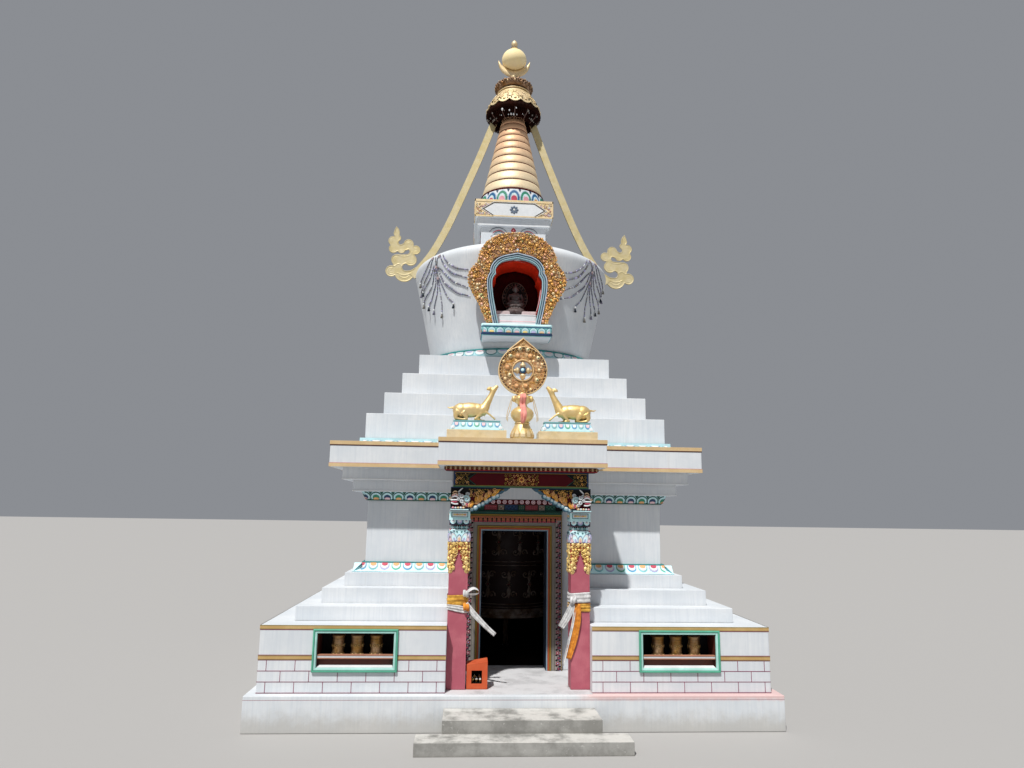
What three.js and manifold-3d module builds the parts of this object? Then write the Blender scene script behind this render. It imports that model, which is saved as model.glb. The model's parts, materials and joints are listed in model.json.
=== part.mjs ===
// A whitewashed stupa that people can enter, with a porch and a large prayer wheel in its chamber.
// Units are millimetres, +Z is up, the front faces -Y, and the origin is the centre of the plinth's underside.
import * as THREE from 'three';
import { mergeVertices } from 'three/addons/utils/BufferGeometryUtils.js';
import Module from 'manifold-3d';

const wasm = await Module();
wasm.setup();

// Driving dimensions: each storey is square, given by half its side and the height of its top.
const PLINTH = { half: 3370, top: 430 };
const BASE = { half: 3250, top: 1240 };
const BASE_STEPS = [
  { half: 2910, top: 1430 },
  { half: 2640, top: 1630 },
  { half: 2385, top: 1810 },
];
const LOWER_LOTUS = { foot: 2300, head: 2170, top: 1940 };
const BODY = { half: 2145, top: 2820 };
const UPPER_LOTUS = { foot: 2160, head: 2230, top: 2930 };
const FASCIA = { half: 2345, top: 3090 };
const SOFFIT = { half: 2480, top: 3260 };
const CORNICE = { half: 2640, top: 3620 };
const TERRACE_LOTUS = { half: 2290, top: 3700 };
const TERRACES = [
  { half: 2225, top: 4070 },
  { half: 2000, top: 4420 },
  { half: 1765, top: 4770 },
  { half: 1530, top: 5120 },
];

// Front steps, porch, doorway and chamber.
const FRONT_STEPS = { rise: 143.5, upper: { half: 940, reach: 510 }, lower: { half: 1240, reach: 840 } };
const PORCH = { half: 930, wallFront: -1950 };
const DOOR = { half: 475, head: 2390, wall: 300 };
const DOOR_FRAME = { half: 700, head: 2650, proud: 50 };
const CHAMBER = { half: 1250, ceiling: 2960 };
const PORCH_ROOF = { half: 1100, front: -3480 };

// Porch pillars, brackets and beam.
const PILLAR = { inner: 680, side: 250, front: -3080, lotusFoot: 2280, lotusTop: 2440, neckTop: 2490, top: 2680 };
const CAPITAL_LIP = 8;
const NECK_INSET = 25;
const BEAM = { half: 900, front: -3210, back: -3050, foot: 2990, top: 3200 };
const DENTILS = { half: 1000, front: -3300 };
const BRACKET = { tip: 165, front: -3190, back: -3070, scallops: 5 };
const BRACKET_HEAD = { outer: 950, inner: 690, foot: 2690, front: -3270 };

// Two niches with three small prayer wheels each.
const NICHE = { centre: 2063, half: 475, foot: 735, head: 1145, depth: 320 };
const RAIL = { foot: 838, top: 885, front: 12, depth: 45 };
const NICHE_WHEEL = { radius: 80, foot: 762, top: 1112, pitch: 240, inset: 160, shaft: 12, play: 0.3 };
const CHAMBER_WHEEL = { radius: 800, foot: 960, top: 2700, shaft: 45, play: 0.3 };

// Dome: radius and height of each bend of its outline, from the foot up.
const DOME_FOOT = 1400;
const DOME_OUTLINE = [
  [1420, 5300], [1600, 6150], [1745, 6790], [1765, 6900], [1745, 6990], [1680, 7055],
  [1560, 7110], [1360, 7165], [1100, 7220], [800, 7265],
];
const DOME_TOP = 7280;
const DOME_RING = { foot: 1450, head: 1425, top: 5250 };
const DOME_NICHE = { floor: 5830, depth: 620, half: 400, springing: 6180, head: 6690 };
const NICHE_OPENING_FOOT = { half: 290, height: 5580 };
const NICHE_FRAME = { front: -1830, thickness: 150, neckWall: 90 };
const NICHE_SILL = { half: 545, front: -1870, foot: 5385, top: 5580 };
const FIGURE_PLANE = -1380;
const TOUCH = 0.3;

// Square box above the dome, ringed spire, parasol and jewel.
const HARMIKA = { half: 585, top: 7720, soffitHalf: 645, soffitTop: 7860, headHalf: 700, headTop: 8190 };
const SPIRE_LOTUS = { foot: 625, head: 590, top: 8490 };
const SPIRE = { rings: 13, footRadius: 572, topRadius: 150, top: 10430, firstRing: 203, shrink: 0.948, groove: 16 };
const PARASOL = { foot: 10110, valanceTop: 10440, valanceFoot: 540, rim: 520, neck: 350, neckTop: 10880 };
const CROWN = { foot: 330, bulge: 357, head: 215, top: 11080 };
const MOON = { radius: 315, thickness: 60, centre: 11395, bite: 250, biteRise: 150 };
const SUN = { radius: 238, centre: 11490 };
const JEWEL = { neck: 30, bulb: 64, centre: 11835, top: 11900 };

// Flat straps from the parasol to the dome, each ending in a cloud curl.
const STRAP = {
  width: 120, thickness: 34,
  line: [[378, 10086], [650, 9330], [960, 8560], [1240, 7920], [1500, 7430], [1715, 7110], [1830, 6925]],
};

// Wheel and deer on the porch roof.
const ROOF_GROUP = { front: -3330, wheelPlane: -3200 };
const ROOF_WHEEL = { radius: 335, hub: 4600, tip: 5035, thickness: 90, eye: 133, hubRadius: 40, spoke: 34 };
const DEER = { plinthInner: 225, plinthOuter: 1025, plinthTop: 3735, lotusTop: 3875, lotusInset: 55, depth: 330 };

// Offering box and the scarves tied round the pillars.
const OFFERING_BOX = { left: -665, right: -395, front: -3065, depth: 230, low: 735, high: 780, wall: 22 };
const OFFERING_HOLE = { left: -602, right: -467, foot: 500, head: 662 };
const SCARF = { thickness: 22, gap: 0.3 };

// Sides of round pieces.
const ROUND = 40;
const MEDIUM_ROUND = 24;
const SMALL_ROUND = 14;

function metal(color) {
  return new THREE.MeshStandardMaterial({ color, roughness: 0.35, metalness: 0.9 });
}

function paint(color, roughness = 0.75) {
  return new THREE.MeshStandardMaterial({ color, roughness, metalness: 0 });
}

const LIMEWASH = 0xf1efe9;
const CONCRETE = 0x9b9a95;
const TURQUOISE = 0x4fb3b5;
const GOLD = 0xd9a53a;
const PALE_GOLD = 0xd8c07a;
const CRIMSON = 0xb5485a;
const MAROON = 0x6d1822;
const ORANGE = 0xd9542c;
const SCARF_WHITE = 0xefe9dc;
const BRASS = 0xb08a3c;

const stupa = new THREE.Group();

function add(name, geometry, material) {
  const mesh = new THREE.Mesh(geometry, material);
  mesh.name = name;
  stupa.add(mesh);
  return mesh;
}

// Closed solids for joining and cutting.
function toSolid(geometry) {
  const bare = geometry.clone();
  bare.deleteAttribute('normal');
  bare.deleteAttribute('uv');
  const merged = mergeVertices(bare, 1e-3);
  return new wasm.Manifold(new wasm.Mesh({
    numProp: 3,
    vertProperties: new Float32Array(merged.attributes.position.array),
    triVerts: new Uint32Array(merged.index.array),
  }));
}

function toGeometry(solid) {
  const mesh = solid.getMesh();
  const geometry = new THREE.BufferGeometry();
  geometry.setAttribute('position', new THREE.BufferAttribute(mesh.vertProperties, 3));
  geometry.setIndex(new THREE.BufferAttribute(mesh.triVerts, 1));
  return geometry;
}

function join(...geometries) {
  return toGeometry(geometries.map(toSolid).reduce((whole, piece) => whole.add(piece)));
}

function cut(geometry, ...tools) {
  return toGeometry(tools.map(toSolid).reduce((whole, tool) => whole.subtract(tool), toSolid(geometry)));
}

function slab(x0, x1, y0, y1, z0, z1) {
  const box = new THREE.BoxGeometry(x1 - x0, y1 - y0, z1 - z0);
  return box.translate((x0 + x1) / 2, (y0 + y1) / 2, (z0 + z1) / 2);
}

function storey(half, z0, z1) {
  return slab(-half, half, -half, half, z0, z1);
}

function outline(points) {
  return new THREE.Shape(points.map(([x, y]) => new THREE.Vector2(x, y)));
}

// A flat outline given in x and y, raised from z0 to z1.
function raise(shape, z0, z1) {
  const body = new THREE.ExtrudeGeometry(shape, { depth: z1 - z0, bevelEnabled: false, curveSegments: 8 });
  return body.translate(0, 0, z0);
}

// An upright outline given in x and z, from its front face at y0 back to y1.
function upright(shape, y0, y1, curveSegments = 8) {
  const body = new THREE.ExtrudeGeometry(shape, { depth: y1 - y0, bevelEnabled: false, curveSegments });
  return body.rotateX(Math.PI / 2).translate(0, y1, 0);
}

// A round piece from a list of radius and height pairs, from its foot up.
function turned(profile, segments = ROUND) {
  const points = profile.map(([radius, height]) => new THREE.Vector2(radius, height));
  return new THREE.LatheGeometry(points, segments).rotateX(Math.PI / 2);
}

function mirrored(geometry) {
  return toGeometry(toSolid(geometry).mirror([1, 0, 0]));
}

// A storey of masonry round the chamber, left open in front where the porch is.
function porchedOutline(half) {
  const inner = PORCH.wallFront + DOOR.wall;
  return outline([
    [-PORCH.half, -half], [-half, -half], [-half, half], [half, half], [half, -half], [PORCH.half, -half],
    [PORCH.half, inner], [CHAMBER.half, inner], [CHAMBER.half, CHAMBER.half], [-CHAMBER.half, CHAMBER.half],
    [-CHAMBER.half, inner], [-PORCH.half, inner],
  ].reverse());
}

function porchedStorey(half, z0, z1, headHalf = half) {
  const body = raise(porchedOutline(half), z0, z1);
  const position = body.attributes.position;
  for (let i = 0; i < position.count; i += 1) {
    if (position.getZ(i) > z1 - 1) {
      if (Math.abs(position.getX(i)) > half - 1) position.setX(i, Math.sign(position.getX(i)) * headHalf);
      if (Math.abs(position.getY(i)) > half - 1) position.setY(i, Math.sign(position.getY(i)) * headHalf);
    }
  }
  return body;
}

// Plinth and front steps.
add('plinth', storey(PLINTH.half, 0, PLINTH.top), paint(LIMEWASH));
const { upper: upperStep, lower: lowerStep, rise } = FRONT_STEPS;
const upperFront = -PLINTH.half - upperStep.reach;
const lowerFront = -PLINTH.half - lowerStep.reach;
add('upper_front_step', slab(-upperStep.half, upperStep.half, upperFront, -PLINTH.half, 0, 2 * rise), paint(CONCRETE));
add('lower_front_step', slab(-lowerStep.half, lowerStep.half, lowerFront, upperFront, 0, rise), paint(CONCRETE));

// Base block: two front masses with niches, and the mass round the chamber behind them.
function nicheHollow() {
  const { centre, half, foot, head, depth } = NICHE;
  return slab(centre - half, centre + half, -BASE.half - 10, -BASE.half + depth, foot, head);
}

function nicheRail() {
  const y0 = -BASE.half + RAIL.front;
  const reach = NICHE.half + 20;
  return slab(NICHE.centre - reach, NICHE.centre + reach, y0, y0 + RAIL.depth, RAIL.foot, RAIL.top);
}

function baseFront() {
  const mass = slab(PORCH.half, BASE.half, -BASE.half, PORCH.wallFront, PLINTH.top, BASE.top);
  return join(cut(mass, nicheHollow()), nicheRail());
}

function baseRear() {
  const inner = PORCH.wallFront + DOOR.wall;
  return outline([
    [-BASE.half, PORCH.wallFront], [-PORCH.half, PORCH.wallFront], [-PORCH.half, inner], [-CHAMBER.half, inner],
    [-CHAMBER.half, CHAMBER.half], [CHAMBER.half, CHAMBER.half], [CHAMBER.half, inner], [PORCH.half, inner],
    [PORCH.half, PORCH.wallFront], [BASE.half, PORCH.wallFront], [BASE.half, BASE.half], [-BASE.half, BASE.half],
  ]);
}

add('base_front_right', baseFront(), paint(LIMEWASH));
add('base_front_left', mirrored(baseFront()), paint(LIMEWASH));
add('base_rear', raise(baseRear(), PLINTH.top, BASE.top), paint(LIMEWASH));
BASE_STEPS.forEach(({ half, top }, i) => {
  const foot = i === 0 ? BASE.top : BASE_STEPS[i - 1].top;
  add(`base_step_${i + 1}`, porchedStorey(half, foot, top), paint(LIMEWASH));
});

// Body with its lotus mouldings and the cornice.
const stepsTop = BASE_STEPS.at(-1).top;
add('lower_lotus_band', porchedStorey(LOWER_LOTUS.foot, stepsTop, LOWER_LOTUS.top, LOWER_LOTUS.head), paint(TURQUOISE));
add('body', porchedStorey(BODY.half, LOWER_LOTUS.top, BODY.top), paint(LIMEWASH));
add('upper_lotus_band', porchedStorey(UPPER_LOTUS.foot, BODY.top, UPPER_LOTUS.top, UPPER_LOTUS.head), paint(TURQUOISE));
add('cornice_moulding', join(
  porchedStorey(FASCIA.half, UPPER_LOTUS.top, FASCIA.top),
  porchedStorey(SOFFIT.half, FASCIA.top, SOFFIT.top),
), paint(LIMEWASH));
add('cornice_slab', storey(CORNICE.half, SOFFIT.top, CORNICE.top), paint(LIMEWASH));
add('porch_roof', slab(-PORCH_ROOF.half, PORCH_ROOF.half, PORCH_ROOF.front, -CORNICE.half, SOFFIT.top, CORNICE.top),
  paint(LIMEWASH));

// Doorway wall, door frame and the ceiling of the chamber.
const wallBack = PORCH.wallFront + DOOR.wall;
function panel(half, headHeight, foot) {
  return outline([[-half, foot], [half, foot], [half, headHeight], [-half, headHeight]]);
}

function doorWall() {
  const wall = upright(panel(PORCH.half, SOFFIT.top, PLINTH.top), PORCH.wallFront, wallBack);
  return cut(wall, slab(-DOOR.half, DOOR.half, PORCH.wallFront - 10, wallBack + 10, PLINTH.top - 10, DOOR.head));
}

function doorFrame() {
  const front = PORCH.wallFront - DOOR_FRAME.proud;
  const { half, head } = DOOR_FRAME;
  const board = upright(panel(half, head, PLINTH.top), front, PORCH.wallFront);
  return cut(board, slab(-DOOR.half, DOOR.half, front - 10, PORCH.wallFront + 10, PLINTH.top - 10, DOOR.head));
}

add('door_wall', doorWall(), paint(LIMEWASH));
add('door_frame', doorFrame(), paint(MAROON));
add('chamber_ceiling', slab(-CHAMBER.half, CHAMBER.half, wallBack, CHAMBER.half, CHAMBER.ceiling, SOFFIT.top),
  paint(LIMEWASH));

// Porch pillars with lotus blocks, necks and capitals.
function pillar() {
  const { inner, side, front, lotusFoot, lotusTop, neckTop, top } = PILLAR;
  const stage = (inset, z0, z1) => slab(
    inner + inset, inner + side - inset, front + inset, front + side - inset, z0, z1,
  );
  return join(
    stage(0, PLINTH.top, lotusFoot),
    stage(-CAPITAL_LIP, lotusFoot, lotusTop),
    stage(NECK_INSET, lotusTop, neckTop),
    stage(-CAPITAL_LIP, neckTop, top),
  );
}

// A wing that rises from the capital to the beam with a scalloped lower edge.
function bracketWing() {
  const { tip, front, back, scallops } = BRACKET;
  const root = PILLAR.inner + PILLAR.side;
  const wing = new THREE.Shape();
  wing.moveTo(root, PILLAR.top);
  wing.lineTo(root, BEAM.foot);
  wing.lineTo(tip, BEAM.foot);
  const start = new THREE.Vector2(tip, BEAM.foot - 12);
  const end = new THREE.Vector2(PILLAR.inner, PILLAR.top);
  wing.lineTo(start.x, start.y);
  for (let i = 1; i <= scallops; i += 1) {
    const next = start.clone().lerp(end, i / scallops);
    const middle = start.clone().lerp(end, (i - 0.5) / scallops);
    wing.quadraticCurveTo(middle.x - 18, middle.y - 24, next.x, next.y);
  }
  return upright(wing, front, back, 3);
}

function bracketHead() {
  const { outer, inner, foot, front } = BRACKET_HEAD;
  return slab(inner, outer, front, BRACKET.back + 20, foot, BEAM.foot);
}

const SIDES = [['right', (geometry) => geometry], ['left', mirrored]];
SIDES.forEach(([side, place]) => {
  add(`${side}_pillar`, place(pillar()), paint(CRIMSON));
  add(`${side}_bracket`, place(join(bracketWing(), bracketHead())), paint(GOLD));
});
add('porch_beam', join(
  slab(-BEAM.half, BEAM.half, BEAM.front, BEAM.back, BEAM.foot, BEAM.top),
  slab(-DENTILS.half, DENTILS.half, DENTILS.front, BEAM.back, BEAM.top, SOFFIT.top),
), paint(MAROON));

// Terraces under the dome.
add('terrace_lotus_band', storey(TERRACE_LOTUS.half, CORNICE.top, TERRACE_LOTUS.top), paint(TURQUOISE));
TERRACES.forEach(({ half, top }, i) => {
  const foot = i === 0 ? TERRACE_LOTUS.top : TERRACES[i - 1].top;
  add(`terrace_${i + 1}`, storey(half, foot, top), paint(LIMEWASH));
});

// Dome, widest near its shoulder, standing in a lotus ring with a niche in front.
const terraceTop = TERRACES.at(-1).top;

function domeSolid(grow = 0) {
  const bends = DOME_OUTLINE.map(([radius, height]) => [radius + grow, height + grow]);
  return turned([[0, terraceTop], [DOME_FOOT + grow, terraceTop], ...bends, [0, DOME_TOP + grow]]);
}

// The opening: a trefoil arch over sides that draw in towards the foot.
function nicheArch(grow, foot, footHalf) {
  const { half, springing, head } = DOME_NICHE;
  const arch = new THREE.Shape();
  arch.moveTo(-footHalf - grow, foot);
  arch.lineTo(footHalf + grow, foot);
  arch.quadraticCurveTo(half + grow, springing - 150, half + grow, springing);
  arch.quadraticCurveTo(half + grow, springing + 110, half - 55 + grow, springing + 140);
  arch.bezierCurveTo(half - 60 + grow, head - 120, 130 + grow, head - 30, 0, head + grow);
  arch.bezierCurveTo(-130 - grow, head - 30, 60 - half - grow, head - 120, 55 - half - grow, springing + 140);
  arch.quadraticCurveTo(-half - grow, springing + 110, -half - grow, springing);
  arch.quadraticCurveTo(-half - grow, springing - 150, -footHalf - grow, foot);
  return arch;
}

// The carved surround: an ogee outline with shoulders, widest at mid height.
function surround() {
  const { height: foot } = NICHE_OPENING_FOOT;
  const edge = new THREE.Shape();
  const half = [
    [480, foot], [620, 5900], [800, 6240], [815, 6370], [790, 6520], [650, 6650], [645, 6760], [560, 6960],
    [330, 7130], [120, 7170],
  ];
  edge.moveTo(-half[0][0], foot);
  edge.lineTo(half[0][0], foot);
  edge.splineThru(half.slice(1).map(([x, z]) => new THREE.Vector2(x, z)));
  edge.lineTo(0, 7195);
  edge.lineTo(-120, 7170);
  edge.splineThru(half.slice(0, -1).reverse().map(([x, z]) => new THREE.Vector2(-x, z)));
  return edge;
}

function nicheFrame() {
  const { front, thickness, neckWall } = NICHE_FRAME;
  const { height: foot, half: footHalf } = NICHE_OPENING_FOOT;
  const plate = upright(surround(), front, front + thickness, 2);
  const neck = upright(nicheArch(neckWall, foot, footHalf), front + thickness - 20, front + 500, 5);
  const hole = upright(nicheArch(0, foot - 20, footHalf), front - 20, front + 520, 5);
  return cut(join(plate, neck), hole, domeSolid(TOUCH));
}

function domeNiche() {
  const front = -DOME_OUTLINE[3][0] - 50;
  const hollow = upright(nicheArch(0, DOME_NICHE.floor, DOME_NICHE.half - 70), front, front + DOME_NICHE.depth, 5);
  return cut(domeSolid(), hollow);
}

add('dome', domeNiche(), paint(LIMEWASH));
const { half: sillHalf, front: sillFront, foot: sillFoot, top: sillTop } = NICHE_SILL;
add('niche_sill', cut(slab(-sillHalf, sillHalf, sillFront, -1380, sillFoot, sillTop), domeSolid(TOUCH)), paint(TURQUOISE));
add('niche_frame', nicheFrame(), metal(GOLD));
add('dome_lotus_ring', turned([
  [DOME_FOOT + 60, terraceTop], [DOME_RING.foot + 40, terraceTop], [DOME_RING.head + 40, DOME_RING.top],
  [DOME_FOOT + 60, DOME_RING.top], [DOME_FOOT + 60, terraceTop],
]), paint(TURQUOISE));

// A small seated figure on the niche floor.
add('niche_figure', turned([
  [0, DOME_NICHE.floor], [150, DOME_NICHE.floor], [160, 5880], [135, 5920], [150, 5960], [95, 6060], [85, 6170],
  [40, 6210], [58, 6250], [62, 6290], [40, 6340], [15, 6380], [0, 6385],
], SMALL_ROUND).translate(0, FIGURE_PLANE, 0), metal(BRASS));

// Square box above the dome.
add('harmika_box', join(
  storey(HARMIKA.half, DOME_TOP, HARMIKA.top),
  storey(HARMIKA.soffitHalf, HARMIKA.top, HARMIKA.soffitTop),
), paint(LIMEWASH));
add('harmika_head', storey(HARMIKA.headHalf, HARMIKA.soffitTop, HARMIKA.headTop), paint(PALE_GOLD));

// Spire of thirteen rings that shrink upwards, with a groove between each two.
function spireProfile() {
  const { rings, footRadius, topRadius, top, firstRing, shrink, groove } = SPIRE;
  const foot = SPIRE_LOTUS.top;
  const taper = (z) => footRadius + (topRadius - footRadius) * ((z - foot) / (top - foot));
  const total = firstRing * ((1 - shrink ** rings) / (1 - shrink));
  const scale = (top - foot) / total;
  const profile = [];
  let z = foot;
  for (let i = 0; i < rings; i += 1) {
    const height = firstRing * scale * shrink ** i;
    profile.push([taper(z) - groove, z], [taper(z + height * 0.14), z + height * 0.14]);
    profile.push([taper(z + height * 0.86) + 4, z + height * 0.86]);
    z += height;
  }
  return [...profile, [taper(top) - groove, top], [0, top]];
}

add('spire', turned([
  [0, HARMIKA.headTop], [SPIRE_LOTUS.foot, HARMIKA.headTop], [SPIRE_LOTUS.foot + 10, 8300],
  [SPIRE_LOTUS.head, SPIRE_LOTUS.top], ...spireProfile(),
], MEDIUM_ROUND), metal(GOLD));

// Parasol: a hanging valance and a domed skirt round the top of the spire.
const spireTopRadius = SPIRE.topRadius + 120;
add('parasol', turned([
  [spireTopRadius, PARASOL.foot], [PARASOL.valanceFoot, PARASOL.foot], [PARASOL.rim, PARASOL.valanceTop],
  [480, 10540], [400, 10700], [PARASOL.neck, 10800], [PARASOL.neck, PARASOL.neckTop], [0, PARASOL.neckTop],
  [0, SPIRE.top + TOUCH], [spireTopRadius, SPIRE.top + TOUCH], [spireTopRadius, PARASOL.foot],
], MEDIUM_ROUND), metal(GOLD));
add('crown', turned([
  [0, PARASOL.neckTop], [CROWN.foot, PARASOL.neckTop], [CROWN.bulge, 10930], [CROWN.bulge, 10960], [250, 11010],
  [CROWN.head, 11040], [CROWN.head - 60, CROWN.top], [0, CROWN.top],
], MEDIUM_ROUND), metal(GOLD));

// Crescent moon, sun disc and jewel as one casting on the crown.
function moonAndSun() {
  const { radius, thickness, centre, bite, biteRise } = MOON;
  const disc = (r, z, depth) => new THREE.CylinderGeometry(r, r, depth, MEDIUM_ROUND).translate(0, 0, z);
  const crescent = cut(disc(radius, centre, thickness), disc(bite, centre + biteRise, thickness + 20));
  const sun = turned([
    [0, SUN.centre - SUN.radius], [60, SUN.centre - SUN.radius + 8],
    [SUN.radius * 0.72, SUN.centre - SUN.radius * 0.7], [SUN.radius, SUN.centre],
    [SUN.radius * 0.72, SUN.centre + SUN.radius * 0.7], [60, SUN.centre + SUN.radius - 8],
    [JEWEL.neck, SUN.centre + SUN.radius + 10], [JEWEL.neck + 5, JEWEL.centre - JEWEL.bulb],
    [JEWEL.bulb, JEWEL.centre - 12], [JEWEL.bulb - 10, JEWEL.centre + 25], [0, JEWEL.top],
  ], SMALL_ROUND);
  return join(crescent, sun);
}

add('moon_and_sun', moonAndSun(), metal(GOLD));

// Straps with cloud curls: the left one is traced here and mirrored for the right.
function strapOutline() {
  const line = new THREE.SplineCurve(STRAP.line.map(([x, z]) => new THREE.Vector2(-x, z)));
  const left = [];
  const right = [];
  const steps = 10;
  for (let i = 0; i <= steps; i += 1) {
    const point = line.getPoint(i / steps);
    const along = line.getTangent(i / steps);
    const across = new THREE.Vector2(-along.y, along.x).multiplyScalar(STRAP.width / 2);
    left.push(point.clone().sub(across));
    right.push(point.clone().add(across));
  }
  return new THREE.Shape([...left, ...right.reverse()]);
}

// The curl: overlapping lobes along a rising wave, given by centre and radius, under a pointed tip.
const CURL_LOBES = [
  [-1900, 6950, 95], [-2006, 6943, 130], [-2110, 6985, 120], [-2190, 7050, 130], [-2150, 7160, 105],
  [-2070, 7256, 125], [-1960, 7205, 100], [-1853, 7190, 100], [-1860, 7330, 90], [-1800, 7465, 105],
  [-1940, 7545, 90], [-2050, 7490, 85], [-2158, 7465, 95], [-2190, 7600, 88], [-2124, 7690, 60],
];
const CURL_TIP = [[-2178, 7710], [-2070, 7710], [-2128, 7885]];

function cloudCurl() {
  const half = STRAP.thickness / 2;
  const lobes = CURL_LOBES.map(([x, z, radius]) => upright(
    new THREE.Shape().absarc(x, z, radius, 0, Math.PI * 2, false), -half, half, 6,
  ));
  return join(...lobes, upright(outline(CURL_TIP), -half, half));
}

function strap() {
  const half = STRAP.thickness / 2;
  const band = upright(strapOutline(), -half, half);
  return cut(join(band, cloudCurl()), domeSolid(TOUCH));
}

SIDES.forEach(([side, place]) => {
  const geometry = side === 'left' ? strap() : place(mirrored(strap()));
  add(`${side}_strap`, geometry, metal(PALE_GOLD));
});

// Wheel with a flame tip and four spokes, on a vase.
function roofWheel() {
  const { radius, hub, tip, thickness, eye, hubRadius, spoke } = ROOF_WHEEL;
  const y = ROOF_GROUP.wheelPlane - thickness / 2;
  const rim = new THREE.Shape();
  rim.absarc(0, hub, radius, Math.PI * 0.62, Math.PI * 2.38, false);
  rim.quadraticCurveTo(90, hub + radius + 10, 0, tip);
  rim.quadraticCurveTo(-90, hub + radius + 10, radius * Math.cos(Math.PI * 0.62), hub + radius * Math.sin(Math.PI * 0.62));
  const hole = new THREE.Path();
  hole.absarc(0, hub, eye, 0, Math.PI * 2, true);
  rim.holes.push(hole);
  const plate = upright(rim, y, y + thickness, 12);
  const cross = [
    slab(-eye - 8, eye + 8, y + 20, y + thickness - 20, hub - spoke / 2, hub + spoke / 2),
    slab(-spoke / 2, spoke / 2, y + 20, y + thickness - 20, hub - eye - 8, hub + eye + 8),
    upright(new THREE.Shape().absarc(0, hub, hubRadius, 0, Math.PI * 2, false), y, y + thickness, 8),
  ];
  return join(plate, ...cross);
}

const VASE_TOP = ROOF_WHEEL.hub - ROOF_WHEEL.radius;

function wheelVase() {
  const vase = turned([
    [0, CORNICE.top], [165, CORNICE.top], [175, 3665], [120, 3705], [75, 3760], [95, 3810], [168, 3900],
    [182, 3970], [160, 4030], [95, 4075], [70, 4120], [95, 4170], [80, 4225], [55, VASE_TOP], [0, VASE_TOP],
  ], SMALL_ROUND);
  return vase.translate(0, ROOF_GROUP.wheelPlane, 0);
}

add('wheel_vase', wheelVase(), metal(GOLD));
add('roof_wheel', roofWheel(), metal(GOLD));

// A kneeling deer that looks up at the wheel, on a lotus base and a plinth: the right one faces -X.
function ball(x, y, z, rx, ry, rz, tilt = 0) {
  return new THREE.SphereGeometry(1, 10, 6).scale(rx, ry, rz).rotateY(tilt).translate(x, y, z);
}

function limb(from, to, r0, r1) {
  const a = new THREE.Vector3(...from);
  const b = new THREE.Vector3(...to);
  const body = new THREE.CylinderGeometry(r1, r0, a.distanceTo(b), 7);
  const turn = new THREE.Quaternion().setFromUnitVectors(new THREE.Vector3(0, 1, 0), b.clone().sub(a).normalize());
  return body.applyQuaternion(turn).translate((a.x + b.x) / 2, (a.y + b.y) / 2, (a.z + b.z) / 2);
}

function deer() {
  const { plinthInner, plinthOuter, plinthTop, lotusTop, lotusInset, depth } = DEER;
  const y0 = ROOF_GROUP.front;
  const y = y0 + depth / 2;
  const ground = lotusTop;
  return join(
    slab(plinthInner, plinthOuter, y0, y0 + depth, CORNICE.top, plinthTop),
    slab(plinthInner + lotusInset, plinthOuter - lotusInset, y0 + 30, y0 + depth - 30, plinthTop, lotusTop),
    ball(700, y, ground + 108, 245, 88, 98, 0.06),
    ball(850, y, ground + 95, 115, 95, 95),
    ball(510, y, ground + 135, 95, 78, 98),
    limb([520, y, ground + 150], [418, y, ground + 400], 72, 40),
    ball(392, y, ground + 425, 62, 40, 42, -0.35),
    limb([392, y, ground + 425], [335, y, ground + 466], 34, 17),
    limb([425, y - 22, ground + 440], [468, y - 50, ground + 505], 14, 5),
    limb([425, y + 22, ground + 440], [468, y + 50, ground + 505], 14, 5),
    limb([905, y, ground + 110], [985, y, ground + 190], 34, 14),
    ball(800, y - 60, ground + 28, 150, 34, 42),
    ball(800, y + 60, ground + 28, 150, 34, 42),
    ball(520, y - 50, ground + 26, 110, 28, 46),
    ball(520, y + 50, ground + 26, 110, 28, 46),
  );
}

SIDES.forEach(([side, place]) => add(`${side}_deer`, place(deer()), metal(GOLD)));

// Offering box with a sloped lid and an opening in front.
function offeringBox() {
  const { left, right, front, depth, low, high, wall } = OFFERING_BOX;
  const face = outline([[left, PLINTH.top], [right, PLINTH.top], [right, high], [left, low]]);
  const body = upright(face, front, front + depth);
  const hollow = slab(
    left + wall, right - wall, front + wall, front + depth - wall, PLINTH.top + wall, low - 2 * wall,
  );
  const hole = slab(
    OFFERING_HOLE.left, OFFERING_HOLE.right, front - 10, front + 2 * wall, OFFERING_HOLE.foot, OFFERING_HOLE.head,
  );
  return cut(body, hollow, hole);
}

add('offering_box', offeringBox(), paint(ORANGE));

// Scarves tied round the pillars, with their loose ends.
function pillarScarf(z0, z1, tails) {
  const { inner, side, front } = PILLAR;
  const { thickness, gap } = SCARF;
  const x0 = inner - gap - thickness;
  const x1 = inner + side + gap + thickness;
  const y0 = front - gap - thickness;
  const y1 = front + side + gap + thickness;
  const wrap = slab(x0, x1, y0, y1, z0, z1);
  const post = slab(inner - gap, inner + side + gap, front - gap, front + side + gap, z0 - 10, z1 + 10);
  const ends = tails.map((points) => upright(outline(points), y0 - 4, y0 + 14));
  return join(cut(wrap, post), ...ends);
}

const RIGHT_TAILS = [
  [[690, 1540], [735, 1445], [560, 1190], [520, 1230]],
  [[760, 1470], [860, 1460], [720, 800], [640, 815]],
];
const LEFT_TAILS = [
  [[690, 1530], [740, 1445], [330, 1085], [300, 1130]],
];
add('right_pillar_scarf', pillarScarf(1440, 1665, RIGHT_TAILS), paint(SCARF_WHITE, 0.9));
add('left_pillar_scarf', mirrored(pillarScarf(1440, 1650, LEFT_TAILS)), paint(SCARF_WHITE, 0.9));

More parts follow.
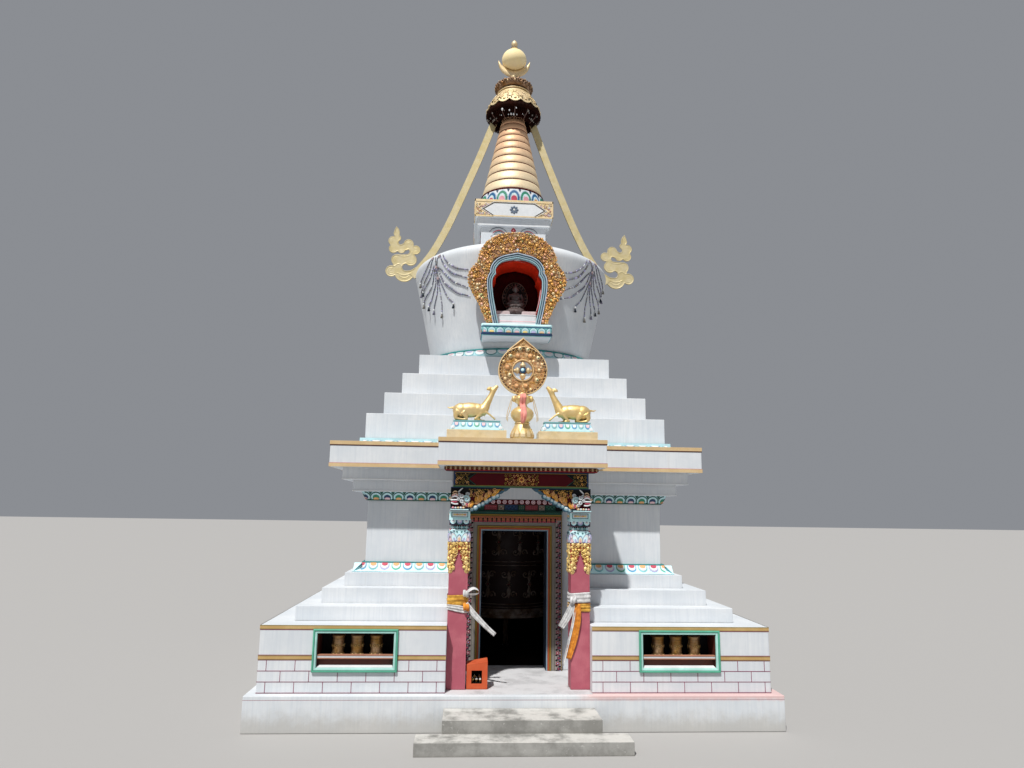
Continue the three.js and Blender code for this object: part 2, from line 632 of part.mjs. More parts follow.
// Prayer wheels: each turns on its own upright shaft.
function nicheWheel() {
  const { radius, foot, top, shaft, play } = NICHE_WHEEL;
  return turned([
    [0, NICHE.foot + play], [shaft, NICHE.foot + play], [shaft, foot], [radius, foot], [radius + 4, foot + 25],
    [radius - 4, foot + 40], [radius - 4, top - 40], [radius + 4, top - 25], [radius - 10, top], [shaft, top],
    [shaft, NICHE.head - play], [0, NICHE.head - play],
  ], SMALL_ROUND);
}

[['left', -1], ['right', 1]].forEach(([side, sign]) => {
  [-1, 0, 1].forEach((place, i) => {
    const mesh = add(`${side}_niche_wheel_${i + 1}`, nicheWheel(), metal(BRASS));
    mesh.position.set(sign * NICHE.centre + place * NICHE_WHEEL.pitch, -BASE.half + NICHE_WHEEL.inset, 0);
  });
});

function chamberWheel() {
  const { radius, foot, top, shaft, play } = CHAMBER_WHEEL;
  return turned([
    [0, PLINTH.top + play], [shaft, PLINTH.top + play], [shaft, foot], [radius - 30, foot], [radius, foot + 40],
    [radius, foot + 130], [radius - 20, foot + 150], [radius - 20, top - 150], [radius, top - 130],
    [radius, top - 40], [radius - 30, top], [shaft, top], [shaft, CHAMBER.ceiling - play],
    [0, CHAMBER.ceiling - play],
  ], MEDIUM_ROUND);
}

add('chamber_prayer_wheel', chamberWheel(), metal(BRASS));

export default stupa;
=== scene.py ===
"""Looks of a whitewashed stupa with a porch, a prayer-wheel chamber and a gilded spire.

Units are metres, +Z is up and the front faces -Y, as in the solids that it dresses.
Ornament is drawn on flat local sheets (u to the right, v up, w out of the surface), and a place
function puts each sheet on the wall, dome or wheel that carries it.
"""
import json
import math
import random

import bpy
from mathutils import Matrix, Vector

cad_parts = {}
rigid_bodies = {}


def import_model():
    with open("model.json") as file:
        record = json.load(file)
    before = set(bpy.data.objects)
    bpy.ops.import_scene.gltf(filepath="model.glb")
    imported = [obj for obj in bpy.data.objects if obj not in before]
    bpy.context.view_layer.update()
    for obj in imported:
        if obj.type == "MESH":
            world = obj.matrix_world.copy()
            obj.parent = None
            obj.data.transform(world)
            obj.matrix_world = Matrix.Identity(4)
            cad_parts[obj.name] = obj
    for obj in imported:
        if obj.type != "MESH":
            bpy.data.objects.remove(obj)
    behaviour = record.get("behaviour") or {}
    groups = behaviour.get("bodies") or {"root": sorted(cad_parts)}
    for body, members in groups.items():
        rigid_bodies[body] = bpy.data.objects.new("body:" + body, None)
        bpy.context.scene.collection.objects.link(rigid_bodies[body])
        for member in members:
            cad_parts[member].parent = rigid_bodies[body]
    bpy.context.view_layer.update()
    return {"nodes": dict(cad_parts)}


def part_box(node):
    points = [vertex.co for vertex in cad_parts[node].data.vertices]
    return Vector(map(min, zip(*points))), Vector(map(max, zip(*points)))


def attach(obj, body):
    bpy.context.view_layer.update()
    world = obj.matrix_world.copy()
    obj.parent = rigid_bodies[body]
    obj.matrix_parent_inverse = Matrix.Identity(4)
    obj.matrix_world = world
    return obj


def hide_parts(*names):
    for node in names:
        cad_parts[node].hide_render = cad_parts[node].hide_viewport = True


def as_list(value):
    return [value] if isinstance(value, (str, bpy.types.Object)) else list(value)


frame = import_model()
ROOT = "stupa"

# Sizes shared by several pieces, read from the solids where they give them.
BASE_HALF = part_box("base_rear")[1].x
PLINTH_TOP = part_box("plinth")[1].z
BASE_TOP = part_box("base_rear")[1].z
CORNICE_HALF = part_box("cornice_slab")[1].x
CORNICE_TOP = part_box("cornice_slab")[1].z
CORNICE_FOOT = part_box("cornice_slab")[0].z
ROOF_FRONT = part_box("porch_roof")[0].y
ROOF_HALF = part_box("porch_roof")[1].x
TERRACE_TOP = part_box("terrace_4")[1].z
PORCH_HALF = 0.93
NICHE_FRONT = 1.83
BOX_HALF, BOX_HEAD_HALF, BOX_HEAD_FOOT, BOX_HEAD_TOP = 0.585, 0.70, 7.86, 8.19
RINGS_FOOT = 8.49

# How far the back of raised paint and trim lies inside the wall that carries it.
SUNK, SET_IN = -0.004, -0.003
QUARTERS = (0, 1, 2, 3)


# Camera, stage and light.
def look_from_photo():
    """The photograph's viewpoint: a wide lens 12.6 m out, turned a little to the right and tipped up."""
    focal_pixels, photo_width, sensor = 706, 1024, 36
    yaw, pitch, roll = math.radians(3.49), math.radians(9.99), math.radians(0.85)
    data = bpy.data.cameras.new("photo_camera")
    data.sensor_width = sensor
    data.lens = focal_pixels / photo_width * sensor
    data.clip_end = 400
    camera = bpy.data.objects.new("photo_camera", data)
    bpy.context.scene.collection.objects.link(camera)
    ahead = Vector((math.sin(yaw) * math.cos(pitch), math.cos(yaw) * math.cos(pitch), math.sin(pitch)))
    right = Vector((math.cos(yaw), -math.sin(yaw), 0))
    up = right.cross(ahead)
    turned_right = right * math.cos(roll) + up * math.sin(roll)
    turned_up = up * math.cos(roll) - right * math.sin(roll)
    camera.matrix_world = Matrix((turned_right, turned_up, -ahead)).transposed().to_4x4()
    camera.location = (-0.72, -12.64, 2.72)
    bpy.context.scene.camera = camera


def lay_floor():
    """A plain grey ground, a hair below the part, that belongs to the stage."""
    reach = 120
    corners = [(-reach, -reach, 0), (reach, -reach, 0), (reach, reach, 0), (-reach, reach, 0)]
    mesh = bpy.data.meshes.new("floor")
    mesh.from_pydata(corners, [], [(0, 1, 2, 3)])
    floor = bpy.data.objects.new("floor", mesh)
    floor.location.z = -0.002
    bpy.context.scene.collection.objects.link(floor)
    material = bpy.data.materials.new("floor")
    material.use_nodes = True
    shader = material.node_tree.nodes["Principled BSDF"]
    shader.inputs["Base Color"].default_value = (0.42, 0.41, 0.40, 1)
    shader.inputs["Roughness"].default_value = 0.9
    mesh.materials.append(material)


def light_from_left():
    """A pale sky all round and one hard sun, high on the left as in the photograph."""
    world = bpy.data.worlds.new("sky")
    bpy.context.scene.world = world
    world.use_nodes = True
    background = world.node_tree.nodes["Background"]
    background.inputs["Color"].default_value = (0.46, 0.48, 0.52, 1)
    background.inputs["Strength"].default_value = 0.56

    key = bpy.data.lights.new("key", "SUN")
    key.energy = 3.9
    key.angle = math.radians(1.5)
    key.color = (1.0, 0.985, 0.955)
    lamp = bpy.data.objects.new("key", key)
    azimuth, elevation = math.radians(25.5), math.radians(57.3)
    flat = math.cos(elevation)
    to_light = Vector((-math.sin(azimuth) * flat, -math.cos(azimuth) * flat, math.sin(elevation)))
    lamp.rotation_mode = "QUATERNION"
    lamp.rotation_quaternion = to_light.to_track_quat("Z", "Y")
    bpy.context.scene.collection.objects.link(lamp)
    bpy.context.scene.view_settings.view_transform = "Standard"


for startup_object in list(bpy.data.objects):
    if startup_object.name in ("Camera", "Light", "Cube"):
        bpy.data.objects.remove(startup_object)
look_from_photo()
lay_floor()
light_from_left()


# Materials: each finish is a small node graph on the object's own coordinates.
def rgb(code):
    """A linear colour from a plain hex code."""
    channels = [int(code[i:i + 2], 16) / 255 for i in (0, 2, 4)]
    return [c / 12.92 if c <= 0.04045 else ((c + 0.055) / 1.055) ** 2.4 for c in channels] + [1]


def shaded(colour, factor):
    """A colour made darker, or lighter where the factor is over 1."""
    return [c * factor for c in colour[:3]] + [1]


def tinted(colour, share):
    """A colour drawn towards white by a share."""
    return [c + (1 - c) * share for c in colour[:3]] + [1]


class Finish:
    """One material; its methods return sockets, so a finish reads from its coarsest layer to its finest."""

    def __init__(self, name, roughness=0.7, metallic=0.0, specular=0.5):
        self.material = bpy.data.materials.new(name)
        self.material.use_nodes = True
        self.tree = self.material.node_tree
        self.shader = self.tree.nodes["Principled BSDF"]
        self.shader.inputs["Roughness"].default_value = roughness
        self.shader.inputs["Metallic"].default_value = metallic
        self.shader.inputs["Specular IOR Level"].default_value = specular
        self.place = self.node("ShaderNodeTexCoord").outputs["Object"]

    def node(self, kind, **settings):
        """Adds a node of a kind to the tree."""
        made = self.tree.nodes.new(kind)
        for key, value in settings.items():
            setattr(made, key, value)
        return made

    def put(self, socket, value):
        """Feeds a socket with another node's output, or with a plain value."""
        if hasattr(value, "is_output"):
            self.tree.links.new(value, socket)
        else:
            socket.default_value = value

    def stretched(self, x, y, z):
        """The object's coordinates, scaled along each axis."""
        mapping = self.node("ShaderNodeMapping")
        self.put(mapping.inputs["Vector"], self.place)
        mapping.inputs["Scale"].default_value = (x, y, z)
        return mapping.outputs["Vector"]

    def noise(self, scale, detail=4, rough=0.55, at=None):
        """Cloudy noise, from 0 to 1."""
        made = self.node("ShaderNodeTexNoise")
        self.put(made.inputs["Vector"], at or self.place)
        made.inputs["Scale"].default_value = scale
        made.inputs["Detail"].default_value = detail
        made.inputs["Roughness"].default_value = rough
        return made.outputs["Fac"]

    def cells(self, scale):
        """The distance to the nearest of many scattered points."""
        made = self.node("ShaderNodeTexVoronoi")
        self.put(made.inputs["Vector"], self.place)
        made.inputs["Scale"].default_value = scale
        return made.outputs["Distance"]

    def span(self, value, low, high, to_low=0.0, to_high=1.0):
        """value, from low..high to to_low..to_high, clamped."""
        made = self.node("ShaderNodeMapRange", interpolation_type="SMOOTHSTEP")
        self.put(made.inputs["Value"], value)
        for name, number in (("From Min", low), ("From Max", high), ("To Min", to_low), ("To Max", to_high)):
            made.inputs[name].default_value = number
        return made.outputs["Result"]

    def math(self, operation, a, b=0.0):
        """One sum on two values or sockets."""
        made = self.node("ShaderNodeMath", operation=operation)
        self.put(made.inputs[0], a)
        self.put(made.inputs[1], b)
        return made.outputs[0]

    def axis(self, name):
        """One of the object's coordinates."""
        made = self.node("ShaderNodeSeparateXYZ")
        self.put(made.inputs[0], self.place)
        return made.outputs[name]

    def upward(self):
        """How far a face looks up: 0 on a wall, 1 on a floor."""
        made = self.node("ShaderNodeSeparateXYZ")
        self.put(made.inputs[0], self.node("ShaderNodeNewGeometry").outputs["Normal"])
        return made.outputs["Z"]

    def mix(self, share, a, b):
        """Colour a, turning into b as share goes from 0 to 1."""
        made = self.node("ShaderNodeMix", data_type="RGBA")
        self.put(made.inputs[0], share)
        self.put(made.inputs[6], a)
        self.put(made.inputs[7], b)
        return made.outputs[2]

    def hollow_shade(self, distance, low=0.3, high=0.95):
        """A mask for painted shade: 1 in hollows between raised parts, 0 on what stands free."""
        made = self.node("ShaderNodeAmbientOcclusion", samples=6, only_local=False)
        made.inputs["Distance"].default_value = distance
        return self.span(made.outputs["AO"], low, high, 1.0, 0.0)

    def paint(self, colour):
        """Sets the colour of the surface."""
        self.put(self.shader.inputs["Base Color"], colour)
        return self

    def rough(self, value):
        """Sets how rough the surface is."""
        self.put(self.shader.inputs["Roughness"], value)
        return self

    def bump(self, height, distance, strength=0.6):
        """Shades the surface as if height stood out of it."""
        made = self.node("ShaderNodeBump")
        self.put(made.inputs["Height"], height)
        made.inputs["Distance"].default_value = distance
        made.inputs["Strength"].default_value = strength
        self.put(self.shader.inputs["Normal"], made.outputs["Normal"])
        return self


def limewash(name="limewash", plinth=False):
    """Brushed lime on plaster: faint upright strokes, mottling, rain streaks, dust near the ground and
    painted shade in hollows.
    """
    f = Finish(name, roughness=0.88, specular=0.25)
    strokes = f.noise(1.0, 3, 0.6, at=f.stretched(38, 38, 1.6))
    clouds = f.noise(1.7, 5, 0.6)
    streaks = f.noise(1.0, 4, 0.7, at=f.stretched(9, 9, 0.7))
    grain = f.noise(160, 3, 0.7)
    colour = f.mix(f.span(clouds, 0.35, 0.68), rgb("D2D7DC"), rgb("DEE1E4"))
    colour = f.mix(f.span(strokes, 0.38, 0.72, 0.0, 0.40), colour, rgb("C5CCD4"))
    colour = f.mix(f.span(streaks, 0.60, 0.80, 0.0, 0.25), colour, rgb("BAB9B4"))
    height = f.axis("Z")
    splash = f.math("ADD", height, f.math("MULTIPLY", f.noise(5, 5, 0.7), -0.30))
    colour = f.mix(f.span(splash, -0.10, 0.16, 0.55, 0.0), colour, rgb("A59F94"))
    # Painted shade: a darker grey in hollows and inside corners.
    colour = f.mix(f.math("MULTIPLY", f.hollow_shade(0.10, 0.25, 0.8), 0.30), colour, rgb("9C9992"))
    if plinth:
        along = f.span(f.math("ADD", f.axis("X"), f.math("MULTIPLY", clouds, 0.8)), 1.1, 1.6)
        band = f.span(f.math("ADD", height, f.math("MULTIPLY", f.noise(14, 4), 0.06)), 0.385, 0.445)
        front = f.span(f.axis("Y"), -2.9, -3.1)
        share = f.math("MULTIPLY", f.math("MULTIPLY", along, band), front)
        colour = f.mix(f.math("MULTIPLY", share, 0.55), colour, rgb("DFA096"))
        line = f.math("LESS_THAN", f.math("ABSOLUTE", f.math("SUBTRACT", height, 0.382)), 0.0035)
        colour = f.mix(f.math("MULTIPLY", line, 0.75), colour, rgb("8A4A5A"))
    f.paint(colour)
    relief = f.math("ADD", f.math("MULTIPLY", grain, 0.35), f.math("MULTIPLY", strokes, 0.65))
    return f.bump(f.math("ADD", relief, f.math("MULTIPLY", clouds, 1.6)), 0.006, 0.55).material


def flat_paint(name, colour, dark=None, worn=None, roughness=0.6, gloss=0.4, reach=0.025):
    """Brushed oil paint with painted shade in its hollows and a paler coat where hands and weather rub."""
    f = Finish(name, roughness=roughness, specular=gloss)
    base = rgb(colour)
    dark = rgb(dark) if dark else shaded(base, 0.5)
    worn = rgb(worn) if worn else shaded(base, 1.25)
    clouds = f.noise(5, 5, 0.6)
    brush = f.noise(1.0, 3, 0.6, at=f.stretched(90, 90, 14))
    mixed = f.mix(f.span(clouds, 0.38, 0.72), base, worn)
    mixed = f.mix(f.span(brush, 0.48, 0.80, 0.0, 0.30), mixed, shaded(base, 0.72))
    # Painted shade: the dark colour in hollows.
    mixed = f.mix(f.math("MULTIPLY", f.hollow_shade(reach), 0.7), mixed, dark)
    f.paint(mixed)
    f.rough(f.span(clouds, 0.3, 0.7, max(roughness - 0.12, 0.1), min(roughness + 0.12, 1)))
    return f.bump(f.math("ADD", brush, f.math("MULTIPLY", f.noise(240, 2), 0.4)), 0.0015, 0.4).material


def gilding(name, colour, hollow, roughness=0.38, metallic=0.85, reach=0.03, wear=0.25):
    """Gold paint or leaf over metal or carving: bright on what stands out, with worn brown specks and the
    same brown as painted shade in the hollows.
    """
    f = Finish(name, roughness=roughness, metallic=metallic)
    clouds = f.noise(6, 5, 0.65)
    speck = f.noise(90, 4, 0.6)
    base = rgb(colour)
    mixed = f.mix(f.span(clouds, 0.3, 0.7), base, tinted(base, 0.15))
    mixed = f.mix(f.span(speck, 0.55, 0.75, 0.0, wear), mixed, rgb(hollow))
    # Painted shade: the brown in hollows.
    mixed = f.mix(f.math("MULTIPLY", f.hollow_shade(reach, 0.25, 0.85), 0.92), mixed, rgb(hollow))
    f.paint(mixed)
    f.rough(f.span(f.noise(22, 4), 0.3, 0.7, roughness - 0.08, roughness + 0.16))
    return f.bump(f.math("ADD", speck, f.math("MULTIPLY", clouds, 1.5)), 0.002, 0.35).material


def spire_gilding():
    """Rolled copper sheet: pale gold at the foot and coppery pink towards the parasol."""
    f = Finish("spire_gilding", roughness=0.55, metallic=0.35)
    rise = f.span(f.math("ADD", f.axis("Z"), f.math("MULTIPLY", f.noise(3, 4), 0.5)), 8.7, 10.3)
    base = f.mix(rise, rgb("F5E2BE"), rgb("E8B890"))
    streaks = f.noise(1.0, 4, 0.65, at=f.stretched(26, 26, 3))
    base = f.mix(f.span(streaks, 0.5, 0.8, 0.0, 0.35), base, rgb("B07848"))
    # Painted shade: dark brown in the hollows between rings.
    base = f.mix(f.math("MULTIPLY", f.hollow_shade(0.03), 0.6), base, rgb("7A4A2A"))
    f.paint(base)
    f.rough(f.span(f.noise(9, 4), 0.3, 0.7, 0.48, 0.64))
    return f.bump(f.math("ADD", streaks, f.noise(60, 3)), 0.0025, 0.35).material


def cement(name, light, dark, top):
    """Trowelled cement: pits, worn patches, drips of lime, treads painted paler than their risers as painted
    light, and painted shade in hollows.
    """
    f = Finish(name, roughness=0.92, specular=0.2)
    patches = f.noise(3.2, 6, 0.65)
    pits = f.cells(120)
    drips = f.noise(26, 5, 0.75)
    base = f.mix(f.span(patches, 0.35, 0.65), rgb(dark), rgb(light))
    # Painted light: faces that look up take the paler tread colour.
    base = f.mix(f.span(f.upward(), 0.6, 0.9), base, f.mix(f.span(patches, 0.3, 0.6), base, rgb(top)))
    base = f.mix(f.span(drips, 0.62, 0.68, 0.0, 0.6), base, rgb("E0DFDC"))
    # Painted shade: darker in hollows.
    base = f.mix(f.math("MULTIPLY", f.hollow_shade(0.06), 0.5), base, rgb("6E6A62"))
    f.paint(base)
    grain = f.math("ADD", f.span(pits, 0.0, 0.35), f.noise(60, 5, 0.7))
    return f.bump(f.math("ADD", grain, patches), 0.006, 0.6).material


def cloth(name, colour, shade):
    """Thin woven scarf cloth: fine threads both ways, a soft sheen and painted shade in the folds."""
    f = Finish(name, roughness=0.8, specular=0.2)
    f.shader.inputs["Sheen Weight"].default_value = 0.35
    f.shader.inputs["Sheen Roughness"].default_value = 0.5
    warp = f.noise(1, 1, at=f.stretched(900, 900, 90))
    weft = f.noise(1, 1, at=f.stretched(90, 90, 900))
    folds = f.noise(18, 4, 0.6)
    base = f.mix(f.span(folds, 0.3, 0.7), rgb(shade), rgb(colour))
    # Painted shade: the shade colour deepened in folds and hollows.
    base = f.mix(f.math("MULTIPLY", f.hollow_shade(0.03), 0.55), base, rgb(shade))
    return f.paint(base).bump(f.math("MULTIPLY", warp, weft), 0.0012, 0.5).material


def soot_and_shade(name):
    """Near-black lining, painted shade for the unlit chamber and lamp black in the offering box, mottled,
    with a few paler rubbed places.
    """
    f = Finish(name, roughness=0.85, specular=0.1)
    mottle = f.noise(2.2, 6, 0.65)
    grain = f.noise(110, 4, 0.7)
    base = f.mix(f.span(mottle, 0.45, 0.8), rgb("150D0C"), rgb("2C201D"))
    f.paint(f.mix(f.span(grain, 0.6, 0.8, 0.0, 0.5), base, rgb("090606")))
    return f.bump(f.math("ADD", grain, mottle), 0.004, 0.5).material


LIMEWASH = limewash()
PLINTH_LIMEWASH = limewash("plinth_limewash", plinth=True)
CONCRETE = cement("step_concrete", "A9A8A4", "8B8A86", "CFCDC8")
SCREED = cement("porch_screed", "CBCBCC", "B8B8BA", "D2D2D4")
OCHRE = flat_paint("ochre_band", "BE9A62", worn="C7A875", dark="8A7440")
OCHRE_EDGE = flat_paint("ochre_band_edge", "8E7E4C")
PALE_OCHRE = flat_paint("pale_ochre_band", "CDB083", worn="D6BC92", dark="9A7E50")
BROWN_LINE = flat_paint("brown_line", "4A2C2C", reach=0.002)
PINK_LINE = flat_paint("pink_line", "B98A8A", reach=0.002)
MAROON_LINE = flat_paint("maroon_line", "83405A", reach=0.002)
WHITE = flat_paint("white_paint", "DADDDF", dark="A0A8AD", worn="E4E6E8")
AQUA = flat_paint("aqua_paint", "7FBBC0", dark="45878F")
PALE_AQUA = flat_paint("pale_aqua_paint", "B4D5DA", dark="76A9B2")
TEAL = flat_paint("teal_paint", "2F7F80", dark="155052")
GREEN = flat_paint("green_paint", "2F8064", dark="124A33")
DARK_GREEN = flat_paint("dark_green_paint", "1D5044", dark="0C2A1F")
BLUE = flat_paint("blue_paint", "2A5F8C", dark="153F63")
DARK_BLUE = flat_paint("dark_blue_paint", "1D3A5E", dark="0D2038")
GREY_BLUE = flat_paint("grey_blue_paint", "6F7C8E", dark="3F4A5A")
LILAC = flat_paint("lilac_paint", "AFABD0", dark="7C77A8")
PINK = flat_paint("pink_paint", "DB9CA6", dark="A9586A")
SOFT_PINK = flat_paint("soft_pink_paint", "E0BBC1", dark="B58A94")
SOFT_PEACH = flat_paint("soft_peach_paint", "DEC09A", dark="AB8A60")
ROSE = flat_paint("rose_paint", "C24C60", dark="842A3A")
# Pale aqua; on the pillar capitals, which the beam shades, its extra paleness is painted light.
CAPITAL_AQUA = flat_paint("capital_aqua_paint", "CDF2F6", dark="8CC8D2")
SKY_BLUE = flat_paint("sky_blue_paint", "5E9CC4", dark="32648C")
LEAF_GREEN = flat_paint("leaf_green_paint", "5FAE94", dark="2F7A62")
YELLOW = flat_paint("yellow_paint", "E4CC82", dark="B68F40")
ORANGE = flat_paint("orange_paint", "C5522A", dark="7E2C12", worn="CE6238")
BRICK_ORANGE = flat_paint("brick_orange_paint", "A4603F", dark="5C2E1A")
FLAME_ORANGE = flat_paint("flame_orange_paint", "E09A3A", dark="8E4A12", worn="EDB04A")
PEACH = flat_paint("peach_paint", "DCA46F", dark="9E6230")
CRIMSON = flat_paint("crimson_paint", "AD5867", dark="843645", worn="BC6A76")
MUTED_RED = flat_paint("muted_red_paint", "84363B", dark="471418")
RED = flat_paint("red_paint", "A3222B", dark="560C12")
MAROON = flat_paint("maroon_paint", "4A0A12", dark="1C0306", worn="560E18", gloss=0.12)
BLACK = flat_paint("black_paint", "141416", dark="060607", gloss=0.15)
SLATE = flat_paint("slate_paint", "2B3440", dark="12171E", gloss=0.2)
PALE_GREY_BLUE = flat_paint("pale_grey_blue_paint", "8FA4AE", dark="566A74")
LAVENDER = flat_paint("lavender_paint", "B4C2D2", dark="7C8DA6")
SLATE_BLUE = flat_paint("slate_blue_paint", "3E6478", dark="274454")
GREY_AQUA = flat_paint("grey_aqua_paint", "96B8C2", dark="5C8690")
BROW_GREY = flat_paint("brow_grey_paint", "59636E")
PLUM = flat_paint("plum_paint", "5E3050", dark="2E1428")
RUST_ORANGE = flat_paint("rust_orange_paint", "A84F28", dark="5E2610")
BEAM_GREEN = flat_paint("beam_green_paint", "3E6B4A", dark="1C3A26")
# Near-black lacquer of the chamber wheel, darkened as painted shade of the unlit chamber.
SHADED_WHEEL_LACQUER = flat_paint("shaded_wheel_lacquer", "1E0D0B", dark="0A0403", gloss=0.3)
# Grey-brown ground of the door jambs: their pale paint darkened as painted shade under the porch roof.
JAMB_BROWN = flat_paint("jamb_brown_paint", "8C8480", dark="3A2E30")
TAUPE = flat_paint("taupe_paint", "7C7871", dark="4A463F")
MAUVE = flat_paint("mauve_paint", "C4B2B2", dark="85747A")
MAUVE_SHADE = flat_paint("mauve_shade_paint", "857680", dark="4E444E")
OLIVE_GOLD = flat_paint("olive_gold_paint", "8A6E28", dark="453511")
EMERALD = flat_paint("emerald_frame_paint", "55A58A", dark="27705A")
PALE_EMERALD = flat_paint("pale_emerald_paint", "A6D3CC", dark="5BA39A")
NICHE_BROWN = flat_paint("niche_brown_paint", "5C2A1F", dark="200B09", reach=0.1)
NICHE_RED = flat_paint("niche_red_paint", "E2330F", dark="8A1006", reach=0.06)
# Near-black back of the dome niche: painted shade deep inside it.
NICHE_BACK_SHADE = flat_paint("niche_back_shade", "2E0508", dark="0C0102", worn="3C080A",
                         roughness=0.9, gloss=0.05, reach=0.1)
RAIL_WOOD = flat_paint("rail_paint", "A0705A", dark="6E4638", gloss=0.15)
# Near-black lining: painted shade for the unlit chamber, lamp black in the offering box.
SOOT_AND_SHADE = soot_and_shade("chamber_soot")
GOLD = gilding("gold", "E0BC72", "7A5220", metallic=0.7)
DEER_GOLD = gilding("deer_gold", "E9C882", "8E6A34", roughness=0.42, metallic=0.55, reach=0.04, wear=0.15)
SUN_GOLD = gilding("sun_gold", "FFE9B0", "D8B46A", roughness=0.7, metallic=0.0, reach=0.04, wear=0.06)
PALE_GOLD = gilding("pale_gold", "E6CC9A", "8A6A38", roughness=0.48, metallic=0.45, wear=0.15)
STRAP_GOLD = gilding("strap_gold", "C6B685", "6E5C2E", roughness=0.55, metallic=0.35, reach=0.02, wear=0.15)
CARVED_GOLD = gilding("carved_gold", "F4B655", "6A3A12", roughness=0.42, metallic=0.45, reach=0.035, wear=0.2)
CARVED_GROUND = gilding("carved_ground", "96602A", "4A260C", roughness=0.5, metallic=0.4)
GREEN_GOLD = gilding("green_gold", "B4B46A", "5E5A24", roughness=0.45, metallic=0.4)
PINK_GOLD = gilding("pink_gold", "EAAE8C", "8E5234", roughness=0.45, metallic=0.35)
WHEEL_GOLD = gilding("roof_wheel_gold", "F6D294", "8E5626", roughness=0.42, metallic=0.5, wear=0.15)
COPPER = gilding("copper_gold", "D9985C", "6A3412", roughness=0.42, metallic=0.55)
WHEEL_GROUND = gilding("roof_wheel_ground", "D29C5A", "6E3C16", roughness=0.5, metallic=0.3)
DARK_GOLD = gilding("dark_gold", "7A4E1C", "2A1506", roughness=0.5, metallic=0.6)
# Gold darkened to brown as painted shade, on the chamber wheel and the halo in the niche.
SHADED_GOLD = gilding("shaded_gold", "4A3012", "170C04", roughness=0.6, metallic=0.4)
CROWN_BRONZE = gilding("crown_bronze", "8A6030", "2A1508", roughness=0.45, metallic=0.7)
PILLAR_GOLD = gilding("pillar_gold", "F6D27A", "A06A24", roughness=0.42, metallic=0.3, reach=0.02, wear=0.2)
BRASS = gilding("wheel_brass", "97702F", "2C1B08", roughness=0.4, reach=0.012)
BRONZE = gilding("dark_bronze", "5C2C1C", "180604", roughness=0.5)
# Bronze darkened near black as painted shade of the niche, for the figure and its seat.
SHADED_FIGURE_BRONZE = gilding("figure_bronze", "34170F", "0E0402", roughness=0.6, metallic=0.3)
BEAD_DARK = gilding("garland_beads", "726E86", "34323E", roughness=0.5, metallic=0.1, reach=0.01)
SPIRE_GOLD = spire_gilding()
SPIRE_GROOVE = flat_paint("spire_groove_paint", "7A2A22", dark="3A100E")
# Maroon cloth darkened near black with painted shade under the parasol.
VALANCE = flat_paint("parasol_valance_paint", "1C0804", dark="0A0201", worn="2C110A",
                     roughness=0.85, gloss=0.06)
SCARF_WHITE = cloth("white_scarf", "E4E4E4", "B2B0B0")
SCARF_YELLOW = cloth("yellow_scarf", "E3B04A", "A87324")
SCARF_ORANGE = cloth("orange_scarf", "EB9A34", "B5651C")
SCARF_CORAL = cloth("coral_scarf", "F6A89B", "DE8478")

NODE_FINISHES = {
    CONCRETE: ["upper_front_step", "lower_front_step"],
    PALE_AQUA: ["lower_lotus_band", "upper_lotus_band", "terrace_lotus_band", "dome_lotus_ring"],
    LIMEWASH: ["niche_sill", "harmika_head"],
    CRIMSON: ["left_pillar", "right_pillar"],
    MAROON: ["door_frame", "porch_beam"],
    CARVED_GOLD: ["left_bracket", "right_bracket", "niche_frame", "roof_wheel"],
    GOLD: ["spire", "parasol", "crown", "moon_and_sun", "wheel_vase", "left_deer", "right_deer"],
    STRAP_GOLD: ["left_strap", "right_strap"],
    ORANGE: ["offering_box"],
    BRASS: [n for n in frame["nodes"] if "niche_wheel" in n] + ["chamber_prayer_wheel"],
    BRONZE: ["niche_figure"],
    SCARF_WHITE: ["left_pillar_scarf", "right_pillar_scarf"],
    PLINTH_LIMEWASH: ["plinth"],
}


def soften_edges(node, width):
    """Worn arrises: the masonry's sharp corners are rubbed round."""
    weld = node.modifiers.new("weld", "WELD")
    weld.merge_threshold = 1e-4
    bevel = node.modifiers.new("arris", "BEVEL")
    bevel.width = width
    bevel.segments = 2
    bevel.limit_method = "ANGLE"
    bevel.angle_limit = math.radians(40)


def finish_nodes():
    """Paints every solid of the part, and softens the edges of those that show as masonry or timber."""
    masonry_arris, timber_arris = 0.008, 0.005
    painted = {name: finish for finish, names in NODE_FINISHES.items() for name in names}
    for name, node in frame["nodes"].items():
        node.data.materials.clear()
        node.data.materials.append(painted.get(name, LIMEWASH))
        if name not in painted or name in ("plinth", "niche_sill"):
            soften_edges(node, masonry_arris)
        elif name in ("left_pillar", "right_pillar", "upper_front_step", "lower_front_step", "offering_box"):
            soften_edges(node, timber_arris)


finish_nodes()


# Outlines and curves.
def mitres(path, closed):
    """For each point of a path, the vector that moves it one unit to the right, mitred at corners."""
    found = []
    count = len(path)
    for i in range(count):
        before = path[i - 1] if closed or i > 0 else None
        after = path[(i + 1) % count] if closed or i < count - 1 else None
        normals = []
        for a, b in ((before, path[i]), (path[i], after)):
            if a is not None and b is not None:
                du, dv = b[0] - a[0], b[1] - a[1]
                size = math.hypot(du, dv) or 1e-9
                normals.append((dv / size, -du / size))
        mu, mv = (sum(n[k] for n in normals) / len(normals) for k in (0, 1))
        scale = max(mu * mu + mv * mv, 0.2)
        found.append((mu / scale, mv / scale))
    return found


def inset(outline, by):
    """An anticlockwise outline drawn in by a distance."""
    return [(u - du * by, v - dv * by) for (u, v), (du, dv) in zip(outline, mitres(outline, True))]


